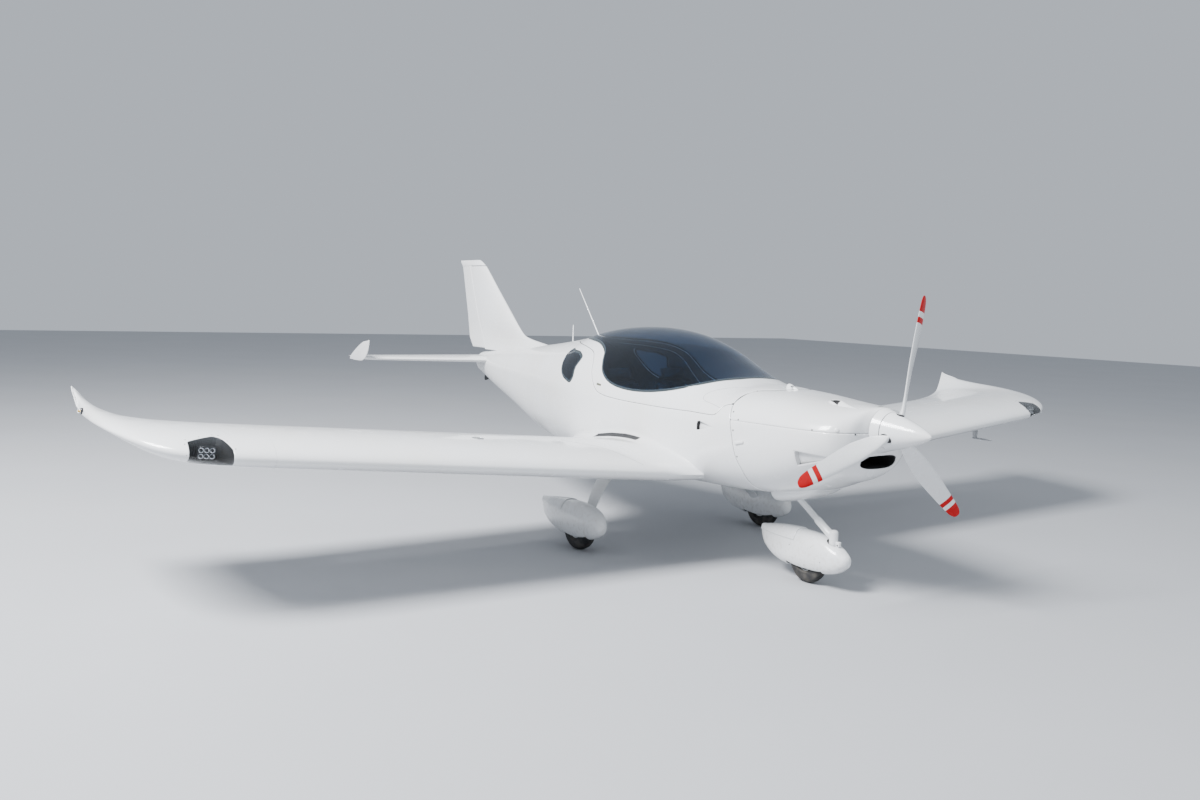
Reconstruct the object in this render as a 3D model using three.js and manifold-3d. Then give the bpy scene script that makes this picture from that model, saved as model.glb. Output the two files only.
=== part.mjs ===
// A two-seat low-wing light aircraft on its fixed tricycle gear.
// Millimetres, +X towards the nose, +Y to the aircraft's left, +Z up, wheels on z = 0.
// The origin lies on the ground, under the middle of the length.
// A "station" is a distance aft of the spinner's tip.
import * as THREE from "three";
import { mergeVertices } from "three/addons/utils/BufferGeometryUtils.js";
import Module from "manifold-3d";

const wasm = await Module();
wasm.setup();

// Overall sizes
const LENGTH = 6620;
const SEAT_GAP = 0.4;
const HINGE_GAP = 6;
const PIN_GAP = 0.2;
const COVE_SIDES = 16;

// Propeller and spinner
const PROP_Z = 1134;
const PROP_STATION = 263;
const BLADE_COUNT = 3;
const FIRST_BLADE_ANGLE = THREE.MathUtils.degToRad(11.6);
const SPINNER_RADIUS = 140;
const SPINNER_LENGTH = 365;
const HUB_RADIUS = 66;
const ENGINE = { front: 600, half: 260, low: 870, high: 1180 };
const HUB_SIDES = 12;
const BLADE_ROOT_RADIUS = 27;
const BLADE_CAMBER = 0.02;
const BLADE_PIVOT = 0.4;
const BLADE_STEPS = 5;
const SPINNER_SIDES = 18;
const SPINNER_STEPS = 5;
const SPINNER_WALL = 5;
const SHAFT_RADIUS = 32;
const SHAFT_HOLE_RADIUS = 100;
const HUB_FRONT = 42;
const HUB_BACK = -46;
const BLADE_HOLE_RADIUS = 46;

// Fuselage, cowl and cabin
const COWL_FRONT = 378;
const COWL_WALL = 10;
const COWL_SPLIT_Z = 1120;
const SKIN = 26;
const FIREWALL = 1285;
const FIREWALL_THICK = 16;
const TAIL_CONE_END = 5945;
const RING_POINTS = 24;
const ROOM_POINTS = 16;
const CANOPY_SKIN = 14;
const GLASS_THICK = 6;
const CANOPY_HINGE = { station: 1200, z: 1342, half: 30, earHalf: 14, earWall: 7.6 };

// Wing, measured flat; each wing is then tilted up by the dihedral about the centre line
const DIHEDRAL = THREE.MathUtils.degToRad(4.85);
const WING_Z = 642;
const ROOT_RIB = 760;
const TIP_RIB = 3440;
const WING_CAMBER = 0.025;
const FLAP_HINGE = 2895;
const FLAP_SPAN = [790, 2080];
const AILERON_SPAN = [2100, 3420];
const FLAP_RAKE = 0.66;

// Tail
const STAB_Z = 1245;
const STAB_HALF = 1400;
const TAPER_SPAN = 1300;
const ELEVATOR_HINGE = 6055;
const FIN_TOP = 2238;
const RUDDER_FOOT = { station: 5928, z: 1323 };
const RUDDER_SLOPE = 0.436;
const TAIL_STEPS = 7;

// Landing gear
const MAIN = { station: 2458, track: 938, radius: 175, width: 112, rim: 88 };
const NOSE = { station: 962, radius: 155, width: 96, rim: 72 };
const CASTER_STATION = 745;
const BARREL_LOW = 306;
const BARREL_RADIUS = 31;
const AXLE_RADIUS = 12;
const AXLE_REACH = 62;
const WHEEL_SIDES = 22;
const SPAT_WALL = 6;
const SPAT_POINTS = 12;
const LEG_POINTS = 12;

// Row X of a station
function x(station) {
  return LENGTH / 2 - station;
}

// Materials
function finish(color, roughness, metalness = 0) {
  return new THREE.MeshStandardMaterial({ color, roughness, metalness });
}
const WHITE = finish(0xf2f4f6, 0.22);
const GLASS = finish(0x16243a, 0.06);
const BLACK = finish(0x17181a, 0.6);
const TYRE = finish(0x1c1c1d, 0.9);
const METAL = finish(0x9a9da1, 0.35, 0.9);
const IRON = finish(0x55585c, 0.6, 0.7);
const LEATHER = finish(0x3a3d42, 0.7);
const LAMP = finish(0xdfe6ea, 0.15);

const aircraft = new THREE.Group();

// A closed geometry from points and triangles, turned so that its faces point out
function closedGeometry(points, triangles) {
  let volume = 0;
  for (const [a, b, c] of triangles) {
    const cross = new THREE.Vector3().crossVectors(points[b], points[c]);
    volume += points[a].dot(cross);
  }
  const index = triangles.flatMap(([a, b, c]) => (volume > 0 ? [a, b, c] : [a, c, b]));
  const geometry = new THREE.BufferGeometry();
  geometry.setAttribute(
    "position",
    new THREE.Float32BufferAttribute(points.flatMap((p) => [p.x, p.y, p.z]), 3),
  );
  geometry.setIndex(index);
  return geometry;
}

// A loft through rings that have the same number of points, closed by a fan at each end
function loft(rings) {
  const count = rings[0].length;
  const points = rings.flat();
  const triangles = [];
  for (let r = 0; r + 1 < rings.length; r++) {
    for (let i = 0; i < count; i++) {
      const j = (i + 1) % count;
      const a = r * count;
      const b = a + count;
      triangles.push([a + i, a + j, b + j], [a + i, b + j, b + i]);
    }
  }
  const ends = [
    [0, false],
    [(rings.length - 1) * count, true],
  ];
  for (const [start, last] of ends) {
    const centre = new THREE.Vector3();
    for (let i = 0; i < count; i++) centre.addScaledVector(points[start + i], 1 / count);
    points.push(centre);
    const hub = points.length - 1;
    for (let i = 0; i < count; i++) {
      const j = (i + 1) % count;
      triangles.push(last ? [start + i, start + j, hub] : [start + j, start + i, hub]);
    }
  }
  return closedGeometry(points, triangles);
}

// Geometry to solid and back
function solid(geometry) {
  const bare = merged(geometry);
  return new wasm.Manifold(
    new wasm.Mesh({
      numProp: 3,
      vertProperties: new Float32Array(bare.attributes.position.array),
      triVerts: new Uint32Array(bare.index.array),
    }),
  );
}

function geometryOf(shape) {
  if (shape.isBufferGeometry) return shape;
  const made = shape.getMesh();
  const geometry = new THREE.BufferGeometry();
  geometry.setAttribute("position", new THREE.BufferAttribute(made.vertProperties, 3));
  geometry.setIndex(new THREE.BufferAttribute(made.triVerts, 1));
  return geometry;
}

function mirrored(shape) {
  const geometry = geometryOf(shape).clone();
  geometry.scale(1, -1, 1);
  const index = geometry.index.array;
  for (let i = 0; i < index.length; i += 3) [index[i + 1], index[i + 2]] = [index[i + 2], index[i + 1]];
  return geometry;
}

function add(name, shape, material, parent = aircraft) {
  const mesh = new THREE.Mesh(geometryOf(shape), material);
  mesh.name = name;
  parent.add(mesh);
  return mesh;
}

// Both sides of a piece that is built on the left
function addPair(name, shape, material, group = () => aircraft) {
  add(name + "_left", shape, material, group(1));
  add(name + "_right", mirrored(shape), material, group(-1));
}

// Outlines are [station, z] pairs for side views and [station, y] pairs for plan views
function sideSlab(outline, yFrom, yTo) {
  const shape = new THREE.Shape(outline.map(([s, z]) => new THREE.Vector2(x(s), z)));
  const geometry = new THREE.ExtrudeGeometry(shape, { depth: yTo - yFrom, bevelEnabled: false });
  geometry.rotateX(Math.PI / 2);
  geometry.translate(0, yTo, 0);
  return solid(geometry);
}

function planSlab(outline, zFrom, zTo) {
  const shape = new THREE.Shape(outline.map(([s, y]) => new THREE.Vector2(x(s), y)));
  const geometry = new THREE.ExtrudeGeometry(shape, { depth: zTo - zFrom, bevelEnabled: false });
  geometry.translate(0, 0, zFrom);
  return solid(geometry);
}

function frontSlab(outline, sFrom, sTo) {
  const shape = new THREE.Shape(outline.map(([y, z]) => new THREE.Vector2(y, z)));
  const geometry = new THREE.ExtrudeGeometry(shape, { depth: sTo - sFrom, bevelEnabled: false });
  const basis = new THREE.Matrix4().makeBasis(
    new THREE.Vector3(0, 1, 0),
    new THREE.Vector3(0, 0, 1),
    new THREE.Vector3(1, 0, 0),
  );
  geometry.applyMatrix4(basis);
  geometry.translate(x(sTo), 0, 0);
  return solid(geometry);
}

function merged(geometry) {
  const bare = geometry.clone();
  bare.deleteAttribute("normal");
  bare.deleteAttribute("uv");
  return mergeVertices(bare, 1e-3);
}

function block(sFrom, sTo, yFrom, yTo, zFrom, zTo) {
  const geometry = new THREE.BoxGeometry(sTo - sFrom, yTo - yFrom, zTo - zFrom);
  geometry.translate(x((sFrom + sTo) / 2), (yFrom + yTo) / 2, (zFrom + zTo) / 2);
  return solid(geometry);
}

// A round bar between two points
function bar(from, to, radius, sides = 12, endRadius = radius) {
  const a = new THREE.Vector3(...from);
  const b = new THREE.Vector3(...to);
  const along = new THREE.Vector3().subVectors(b, a);
  const geometry = new THREE.CylinderGeometry(endRadius, radius, along.length(), sides);
  geometry.applyQuaternion(
    new THREE.Quaternion().setFromUnitVectors(new THREE.Vector3(0, 1, 0), along.clone().normalize()),
  );
  geometry.translate((a.x + b.x) / 2, (a.y + b.y) / 2, (a.z + b.z) / 2);
  return solid(geometry);
}

// A solid of revolution about an axis along Y, from [radius, y] pairs
function turnedAcross(profile, centre, sides) {
  const geometry = new THREE.LatheGeometry(
    profile.map(([r, y]) => new THREE.Vector2(r, y)),
    sides,
  );
  geometry.translate(...centre);
  return solid(oriented(geometry));
}

function oriented(geometry) {
  const bare = merged(geometry);
  const position = bare.attributes.position;
  const points = [];
  for (let i = 0; i < position.count; i++) points.push(new THREE.Vector3().fromBufferAttribute(position, i));
  const triangles = [];
  const index = bare.index.array;
  for (let i = 0; i < index.length; i += 3) {
    const [a, b, c] = [index[i], index[i + 1], index[i + 2]];
    if (a !== b && b !== c && c !== a) triangles.push([a, b, c]);
  }
  return closedGeometry(points, triangles);
}

function unite(...shapes) {
  return shapes.reduce((all, next) => all.add(next));
}

// Smooth values between the rows of a table whose first column is its place
function between(table, key, place, column) {
  let i = 0;
  while (i + 2 < table.length && table[i + 1][key] < place) i++;
  const row = (n) => table[Math.min(Math.max(n, 0), table.length - 1)];
  const [p0, p1, p2, p3] = [row(i - 1), row(i), row(i + 1), row(i + 2)];
  const span = p2[key] - p1[key];
  const t = THREE.MathUtils.clamp((place - p1[key]) / span, 0, 1);
  const slope = (a, b) => (b[key] === a[key] ? 0 : ((b[column] - a[column]) / (b[key] - a[key])) * span);
  const m1 = slope(p0, p2);
  const m2 = slope(p1, p3);
  const h = p1[column] - p2[column];
  return (2 * h + m1 + m2) * t ** 3 - (3 * h + 2 * m1 + m2) * t ** 2 + m1 * t + p1[column];
}

// Body outline by station: half width, height of the widest line, bottom, top and
// the roundness of the lower and upper halves (2 is an ellipse, more is boxier)
const BODY = [
  { station: 378, half: 176, wide: 1130, low: 944, high: 1278, lower: 2.0, upper: 2.0 },
  { station: 410, half: 285, wide: 1110, low: 852, high: 1280, lower: 2.0, upper: 2.0 },
  { station: 480, half: 372, wide: 1090, low: 798, high: 1281, lower: 2.0, upper: 2.05 },
  { station: 600, half: 420, wide: 1075, low: 752, high: 1284, lower: 2.1, upper: 2.2 },
  { station: 810, half: 466, wide: 1060, low: 672, high: 1296, lower: 2.5, upper: 2.4 },
  { station: 1030, half: 502, wide: 1045, low: 622, high: 1313, lower: 2.9, upper: 2.5 },
  { station: 1240, half: 528, wide: 1035, low: 598, high: 1326, lower: 3.1, upper: 2.45 },
  { station: 1340, half: 540, wide: 1035, low: 590, high: 1334, lower: 3.2, upper: 2.35 },
  { station: 1470, half: 553, wide: 1035, low: 583, high: 1343, lower: 3.2, upper: 2.2 },
  { station: 1647, half: 567, wide: 1038, low: 576, high: 1385, lower: 3.2, upper: 2.1 },
  { station: 1866, half: 579, wide: 1040, low: 570, high: 1480, lower: 3.3, upper: 2.05 },
  { station: 2096, half: 586, wide: 1040, low: 565, high: 1591, lower: 3.3, upper: 2.05 },
  { station: 2337, half: 588, wide: 1042, low: 561, high: 1662, lower: 3.3, upper: 2.05 },
  { station: 2620, half: 586, wide: 1045, low: 558, high: 1695, lower: 3.3, upper: 2.05 },
  { station: 2900, half: 578, wide: 1050, low: 557, high: 1696, lower: 3.2, upper: 2.05 },
  { station: 3180, half: 558, wide: 1060, low: 558, high: 1675, lower: 3.1, upper: 2.1 },
  { station: 3440, half: 526, wide: 1075, low: 561, high: 1635, lower: 2.9, upper: 2.1 },
  { station: 3700, half: 483, wide: 1090, low: 566, high: 1573, lower: 2.7, upper: 2.1 },
  { station: 4050, half: 417, wide: 1110, low: 577, high: 1519, lower: 2.5, upper: 2.1 },
  { station: 4430, half: 350, wide: 1130, low: 640, high: 1470, lower: 2.3, upper: 2.1 },
  { station: 5000, half: 272, wide: 1160, low: 815, high: 1410, lower: 2.2, upper: 2.1 },
  { station: 5500, half: 208, wide: 1190, low: 962, high: 1355, lower: 2.1, upper: 2.1 },
  { station: 5945, half: 112, wide: 1205, low: 1094, high: 1312, lower: 2.0, upper: 2.0 },
];

function bodyRing(station, inset, count) {
  const at = (column) => between(BODY, "station", station, column);
  const half = at("half") - inset;
  const wide = at("wide");
  const up = at("high") - inset - wide;
  const down = wide - at("low") - inset;
  const ring = [];
  for (let i = 0; i < count; i++) {
    const angle = (2 * Math.PI * i) / count;
    const c = Math.cos(angle);
    const s = Math.sin(angle);
    const power = 2 / (s >= 0 ? at("upper") : at("lower"));
    const height = s >= 0 ? up : down;
    const y = half * Math.sign(c) * Math.abs(c) ** power;
    const z = wide + height * Math.sign(s) * Math.abs(s) ** power;
    ring.push(new THREE.Vector3(x(station), y, z));
  }
  return ring;
}

function bodyThrough(rows, count, inset, from, to) {
  const middle = rows.map((row) => row.station).filter((s) => s > from + 1 && s < to - 1);
  return solid(loft([from, ...middle, to].map((s) => bodyRing(s, inset, count))));
}

// The body's solid between two stations, drawn in from its surface by a distance
function bodyLoft(inset, from, to) {
  return bodyThrough(BODY, RING_POINTS, inset, from, to);
}

// The same with fewer points, for the hollow behind a thin skin and for the cabin's room
function linerLoft(inset, from, to) {
  return bodyThrough(BODY, ROOM_POINTS, inset, from, to);
}

function roomLoft(inset, from, to) {
  const everyOther = BODY.filter((row, n) => n % 2 === 1);
  return bodyThrough(everyOther, ROOM_POINTS, inset, from, to);
}

// Moves a closed outline inwards (positive) or outwards (negative)
function inset(outline, distance) {
  const area = outline.reduce((sum, [a, b], i) => {
    const [c, d] = outline[(i + 1) % outline.length];
    return sum + a * d - c * b;
  }, 0);
  const side = Math.sign(area) * distance;
  return outline.map((point, i) => {
    const before = outline[(i + outline.length - 1) % outline.length];
    const after = outline[(i + 1) % outline.length];
    const n1 = new THREE.Vector2(before[1] - point[1], point[0] - before[0]).normalize();
    const n2 = new THREE.Vector2(point[1] - after[1], after[0] - point[0]).normalize();
    const n = n1.clone().add(n2).normalize();
    const reach = side / Math.max(n.dot(n1), 0.4);
    return [point[0] + n.x * reach, point[1] + n.y * reach];
  });
}

// Where the cowl ends, and what the canopy and the glass take out of the body's side
const COWL_EDGE = [
  [1168, 1400],
  [1172, 1317],
  [1250, 1304],
  [1277, 1286],
  [1281, 1262],
  [1279, 1212],
  [1269, 1155],
  [1254, 1105],
  [1236, 1050],
  [1195, 880],
  [1150, 760],
  [1150, 480],
];
const CANOPY_OUTLINE = [
  [1372, 1146],
  [1345, 1166],
  [1336, 1200],
  [1336, 1800],
  [3800, 1800],
  [3772, 1546],
  [3350, 1512],
  [3130, 1474],
  [3052, 1412],
  [3000, 1318],
  [2925, 1228],
  [2835, 1168],
  [2613, 1140],
  [2101, 1132],
  [1730, 1136],
];
const GLASS_OUTLINE = [
  [1588, 1366],
  [1642, 1350],
  [1722, 1318],
  [1841, 1279],
  [1972, 1249],
  [2153, 1224],
  [2386, 1215],
  [2576, 1228],
  [2730, 1264],
  [2844, 1329],
  [2907, 1409],
  [2962, 1482],
  [3120, 1540],
  [3350, 1562],
  [3690, 1574],
  [3720, 1780],
  [1588, 1780],
];
const QUARTER_WINDOW = [
  [3640, 1440],
  [3622, 1352],
  [3552, 1268],
  [3432, 1216],
  [3318, 1210],
  [3294, 1244],
  [3300, 1330],
  [3262, 1420],
  [3330, 1452],
  [3500, 1470],
  [3610, 1474],
];

const OUTLET_OUTLINE = [
  [800, 700],
  [830, 630],
  [992, 577],
  [1163, 531],
  [1176, 533],
  [1144, 700],
];
const OUTLET_MOUTH = [
  [850, 800],
  [870, 640],
  [1000, 590],
  [1163, 544],
  [1300, 544],
  [1300, 800],
];

const FAR = 1000;

// The nose leg's bar runs from the firewall down and forwards to the swivel
function noseLegBar(gap) {
  return bar([x(FIREWALL - SEAT_GAP + gap), 0, 690], [x(CASTER_STATION), 0, 355], 21 + gap, 16);
}

function cowlRegion(gap) {
  const edge = COWL_EDGE.map(([s, z]) => [s - gap, z]);
  return sideSlab([...edge, [0, 480], [0, 1400]], -FAR, FAR);
}

function cowling() {
  const shell = bodyLoft(0, COWL_FRONT, FIREWALL).intersect(cowlRegion(0));
  const room = linerLoft(COWL_WALL, COWL_FRONT + COWL_WALL, FIREWALL + COWL_WALL);
  // The nose's face stands close behind the spinner and is open only for the shaft
  const shaftHole = bar([x(300), 0, PROP_Z], [x(520), 0, PROP_Z], SHAFT_HOLE_RADIUS, 24);
  const ellipse = new THREE.EllipseCurve(0, 928, 172, 46);
  const inletOutline = ellipse.getPoints(14).slice(0, -1).map((p) => [p.x, p.y]);
  const inlet = frontSlab(inletOutline, 300, 620);
  const hollow = shell.subtract(room).subtract(shaftHole).subtract(inlet);
  const above = block(0, 1400, -FAR, FAR, COWL_SPLIT_Z + SEAT_GAP, 1500);
  const below = block(0, 1400, -FAR, FAR, 400, COWL_SPLIT_Z);
  add("cowl_upper", hollow.intersect(above), WHITE);

  // The cooling outlet under the lower cowl, open at its back
  const outletHalf = 190;
  const mouthHalf = outletHalf - COWL_WALL;
  const outlet = sideSlab(OUTLET_OUTLINE, -outletHalf, outletHalf);
  const outletMouth = sideSlab(OUTLET_MOUTH, -mouthHalf, mouthHalf);
  const bodySkin = bodyLoft(-SEAT_GAP, 1140, 1400);
  const scoop = outlet.subtract(room).subtract(outletMouth).subtract(bodySkin);
  const lower = hollow.intersect(below).subtract(outletMouth);
  add("cowl_lower", lower.add(scoop).subtract(noseLegBar(HINGE_GAP)), WHITE);
}

function engine() {
  const { front, half, low, high } = ENGINE;
  const engineBlock = block(front, FIREWALL - SEAT_GAP, -half, half, low, high);
  add("engine_block", engineBlock, IRON);
}

// Wing sections: the four-digit family's thickness curve about a line bent up by the camber,
// which peaks at four tenths of the chord
const CAMBER_PEAK = 0.4;
const EDGE_HALF = 0.0016;

function halfThickness(u) {
  return 5 * (0.2969 * Math.sqrt(u) - 0.126 * u - 0.3516 * u ** 2 + 0.2843 * u ** 3 - 0.1036 * u ** 4);
}

function camberLine(u) {
  const bend = 2 * CAMBER_PEAK * u - u ** 2;
  const behind = u > CAMBER_PEAK;
  return behind ? (1 - 2 * CAMBER_PEAK + bend) / (1 - CAMBER_PEAK) ** 2 : bend / CAMBER_PEAK ** 2;
}

function airfoil(chord, thickness, camber, count = 9) {
  const upper = [];
  const lower = [];
  for (let i = 0; i <= count; i++) {
    const u = (1 - Math.cos((Math.PI * i) / count)) / 2;
    const half = thickness * halfThickness(u);
    const line = camber * camberLine(u);
    const edge = EDGE_HALF * u;
    upper.push([u * chord, (line + half + edge) * chord]);
    lower.push([u * chord, (line - half - edge) * chord]);
  }
  return [...upper.reverse(), ...lower.slice(1)];
}

// Wing plan by span: leading and trailing edge, lift of the chord line, thickness
// and how far the trailing edge is lifted above the leading edge
const WING_ROOT = { span: ROOT_RIB, lead: 1618, trail: 3196, lift: 0, thick: 0.15, wash: 0 };
const WING_END = { span: TIP_RIB, lead: 1752, trail: 3152, lift: 0, thick: 0.145, wash: 0 };
const WING_TIP = [
  WING_END,
  { span: 3760, lead: 1772, trail: 3156, lift: 3, thick: 0.14, wash: 0 },
  { span: 3930, lead: 1815, trail: 3170, lift: 12, thick: 0.13, wash: 0 },
  { span: 4050, lead: 1890, trail: 3195, lift: 28, thick: 0.112, wash: 0 },
  { span: 4140, lead: 1995, trail: 3222, lift: 50, thick: 0.09, wash: 0 },
  { span: 4210, lead: 2130, trail: 3248, lift: 70, thick: 0.07, wash: 35 },
  { span: 4265, lead: 2300, trail: 3270, lift: 86, thick: 0.054, wash: 75 },
  { span: 4305, lead: 2540, trail: 3288, lift: 98, thick: 0.042, wash: 104 },
  { span: 4328, lead: 2900, trail: 3300, lift: 118, thick: 0.034, wash: 104 },
  { span: 4336, lead: 3160, trail: 3302, lift: 190, thick: 0.03, wash: 40 },
];

function wingRing(row, span = row.span) {
  const chord = row.trail - row.lead;
  return airfoil(chord, row.thick, WING_CAMBER).map(([along, up]) => {
    const wash = row.wash * (along / chord) ** 2;
    return new THREE.Vector3(x(row.lead + along), span, row.lift + wash + up);
  });
}

function wingGroup(side) {
  const group = new THREE.Group();
  group.position.set(0, 0, WING_Z);
  group.rotation.x = side * DIHEDRAL;
  aircraft.add(group);
  return group;
}
const wingSides = { left: wingGroup(1), right: wingGroup(-1) };
const onWing = (side) => (side > 0 ? wingSides.left : wingSides.right);

// A solid given flat is carried to its place on the tilted left wing
function tilted(shape) {
  const geometry = geometryOf(shape).clone();
  geometry.rotateX(DIHEDRAL);
  geometry.translate(0, 0, WING_Z);
  return solid(geometry);
}

function wingTop(station, span) {
  const t = (span - WING_ROOT.span) / (WING_END.span - WING_ROOT.span);
  const lead = THREE.MathUtils.lerp(WING_ROOT.lead, WING_END.lead, t);
  const trail = THREE.MathUtils.lerp(WING_ROOT.trail, WING_END.trail, t);
  const chord = trail - lead;
  const steps = 24;
  const upper = airfoil(chord, WING_ROOT.thick, WING_CAMBER, steps).slice(0, steps + 1);
  const back = upper.find(([along]) => along <= station - lead);
  return back[1];
}

function wings() {
  const whole = solid(loft([wingRing(WING_ROOT), wingRing(WING_END)]));
  const behind = 3400;
  const deep = 200;
  const pocket = ([from, to]) =>
    block(FLAP_HINGE - SEAT_GAP, behind, from - HINGE_GAP, to + HINGE_GAP, -deep, deep);
  const trimmed = whole.subtract(pocket(FLAP_SPAN)).subtract(pocket(AILERON_SPAN));
  addPair("wing", trimmed, WHITE, onWing);

  // Each surface hinges on its front upper edge, and its front face leans back below that
  const surface = (span) => {
    const top = Math.min(wingTop(FLAP_HINGE, span[0]), wingTop(FLAP_HINGE, span[1]));
    const leaning = [
      [FLAP_HINGE, deep],
      [behind, deep],
      [behind, -deep],
      [FLAP_HINGE + (deep + top) * FLAP_RAKE, -deep],
      [FLAP_HINGE, top],
    ];
    return whole.intersect(sideSlab(leaning, ...span));
  };
  addPair("flap", surface(FLAP_SPAN), WHITE, onWing);
  addPair("aileron", surface(AILERON_SPAN), WHITE, onWing);
}

// The lamp recess in the tip's leading edge, seen from above
const RECESS_BACK = 1950;
const RECESS_PLAN = [
  [1700, 3660],
  [1930, 3700],
  [RECESS_BACK, 3730],
  [RECESS_BACK, 3900],
  [1700, 3900],
];
// The navigation light stands on a round pod at the tip's outer edge
const NAV_LIGHT = { station: 2800, z: 124, from: 4250, to: 4333, radius: 19, dome: 17 };

function wingTips() {
  const rings = WING_TIP.map((row) => wingRing(row, row === WING_END ? TIP_RIB + SEAT_GAP : row.span));
  const recess = planSlab(RECESS_PLAN, -40, 110);
  const lamp = block(1880, RECESS_BACK - SEAT_GAP, 3760, 3860, 5, 75);
  addPair("landing_light", lamp, LAMP, onWing);

  const { station, z, from, to, radius, dome } = NAV_LIGHT;
  const podBar = (start, end, size) => bar([x(station), start, z], [x(station), end, z], size, 12);
  const cap = new THREE.SphereGeometry(dome, 10, 6);
  cap.translate(x(station), to, z);
  const hole = podBar(from - SEAT_GAP, to + 67, radius + SEAT_GAP);
  addPair("wingtip", solid(loft(rings)).subtract(recess).subtract(hole), WHITE, onWing);
  addPair("nav_light", podBar(from, to, radius).add(solid(oriented(cap))), LAMP, onWing);
}

// The wing roots that grow out of the body's sides in a wide fillet
const ROOT_FILLET = [
  { span: 470, grow: 190, rise: 2.9 },
  { span: 560, grow: 110, rise: 1.85 },
  { span: 600, grow: 66, rise: 1.45 },
  { span: 650, grow: 30, rise: 1.18 },
  { span: 705, grow: 8, rise: 1.05 },
  { span: 760, grow: 0, rise: 1 },
];

function wingRoot() {
  const rings = ROOT_FILLET.map(({ span, grow, rise }) => {
    const row = { ...WING_ROOT, lead: WING_ROOT.lead - grow * 0.4, trail: WING_ROOT.trail + grow };
    return wingRing(row, span - (span === ROOT_RIB ? SEAT_GAP : 0)).map((p) => {
      const z = p.z > 0 ? p.z * rise : p.z;
      return new THREE.Vector3(p.x, p.y, z);
    });
  });
  return tilted(solid(loft(rings)));
}

function fuselage() {
  const root = wingRoot();
  const outer = bodyLoft(0, 1100, TAIL_CONE_END).subtract(cowlRegion(-SEAT_GAP));
  const canopyGap = sideSlab(inset(CANOPY_OUTLINE, -HINGE_GAP), -FAR, FAR);
  const cabin = roomLoft(SKIN, FIREWALL + FIREWALL_THICK, 5600);
  const cowlRoom = linerLoft(COWL_WALL + SEAT_GAP, 1000, FIREWALL);
  const quarter = sideSlab(QUARTER_WINDOW, -FAR, FAR);
  const { station, z, half, earHalf, earWall } = CANOPY_HINGE;
  const earInside = half + SEAT_GAP;
  const ear = block(station - earHalf, station + earHalf, earInside, earInside + earWall, z - 24, z + 12);
  const ears = unite(ear, solid(mirrored(ear)));
  const skin = unite(outer.subtract(canopyGap), root, solid(mirrored(root)), ears);
  const rooms = unite(cabin, cowlRoom, quarter, noseLegBar(SEAT_GAP));
  add("fuselage", skin.subtract(rooms.subtract(ears)), WHITE);

  const pane = bodyLoft(2, 3100, 3900).subtract(bodyLoft(2 + GLASS_THICK, 3090, 3910));
  const window = pane.intersect(sideSlab(inset(QUARTER_WINDOW, SEAT_GAP), 0, FAR));
  addPair("quarter_window", window, GLASS);

  const inside = roomLoft(SKIN + SEAT_GAP, FIREWALL + FIREWALL_THICK + SEAT_GAP, 5600);
  const bulkheadStation = 3760;
  const board = 18;
  const shelf = block(3060, bulkheadStation, -FAR, FAR, 900, 900 + board);
  const bulkhead = block(bulkheadStation, bulkheadStation + board, -FAR, FAR, 400, 1700);
  add("baggage_bay", inside.intersect(shelf.add(bulkhead)), LEATHER);
}

function canopy() {
  const skin = bodyLoft(0, 1250, 3850).subtract(linerLoft(CANOPY_SKIN, 1240, 3860));
  const glassHole = sideSlab(GLASS_OUTLINE, -FAR, FAR);
  // A strap runs forward from the canopy's nose to the hinge pin, which it rounds
  const { station, z, half } = CANOPY_HINGE;
  const strap = [
    [station - 9, z],
    [station - 5, z + 8],
    [station, z + 10],
    [1290, 1358],
    [1372, 1352],
    [1372, 1334],
    [1345, 1326],
    [1326, 1341],
    [1250, 1338],
    [station, z - 9],
    [station - 6, z - 7],
  ];
  const hingePad = sideSlab(strap, -half, half);
  const frame = skin.intersect(sideSlab(CANOPY_OUTLINE, -FAR, FAR)).subtract(glassHole).add(hingePad);
  add("canopy_frame", frame, WHITE);
  const pane = bodyLoft(1, 1250, 3850).subtract(bodyLoft(1 + GLASS_THICK, 1240, 3860));
  add("canopy_glass", pane.intersect(sideSlab(inset(GLASS_OUTLINE, SEAT_GAP), -FAR, FAR)), GLASS);
}

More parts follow.
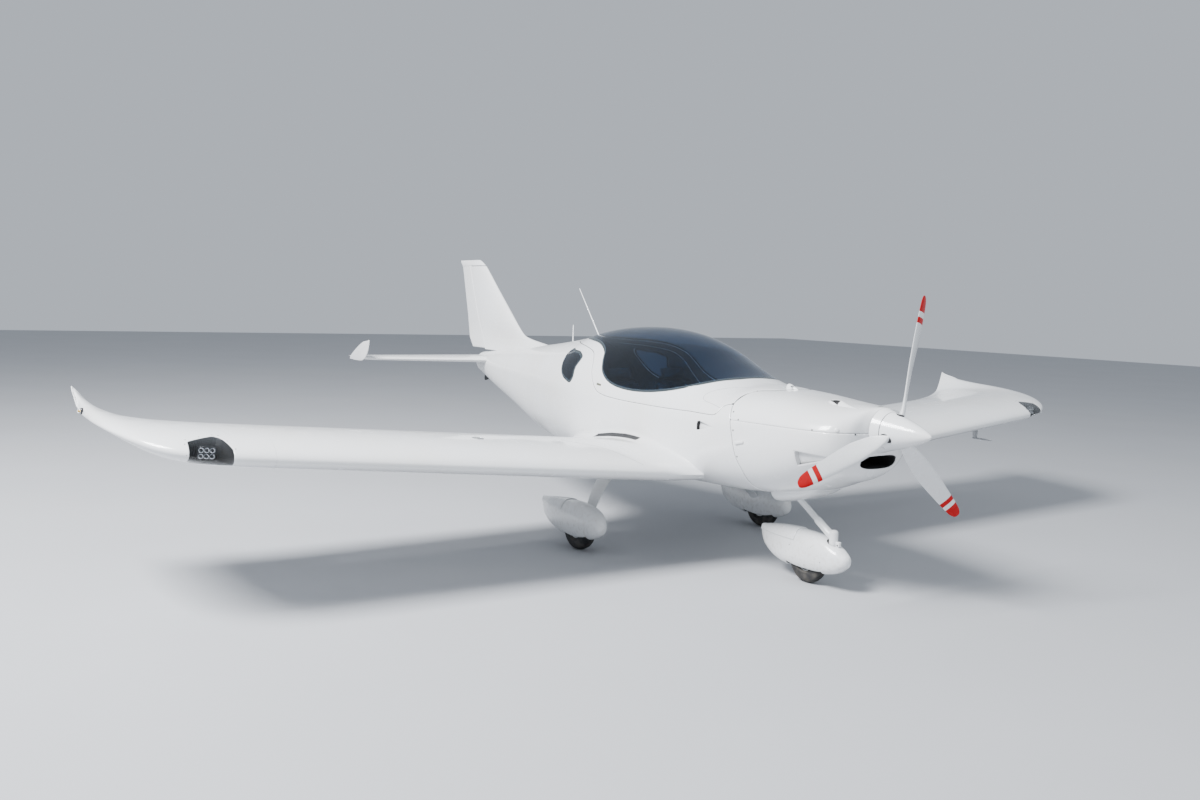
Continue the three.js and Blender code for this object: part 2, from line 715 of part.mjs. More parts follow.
function cabinFittings() {
  const inside = roomLoft(SKIN + SEAT_GAP, FIREWALL + FIREWALL_THICK + SEAT_GAP, 5600);
  const panelOutline = [
    [1400, 1268],
    [1560, 1300],
    [1760, 1288],
    [1772, 1275],
    [1744, 1000],
    [1716, 1000],
    [1730, 1260],
    [1560, 1274],
    [1400, 1246],
  ];
  // Its lower corners reach the cabin walls, and above them it stays inside the canopy
  const belowCanopy = inside.intersect(block(1300, 1900, -FAR, FAR, 900, 1120));
  const panelRoom = unite(roomLoft(SKIN + 14, 1350, 1900), belowCanopy);
  add("instrument_panel", sideSlab(panelOutline, -FAR, FAR).intersect(panelRoom), BLACK);
  const consoleOutline = [
    [1774, 900],
    [1900, 830],
    [2150, 800],
    [2700, 800],
    [2700, 590],
    [1774, 590],
  ];
  const consoleHalf = 58;
  const console = sideSlab(consoleOutline, -consoleHalf, consoleHalf);
  add("centre_console", console.intersect(inside), LEATHER);

  const seat = [
    [2230, 860],
    [2200, 820],
    [2215, 610],
    [2760, 610],
    [2860, 760],
    [3050, 1330],
    [3030, 1385],
    [2985, 1400],
    [2940, 1370],
    [2730, 850],
    [2600, 820],
  ];
  const shape = sideSlab(seat, consoleHalf + 6, 500).intersect(inside);
  addPair("seat", shape, LEATHER);

  // The stick stands in a rubber boot on the floor and ends in a grip
  const stickY = 280;
  const onStick = (stickStation, height) => [x(stickStation), stickY, height];
  const stick = unite(
    bar(onStick(2120, 606), onStick(2085, 960), 12, 10),
    bar(onStick(2085, 950), onStick(2080, 1080), 20, 10),
    bar(onStick(2120, 592), onStick(2120, 640), 40, 16),
  );
  addPair("control_stick", stick.intersect(inside), BLACK);
}

// Tail
const FIN = [
  { z: 1290, lead: 4810, thick: 0.09 },
  { z: 1601, lead: 5198, thick: 0.095 },
  { z: 1823, lead: 5477, thick: 0.1 },
  { z: 2169, lead: 5897, thick: 0.1 },
  { z: 2244, lead: 5990, thick: 0.1 },
  { z: 2306, lead: 6127, thick: 0.06 },
];
const RUDDER_TRAIL = [
  { z: 1290, trail: 6260 },
  { z: 1453, trail: 6343 },
  { z: 1709, trail: 6402 },
  { z: 1949, trail: 6472 },
  { z: 2233, trail: 6555 },
  { z: 2306, trail: 6620 },
];

const hingeStation = (z) => RUDDER_FOOT.station + RUDDER_SLOPE * (z - RUDDER_FOOT.z);

function finRing({ z, lead, thick }) {
  const chord = between(RUDDER_TRAIL, "z", z, "trail") - lead;
  const outline = airfoil(chord, thick, 0, TAIL_STEPS);
  return outline.map(([along, out]) => new THREE.Vector3(x(lead + along), out, z));
}

const DORSAL = [
  [4545, 1440],
  [4569, 1453],
  [4873, 1484],
  [5065, 1520],
  [5150, 1566],
  [5290, 1560],
  [5290, 1340],
  [4560, 1380],
];
const RUDDER_BOTTOM = [
  [5800, 1335],
  [5947, 1338],
  [6180, 1352],
  [6290, 1378],
  [6900, 1500],
];

// A hinge's knuckle turns in a many-sided hollow of this radius and stays clear of its flats
function knuckleRadius(coveRadius) {
  return coveRadius * Math.cos(Math.PI / COVE_SIDES) - PIN_GAP;
}

function verticalTail() {
  const whole = solid(loft(FIN.map(finRing)));
  const low = 1200;
  const high = 2400;
  const onHinge = (z) => [x(hingeStation(z)), 0, z];
  // The rudder's round nose tapers upwards, and turns in a hollow in the fin
  const noseAt = (z) => 38.5 - (z - low) * 0.0145;
  const coveAt = (z) => noseAt(z) + HINGE_GAP;
  const knuckleAt = (z) => knuckleRadius(coveAt(z));
  const nosePiece = (from, to, radiusAt, sides) =>
    bar(onHinge(from), onHinge(to), radiusAt(from), sides, radiusAt(to));
  const cove = nosePiece(low, high, coveAt, COVE_SIDES);
  const [ahead, behind] = [4000, 6900];
  const aftOutline = [
    [hingeStation(low), low],
    [hingeStation(high), high],
    [behind, high],
    [behind, low],
  ];
  const aft = sideSlab(aftOutline, -FAR, FAR);
  const over = (z) => block(ahead, behind, -FAR, FAR, z, high);
  const tailSkin = bodyLoft(-SEAT_GAP, ahead, TAIL_CONE_END);
  const finFoot = unite(
    block(ahead, behind, -FAR, FAR, 1000, 1300),
    block(TAIL_CONE_END - 4, behind, -FAR, FAR, 1000, 1340),
  );
  const fin = whole.add(sideSlab(DORSAL, -9, 9)).subtract(aft).subtract(cove).subtract(over(FIN_TOP));
  add("fin", fin.subtract(tailSkin).subtract(finFoot), WHITE);

  const under = sideSlab([[5800, 1000], ...RUDDER_BOTTOM, [behind, 1000]], -FAR, FAR);
  const nose = nosePiece(low, FIN_TOP + 12, noseAt, 12);
  const knuckles = unite(
    nosePiece(1450, 1480, knuckleAt, COVE_SIDES),
    nosePiece(2000, 2030, knuckleAt, COVE_SIDES),
  );
  const blade = whole.intersect(aft).add(nose).add(knuckles);
  const horn = whole.intersect(over(FIN_TOP + 10));
  add("rudder", blade.add(horn).subtract(under), WHITE);
}

// Tailplane plan by span
const STAB = [
  { span: 60, lead: 5505, trail: 6372, thick: 0.085 },
  { span: 217, lead: 5548, trail: 6372, thick: 0.085 },
  { span: 1300, lead: 5850, trail: 6372, thick: 0.085 },
  { span: 1400, lead: 5900, trail: 6350, thick: 0.07 },
];

function stabRing({ span, lead, trail, thick }) {
  const outline = airfoil(trail - lead, thick, 0, TAIL_STEPS);
  return outline.map(([along, up]) => new THREE.Vector3(x(lead + along), span, STAB_Z + up));
}

const TAB = { front: 6318, from: 317, to: 896, top: STAB_Z + 6.3 };
const ELEVATOR_NOTCH = [
  [6000, 30],
  [6000, 72],
  [6060, 84],
  [6400, 240],
  [6400, 30],
];
const TIP_PLATE = [
  [6290, 1224],
  [6120, 1212],
  [5900, 1222],
  [5790, 1290],
  [5705, 1438],
  [5860, 1418],
  [6050, 1352],
];

function horizontalTail() {
  const whole = solid(loft(STAB.map(stabRing)));
  // The elevator's round nose thins towards the tip with the tailplane
  const noseAt = (span) => (span < TAPER_SPAN ? 27.4 - 0.0043 * span : 21.8 - 0.063 * (span - TAPER_SPAN));
  const coveAt = (span) => noseAt(span) + HINGE_GAP;
  const knuckleAt = (span) => knuckleRadius(coveAt(span));
  const onHinge = (span) => [x(ELEVATOR_HINGE), span, STAB_Z];
  const nosePiece = (from, to, radiusAt, sides) =>
    bar(onHinge(from), onHinge(to), radiusAt(from), sides, radiusAt(to));
  const cove = unite(
    nosePiece(40, TAPER_SPAN, coveAt, COVE_SIDES),
    nosePiece(TAPER_SPAN, STAB_HALF - 2, coveAt, COVE_SIDES),
  );
  const aft = block(ELEVATOR_HINGE, 6700, -FAR, 2 * FAR, 1000, 1500);
  const tailSkin = bodyLoft(-SEAT_GAP, 4000, TAIL_CONE_END);
  const behindCone = block(TAIL_CONE_END - 4, 6700, -FAR, 118, 1000, 1500);
  const plate = sideSlab(TIP_PLATE, STAB_HALF - 2, STAB_HALF + 14);
  const stab = whole.subtract(aft).subtract(cove).subtract(tailSkin).subtract(behindCone);
  addPair("stabilizer", stab.add(plate), WHITE);

  // The inner corners are cut away so that the rudder swings clear
  const notch = planSlab(ELEVATOR_NOTCH, 1000, 1500);
  const nose = unite(
    nosePiece(40, TAPER_SPAN, noseAt, COVE_SIDES),
    nosePiece(TAPER_SPAN, 1392, noseAt, COVE_SIDES),
    nosePiece(340, 370, knuckleAt, COVE_SIDES),
    nosePiece(1100, 1130, knuckleAt, COVE_SIDES),
  );
  const surface = whole.intersect(aft).add(nose).subtract(notch);
  const left = surface.intersect(block(5000, 7000, 60, 1392, 1000, 1500));
  const tabPocket = block(TAB.front, 6500, TAB.from - HINGE_GAP, TAB.to + HINGE_GAP, 1000, 1500);
  const tube = nosePiece(-100, 100, () => 13, 12);
  add("elevator", unite(left, solid(mirrored(left.subtract(tabPocket))), tube), WHITE);
  const tabFront = TAB.front + SEAT_GAP;
  const tabBlade = [
    [tabFront, STAB_Z + 40],
    [6500, STAB_Z + 40],
    [6500, STAB_Z - 45],
    [tabFront + 22, STAB_Z - 45],
    [tabFront, TAB.top],
  ];
  add("trim_tab", mirrored(left.intersect(sideSlab(tabBlade, TAB.from, TAB.to))), WHITE);
}

// Propeller: chord, thickness and blade angle by radius
const BLADE = [
  { radius: 104, chord: 62, thick: 0.5, angle: 58 },
  { radius: 170, chord: 84, thick: 0.3, angle: 48 },
  { radius: 280, chord: 112, thick: 0.18, angle: 36 },
  { radius: 440, chord: 116, thick: 0.12, angle: 27 },
  { radius: 620, chord: 100, thick: 0.1, angle: 21 },
  { radius: 780, chord: 80, thick: 0.09, angle: 18 },
  { radius: 855, chord: 58, thick: 0.09, angle: 16 },
  { radius: 878, chord: 30, thick: 0.09, angle: 16 },
];

function bladeShape() {
  const rings = BLADE.map(({ radius, chord, thick, angle }) => {
    const turn = THREE.MathUtils.degToRad(angle);
    return airfoil(chord, thick, BLADE_CAMBER, BLADE_STEPS).map(([along, up]) => {
      const across = BLADE_PIVOT * chord - along;
      const y = up * Math.sin(turn) - across * Math.cos(turn);
      const forward = across * Math.sin(turn) + up * Math.cos(turn);
      return new THREE.Vector3(forward, y, radius);
    });
  });
  const hubFlat = HUB_RADIUS * Math.cos(Math.PI / HUB_SIDES);
  const root = bar([0, 0, hubFlat + SEAT_GAP], [0, 0, 130], BLADE_ROOT_RADIUS, 12, BLADE_ROOT_RADIUS * 0.9);
  return solid(loft(rings)).add(root);
}

// The spinner's radius grows with the distance from its tip
function spinnerRadius(along) {
  return SPINNER_RADIUS * (along / SPINNER_LENGTH) ** 0.665;
}

function spinnerShell() {
  const outer = [];
  for (let i = 0; i <= SPINNER_STEPS; i++) {
    const along = (SPINNER_LENGTH * i) / SPINNER_STEPS;
    outer.push([spinnerRadius(along), along]);
  }
  const inner = outer.slice(2).map(([r, along]) => [r - SPINNER_WALL, along]);
  const tipInside = [0, inner[0][1] - 20];
  const profile = [...outer, ...inner.reverse(), tipInside];
  const turned = new THREE.LatheGeometry(
    profile.map(([r, along]) => new THREE.Vector2(r, along)),
    SPINNER_SIDES,
  );
  turned.applyMatrix4(
    new THREE.Matrix4().makeBasis(
      new THREE.Vector3(0, 1, 0),
      new THREE.Vector3(-1, 0, 0),
      new THREE.Vector3(0, 0, 1),
    ),
  );
  turned.translate(PROP_STATION, 0, 0);
  return solid(oriented(turned));
}

// A twelve-sided bar along the shaft whose flats face the blades
function shaftBar(from, to, radius) {
  const geometry = geometryOf(bar([from, 0, 0], [to, 0, 0], radius, HUB_SIDES)).clone();
  geometry.rotateX(Math.PI / HUB_SIDES);
  return solid(geometry);
}

// Built round the blades' crossing point, with the first blade upright, and then turned
function propeller() {
  const group = new THREE.Group();
  group.position.set(x(PROP_STATION), 0, PROP_Z);
  group.rotation.x = -FIRST_BLADE_ANGLE;
  aircraft.add(group);
  const blade = bladeShape();
  let shell = spinnerShell();
  for (let i = 0; i < BLADE_COUNT; i++) {
    const angle = (2 * Math.PI * i) / BLADE_COUNT;
    add("blade_" + (i + 1), blade, WHITE, group).rotation.x = angle;
    const reach = [0, -2 * SPINNER_RADIUS * Math.sin(angle), 2 * SPINNER_RADIUS * Math.cos(angle)];
    shell = shell.subtract(bar([0, 0, 0], reach, BLADE_HOLE_RADIUS, 8));
  }

  const [plateFront, plateBack] = [PROP_STATION - SPINNER_LENGTH + 13, PROP_STATION - SPINNER_LENGTH + 3];
  const plate = bar([plateFront, 0, 0], [plateBack, 0, 0], SPINNER_RADIUS - SPINNER_WALL - 1, SPINNER_SIDES);
  const shaftRoom = shaftBar(plateFront + 10, plateBack - 10, SHAFT_RADIUS + SEAT_GAP);
  add("spinner", shell.add(plate).subtract(shaftRoom), WHITE, group);

  const hub = shaftBar(HUB_FRONT, HUB_BACK, HUB_RADIUS);
  const shaft = shaftBar(HUB_BACK + 6, PROP_STATION - ENGINE.front + SEAT_GAP, SHAFT_RADIUS);
  add("propeller_hub", hub.add(shaft), METAL, group);
}

// Landing gear
function wheelShapes({ radius, width, rim }, centre) {
  const half = width / 2;
  const seat = half * 0.72;
  const tyre = [
    [rim + SEAT_GAP, -seat],
    [radius - 34, -half],
    [radius, -half * 0.42],
    [radius, half * 0.42],
    [radius - 34, half],
    [rim + SEAT_GAP, seat],
    [rim + SEAT_GAP, -seat],
  ];
  const bore = AXLE_RADIUS + 0.5;
  const hub = [
    [bore, -half * 0.7],
    [rim * 0.7, -half * 0.4],
    [rim, -seat],
    [rim, seat],
    [rim * 0.7, half * 0.4],
    [bore, half * 0.7],
    [bore, -half * 0.7],
  ];
  return { tyre: turnedAcross(tyre, centre, WHEEL_SIDES), rim: turnedAcross(hub, centre, WHEEL_SIDES) };
}

// A wheel fairing from its side outline: station, top, bottom and half width by row
const MAIN_SPAT = [
  { station: 2141, top: 232, bottom: 205, half: 12 },
  { station: 2165, top: 284, bottom: 160, half: 52 },
  { station: 2225, top: 328, bottom: 126, half: 82 },
  { station: 2340, top: 362, bottom: 94, half: 98 },
  { station: 2460, top: 366, bottom: 82, half: 100 },
  { station: 2640, top: 358, bottom: 88, half: 90 },
  { station: 2830, top: 334, bottom: 116, half: 58 },
  { station: 2960, top: 314, bottom: 170, half: 26 },
  { station: 3012, top: 307, bottom: 236, half: 8 },
];
const NOSE_SPAT = [
  { station: 599, top: 226, bottom: 204, half: 12 },
  { station: 622, top: 262, bottom: 168, half: 46 },
  { station: 680, top: 298, bottom: 128, half: 72 },
  { station: 790, top: 344, bottom: 96, half: 86 },
  { station: 900, top: 361, bottom: 84, half: 90 },
  { station: 1080, top: 362, bottom: 84, half: 84 },
  { station: 1260, top: 346, bottom: 106, half: 58 },
  { station: 1390, top: 322, bottom: 172, half: 26 },
  { station: 1438, top: 310, bottom: 246, half: 8 },
];

function spatLoft(rows, wall, y) {
  const rings = rows.map(({ station, top, bottom, half }, n) => {
    const middle = (top + bottom) / 2;
    const ends = n === 0 || n === rows.length - 1;
    const shift = ends ? (n === 0 ? wall : -wall) : 0;
    const height = Math.max((top - bottom) / 2 - wall, 3);
    const width = Math.max(half - wall, 2);
    const ring = [];
    for (let i = 0; i < SPAT_POINTS; i++) {
      const angle = (2 * Math.PI * i) / SPAT_POINTS;
      const c = Math.cos(angle);
      const s = Math.sin(angle);
      const power = 0.82;
      ring.push(
        new THREE.Vector3(
          x(station + shift),
          y + width * Math.sign(c) * Math.abs(c) ** power,
          middle + height * Math.sign(s) * Math.abs(s) ** power,
        ),
      );
    }
    return ring;
  });
  return solid(loft(rings));
}

// The flat spring leg by row: the centre of its section, how wide and thick it is, and its
// lean in degrees
const MAIN_LEG = [
  { y: 474, z: 640, station: 2606, chord: 196, thick: 34, lean: 55 },
  { y: 520, z: 590, station: 2600, chord: 190, thick: 34, lean: 55 },
  { y: 640, z: 505, station: 2580, chord: 168, thick: 32, lean: 50 },
  { y: 800, z: 330, station: 2500, chord: 128, thick: 28, lean: 38 },
  { y: 858, z: 236, station: 2462, chord: 104, thick: 26, lean: 14 },
  { y: 866, z: 140, station: 2458, chord: 88, thick: 24, lean: 0 },
];

function legRing(row) {
  const lean = THREE.MathUtils.degToRad(row.lean);
  const ring = [];
  for (let i = 0; i < LEG_POINTS; i++) {
    const angle = (2 * Math.PI * i) / LEG_POINTS;
    const out = (row.thick / 2) * Math.sin(angle);
    const along = x(row.station) + (row.chord / 2) * Math.cos(angle);
    ring.push(new THREE.Vector3(along, row.y + out * Math.cos(lean), row.z + out * Math.sin(lean)));
  }
  return ring;
}

// The leg ends against the wing root's underside
function mainLeg() {
  const centre = (y) => [x(MAIN.station), y, MAIN.radius];
  const axle = bar(centre(866), centre(MAIN.track + AXLE_REACH), AXLE_RADIUS, 12);
  const collar = bar(centre(860), centre(884), 26, 12);
  const root = wingRoot();
  const lowered = geometryOf(root).clone();
  lowered.translate(0, 0, -2 * SEAT_GAP);
  const inboard = block(2000, 3300, 300, 480, 500, 1200);
  const taken = unite(bodyLoft(-SEAT_GAP, 2000, 3200), root, solid(lowered), inboard);
  return unite(solid(loft(MAIN_LEG.map(legRing))), collar, axle).subtract(taken);
}

function mainGear() {
  const y = MAIN.track;
  const { tyre, rim } = wheelShapes(MAIN, [x(MAIN.station), y, MAIN.radius]);
  addPair("main_tyre", tyre, TYRE);
  addPair("main_rim", rim, METAL);
  addPair("main_leg", mainLeg(), WHITE);

  const outer = spatLoft(MAIN_SPAT, 0, y);
  const room = spatLoft(MAIN_SPAT, SPAT_WALL, y);
  const mouth = block(2272, 2644, y - 66, y + 66, 0, 150);
  const legSlot = block(2380, 2545, y - 140, y - 44, 60, 420);
  const spat = outer.subtract(room).subtract(mouth).subtract(legSlot);
  const onAxle = (out) => [x(MAIN.station), y + out, MAIN.radius];
  const bracket = bar(onAxle(AXLE_REACH + SEAT_GAP), onAxle(97), 20, 12);
  addPair("main_spat", spat.add(bracket.intersect(outer)), WHITE);
}

// Room under the swivel, where the fork's crown turns
function barrelClear() {
  return bar([x(CASTER_STATION), 0, 200], [x(CASTER_STATION), 0, BARREL_LOW], BARREL_RADIUS + 40, 16);
}

function noseGear() {
  const { tyre, rim } = wheelShapes(NOSE, [x(NOSE.station), 0, NOSE.radius]);
  add("nose_tyre", tyre, TYRE);
  add("nose_rim", rim, METAL);

  const barrel = bar([x(CASTER_STATION), 0, BARREL_LOW], [x(CASTER_STATION), 0, 384], BARREL_RADIUS, 16);
  const sleeve = bar([x(900), 0, 451], [x(820), 0, 401.5], 26, 16);
  add("nose_leg", unite(noseLegBar(0).subtract(barrelClear()), barrel, sleeve), WHITE);

  const armGap = NOSE.width / 2 + 6;
  const armWidth = 11;
  const armOut = armGap + armWidth;
  const crown = unite(
    bar([x(CASTER_STATION), 0, 246], [x(CASTER_STATION), 0, BARREL_LOW - SEAT_GAP], BARREL_RADIUS, 16),
    block(CASTER_STATION, 789, -armOut, armOut, 246, 270),
  );
  const armOutline = [
    [756, 270],
    [800, 270],
    [NOSE.station + 24, NOSE.radius + 18],
    [NOSE.station + 18, NOSE.radius - 18],
    [NOSE.station - 18, NOSE.radius - 18],
    [756, 246],
  ];
  const arms = unite(sideSlab(armOutline, armGap, armOut), sideSlab(armOutline, -armOut, -armGap));
  const onAxle = (y) => [x(NOSE.station), y, NOSE.radius];
  const axle = bar(onAxle(-armGap - 2), onAxle(armGap + 2), AXLE_RADIUS, 16);
  add("nose_fork", unite(crown, arms, axle), METAL);

  const outer = spatLoft(NOSE_SPAT, 0, 0);
  const room = spatLoft(NOSE_SPAT, SPAT_WALL, 0);
  const mouth = block(790, 1134, -58, 58, 0, 140);
  const barrelHole = bar([x(CASTER_STATION), 0, 270], [x(CASTER_STATION), 0, 420], 44, 24);
  const shell = outer.subtract(room).subtract(mouth).subtract(barrelHole);
  const pads = unite(
    block(940, 984, armOut + SEAT_GAP, 96, 140, 170),
    block(940, 984, -96, -armOut - SEAT_GAP, 140, 170),
  );
  add("nose_spat", shell.add(pads.intersect(outer)), WHITE);
}

// Small things on the outside
const SKID_OUTLINE = [
  [5780, 1100],
  [5940, 1130],
  [5960, 1010],
  [5930, 1000],
  [5760, 1040],
];
const SKID_HALF = 7;
const PITOT = { span: 2978, from: 1690, to: 1890, z: -142, radius: 7, mastHalf: 6 };
const PITOT_MAST = [
  [1850, -20],
  [1905, -20],
  [1880, -150],
  [1850, -150],
];
const EXHAUST_Y = 90;

function fittings() {
  const spine = bodyLoft(-SEAT_GAP, 3500, 4500);
  const onSpine = (station, z) => [x(station), 0, z];
  const whip = bar(onSpine(3685, 1560), onSpine(4060, 2006), 6, 8, 3);
  const foot = bar(onSpine(3690, 1540), onSpine(3700, 1592), 16, 12, 10);
  add("whip_antenna", unite(whip, foot).subtract(spine), BLACK);
  add("stub_antenna", bar(onSpine(4150, 1480), onSpine(4150, 1667), 8, 12, 5).subtract(spine), BLACK);
  const skid = sideSlab(SKID_OUTLINE, -SKID_HALF, SKID_HALF);
  add("tail_skid", skid.subtract(bodyLoft(-SEAT_GAP, 5000, TAIL_CONE_END)), BLACK);

  const wingSkin = solid(loft([wingRing(WING_ROOT), wingRing(WING_END)]));
  const lowered = geometryOf(wingSkin).clone();
  lowered.translate(0, 0, -SEAT_GAP);
  const { span, from, to, z, radius, mastHalf } = PITOT;
  const mast = sideSlab(PITOT_MAST, span - mastHalf, span + mastHalf);
  const tube = bar([x(from), span, z], [x(to), span, z], radius, 12);
  add("pitot_probe", unite(mast, tube).subtract(wingSkin).subtract(solid(lowered)), METAL, wingSides.left);

  // The exhaust comes down from the engine and bends back out of the cooling outlet
  const pipeTop = ENGINE.low - SEAT_GAP;
  const onPipe = (station, height) => [x(station), EXHAUST_Y, height];
  const pipe = unite(
    bar(onPipe(960, pipeTop), onPipe(985, 700), 20, 10),
    bar(onPipe(983, 706), onPipe(1087, 588), 18, 10),
    bar(onPipe(1083, 591), onPipe(1215, 562), 18, 10),
  );
  const overPipe = block(500, FIREWALL, -ENGINE.half, ENGINE.half, pipeTop, ENGINE.high);
  add("exhaust_pipe", pipe.subtract(overPipe), METAL);
}

cowling();
engine();
fuselage();
canopy();
cabinFittings();
wings();
wingTips();
verticalTail();
horizontalTail();
propeller();
mainGear();
noseGear();
fittings();

export default aircraft;
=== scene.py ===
"""A two-seat low-wing light aircraft on its wheels, white all over under a tinted bubble canopy.

Metres, +X towards the nose, +Y to the aircraft's left, +Z up, wheels on z = 0. A "station" is a
distance aft of the spinner's tip. The script follows the aircraft as it is put together.
"""

import math

import bpy
import numpy as np
from mathutils import Matrix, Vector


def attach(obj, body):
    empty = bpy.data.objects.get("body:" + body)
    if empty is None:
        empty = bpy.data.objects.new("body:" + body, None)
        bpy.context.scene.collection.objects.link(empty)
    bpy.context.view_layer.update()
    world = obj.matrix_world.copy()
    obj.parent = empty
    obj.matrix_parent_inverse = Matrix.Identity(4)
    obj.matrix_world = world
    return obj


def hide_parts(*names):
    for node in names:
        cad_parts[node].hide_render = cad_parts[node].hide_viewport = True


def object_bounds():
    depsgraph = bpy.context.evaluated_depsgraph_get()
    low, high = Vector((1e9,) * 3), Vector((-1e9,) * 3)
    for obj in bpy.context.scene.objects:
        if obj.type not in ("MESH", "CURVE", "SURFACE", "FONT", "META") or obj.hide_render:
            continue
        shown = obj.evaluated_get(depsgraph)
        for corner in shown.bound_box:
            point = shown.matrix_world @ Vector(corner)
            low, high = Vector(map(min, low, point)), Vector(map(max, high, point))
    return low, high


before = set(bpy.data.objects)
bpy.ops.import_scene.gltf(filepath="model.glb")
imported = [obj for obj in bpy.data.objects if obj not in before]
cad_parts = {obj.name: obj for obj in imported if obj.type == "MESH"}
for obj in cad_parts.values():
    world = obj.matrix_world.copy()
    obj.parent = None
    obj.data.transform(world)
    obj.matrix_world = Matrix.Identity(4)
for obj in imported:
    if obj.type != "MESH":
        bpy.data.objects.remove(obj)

cad_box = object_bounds()
NOSE_X = float(cad_box[1][0])
SIDES = ((1, "left"), (-1, "right"))


def row_x(station):
    """The row frame's X of a station."""
    return NOSE_X - station


def row_points(station, y, z):
    """Points of the row frame from stations, distances out and heights."""
    return np.stack(np.broadcast_arrays(row_x(station), y, z), axis=-1)


# The view. The camera stands to the right of the nose at a little over head height, level with
# the canopy, and leans by a degree or two, as a hand-held one does.
CAMERA_PLACE = (7.259, -5.021, 1.883)
CAMERA_YAW = math.radians(146.56)
CAMERA_PITCH = math.radians(-5.51)
CAMERA_ROLL = math.radians(1.88)
LENS_MM = 30.28
SENSOR_MM = 36.0


def camera_axes(yaw, pitch, roll):
    """The camera's right, up and back directions: forward from yaw and pitch, then both turned by roll."""
    forward = np.array([math.cos(yaw) * math.cos(pitch), math.sin(yaw) * math.cos(pitch), math.sin(pitch)])
    level = np.cross(forward, (0, 0, 1))
    level /= np.linalg.norm(level)
    upright = np.cross(level, forward)
    right = math.cos(roll) * level + math.sin(roll) * upright
    up = math.cos(roll) * upright - math.sin(roll) * level
    return np.stack([right, up, -forward], axis=1)


camera_data = bpy.data.cameras.new("camera")
camera_data.lens = LENS_MM
camera_data.sensor_width = SENSOR_MM
camera_data.sensor_fit = "HORIZONTAL"
camera_data.clip_end = 200
camera = bpy.data.objects.new("camera", camera_data)
bpy.context.scene.collection.objects.link(camera)
placed = np.eye(4)
placed[:3, :3] = camera_axes(CAMERA_YAW, CAMERA_PITCH, CAMERA_ROLL)
placed[:3, 3] = CAMERA_PLACE
camera.matrix_world = Matrix(placed.tolist())
bpy.context.scene.camera = camera


# Floor and light. A pale matt studio floor, one large soft lamp high on the camera's left as the
# main light, a weaker one on the right, and a pale even surrounding.
FLOOR_HALF = 40.0
FLOOR_GREY = (0.42, 0.43, 0.45, 1)
SURROUND = (0.80, 0.87, 0.97, 1)
SURROUND_STRENGTH = 0.66
MAIN_LAMP = {"place": (1.5, -9.5, 10.5), "size": 4.5, "power": 5400, "colour": (0.98, 0.985, 1.0)}
SIDE_LAMP = {"place": (11.0, 5.0, 7.0), "size": 8.0, "power": 420, "colour": (0.93, 0.97, 1.0)}


def soft_lamp(name, place, size, power, colour):
    """A square area lamp that looks at the middle of the aircraft."""
    data = bpy.data.lights.new(name, "AREA")
    data.shape = "SQUARE"
    data.size = size
    data.energy = power
    data.color = colour
    lamp = bpy.data.objects.new(name, data)
    bpy.context.scene.collection.objects.link(lamp)
    lamp.location = place
    away = np.array(place) - np.array([0, 0, 1.0])
    yaw = math.atan2(away[1], away[0])
    tilt = math.acos(away[2] / np.linalg.norm(away))
    lamp.rotation_euler = (0, tilt, yaw)
    return lamp


soft_lamp("main_lamp", **MAIN_LAMP)
soft_lamp("side_lamp", **SIDE_LAMP)
world = bpy.data.worlds.new("surround")
bpy.context.scene.world = world
world.use_nodes = True
world.node_tree.nodes["Background"].inputs["Color"].default_value = SURROUND
world.node_tree.nodes["Background"].inputs["Strength"].default_value = SURROUND_STRENGTH

floor_mesh = bpy.data.meshes.new("studio_floor")
floor_corners = [(-FLOOR_HALF, -FLOOR_HALF, 0), (FLOOR_HALF, -FLOOR_HALF, 0), (FLOOR_HALF, FLOOR_HALF, 0)]
floor_mesh.from_pydata(floor_corners + [(-FLOOR_HALF, FLOOR_HALF, 0)], [], [(0, 1, 2, 3)])
floor = bpy.data.objects.new("studio_floor", floor_mesh)
bpy.context.scene.collection.objects.link(floor)


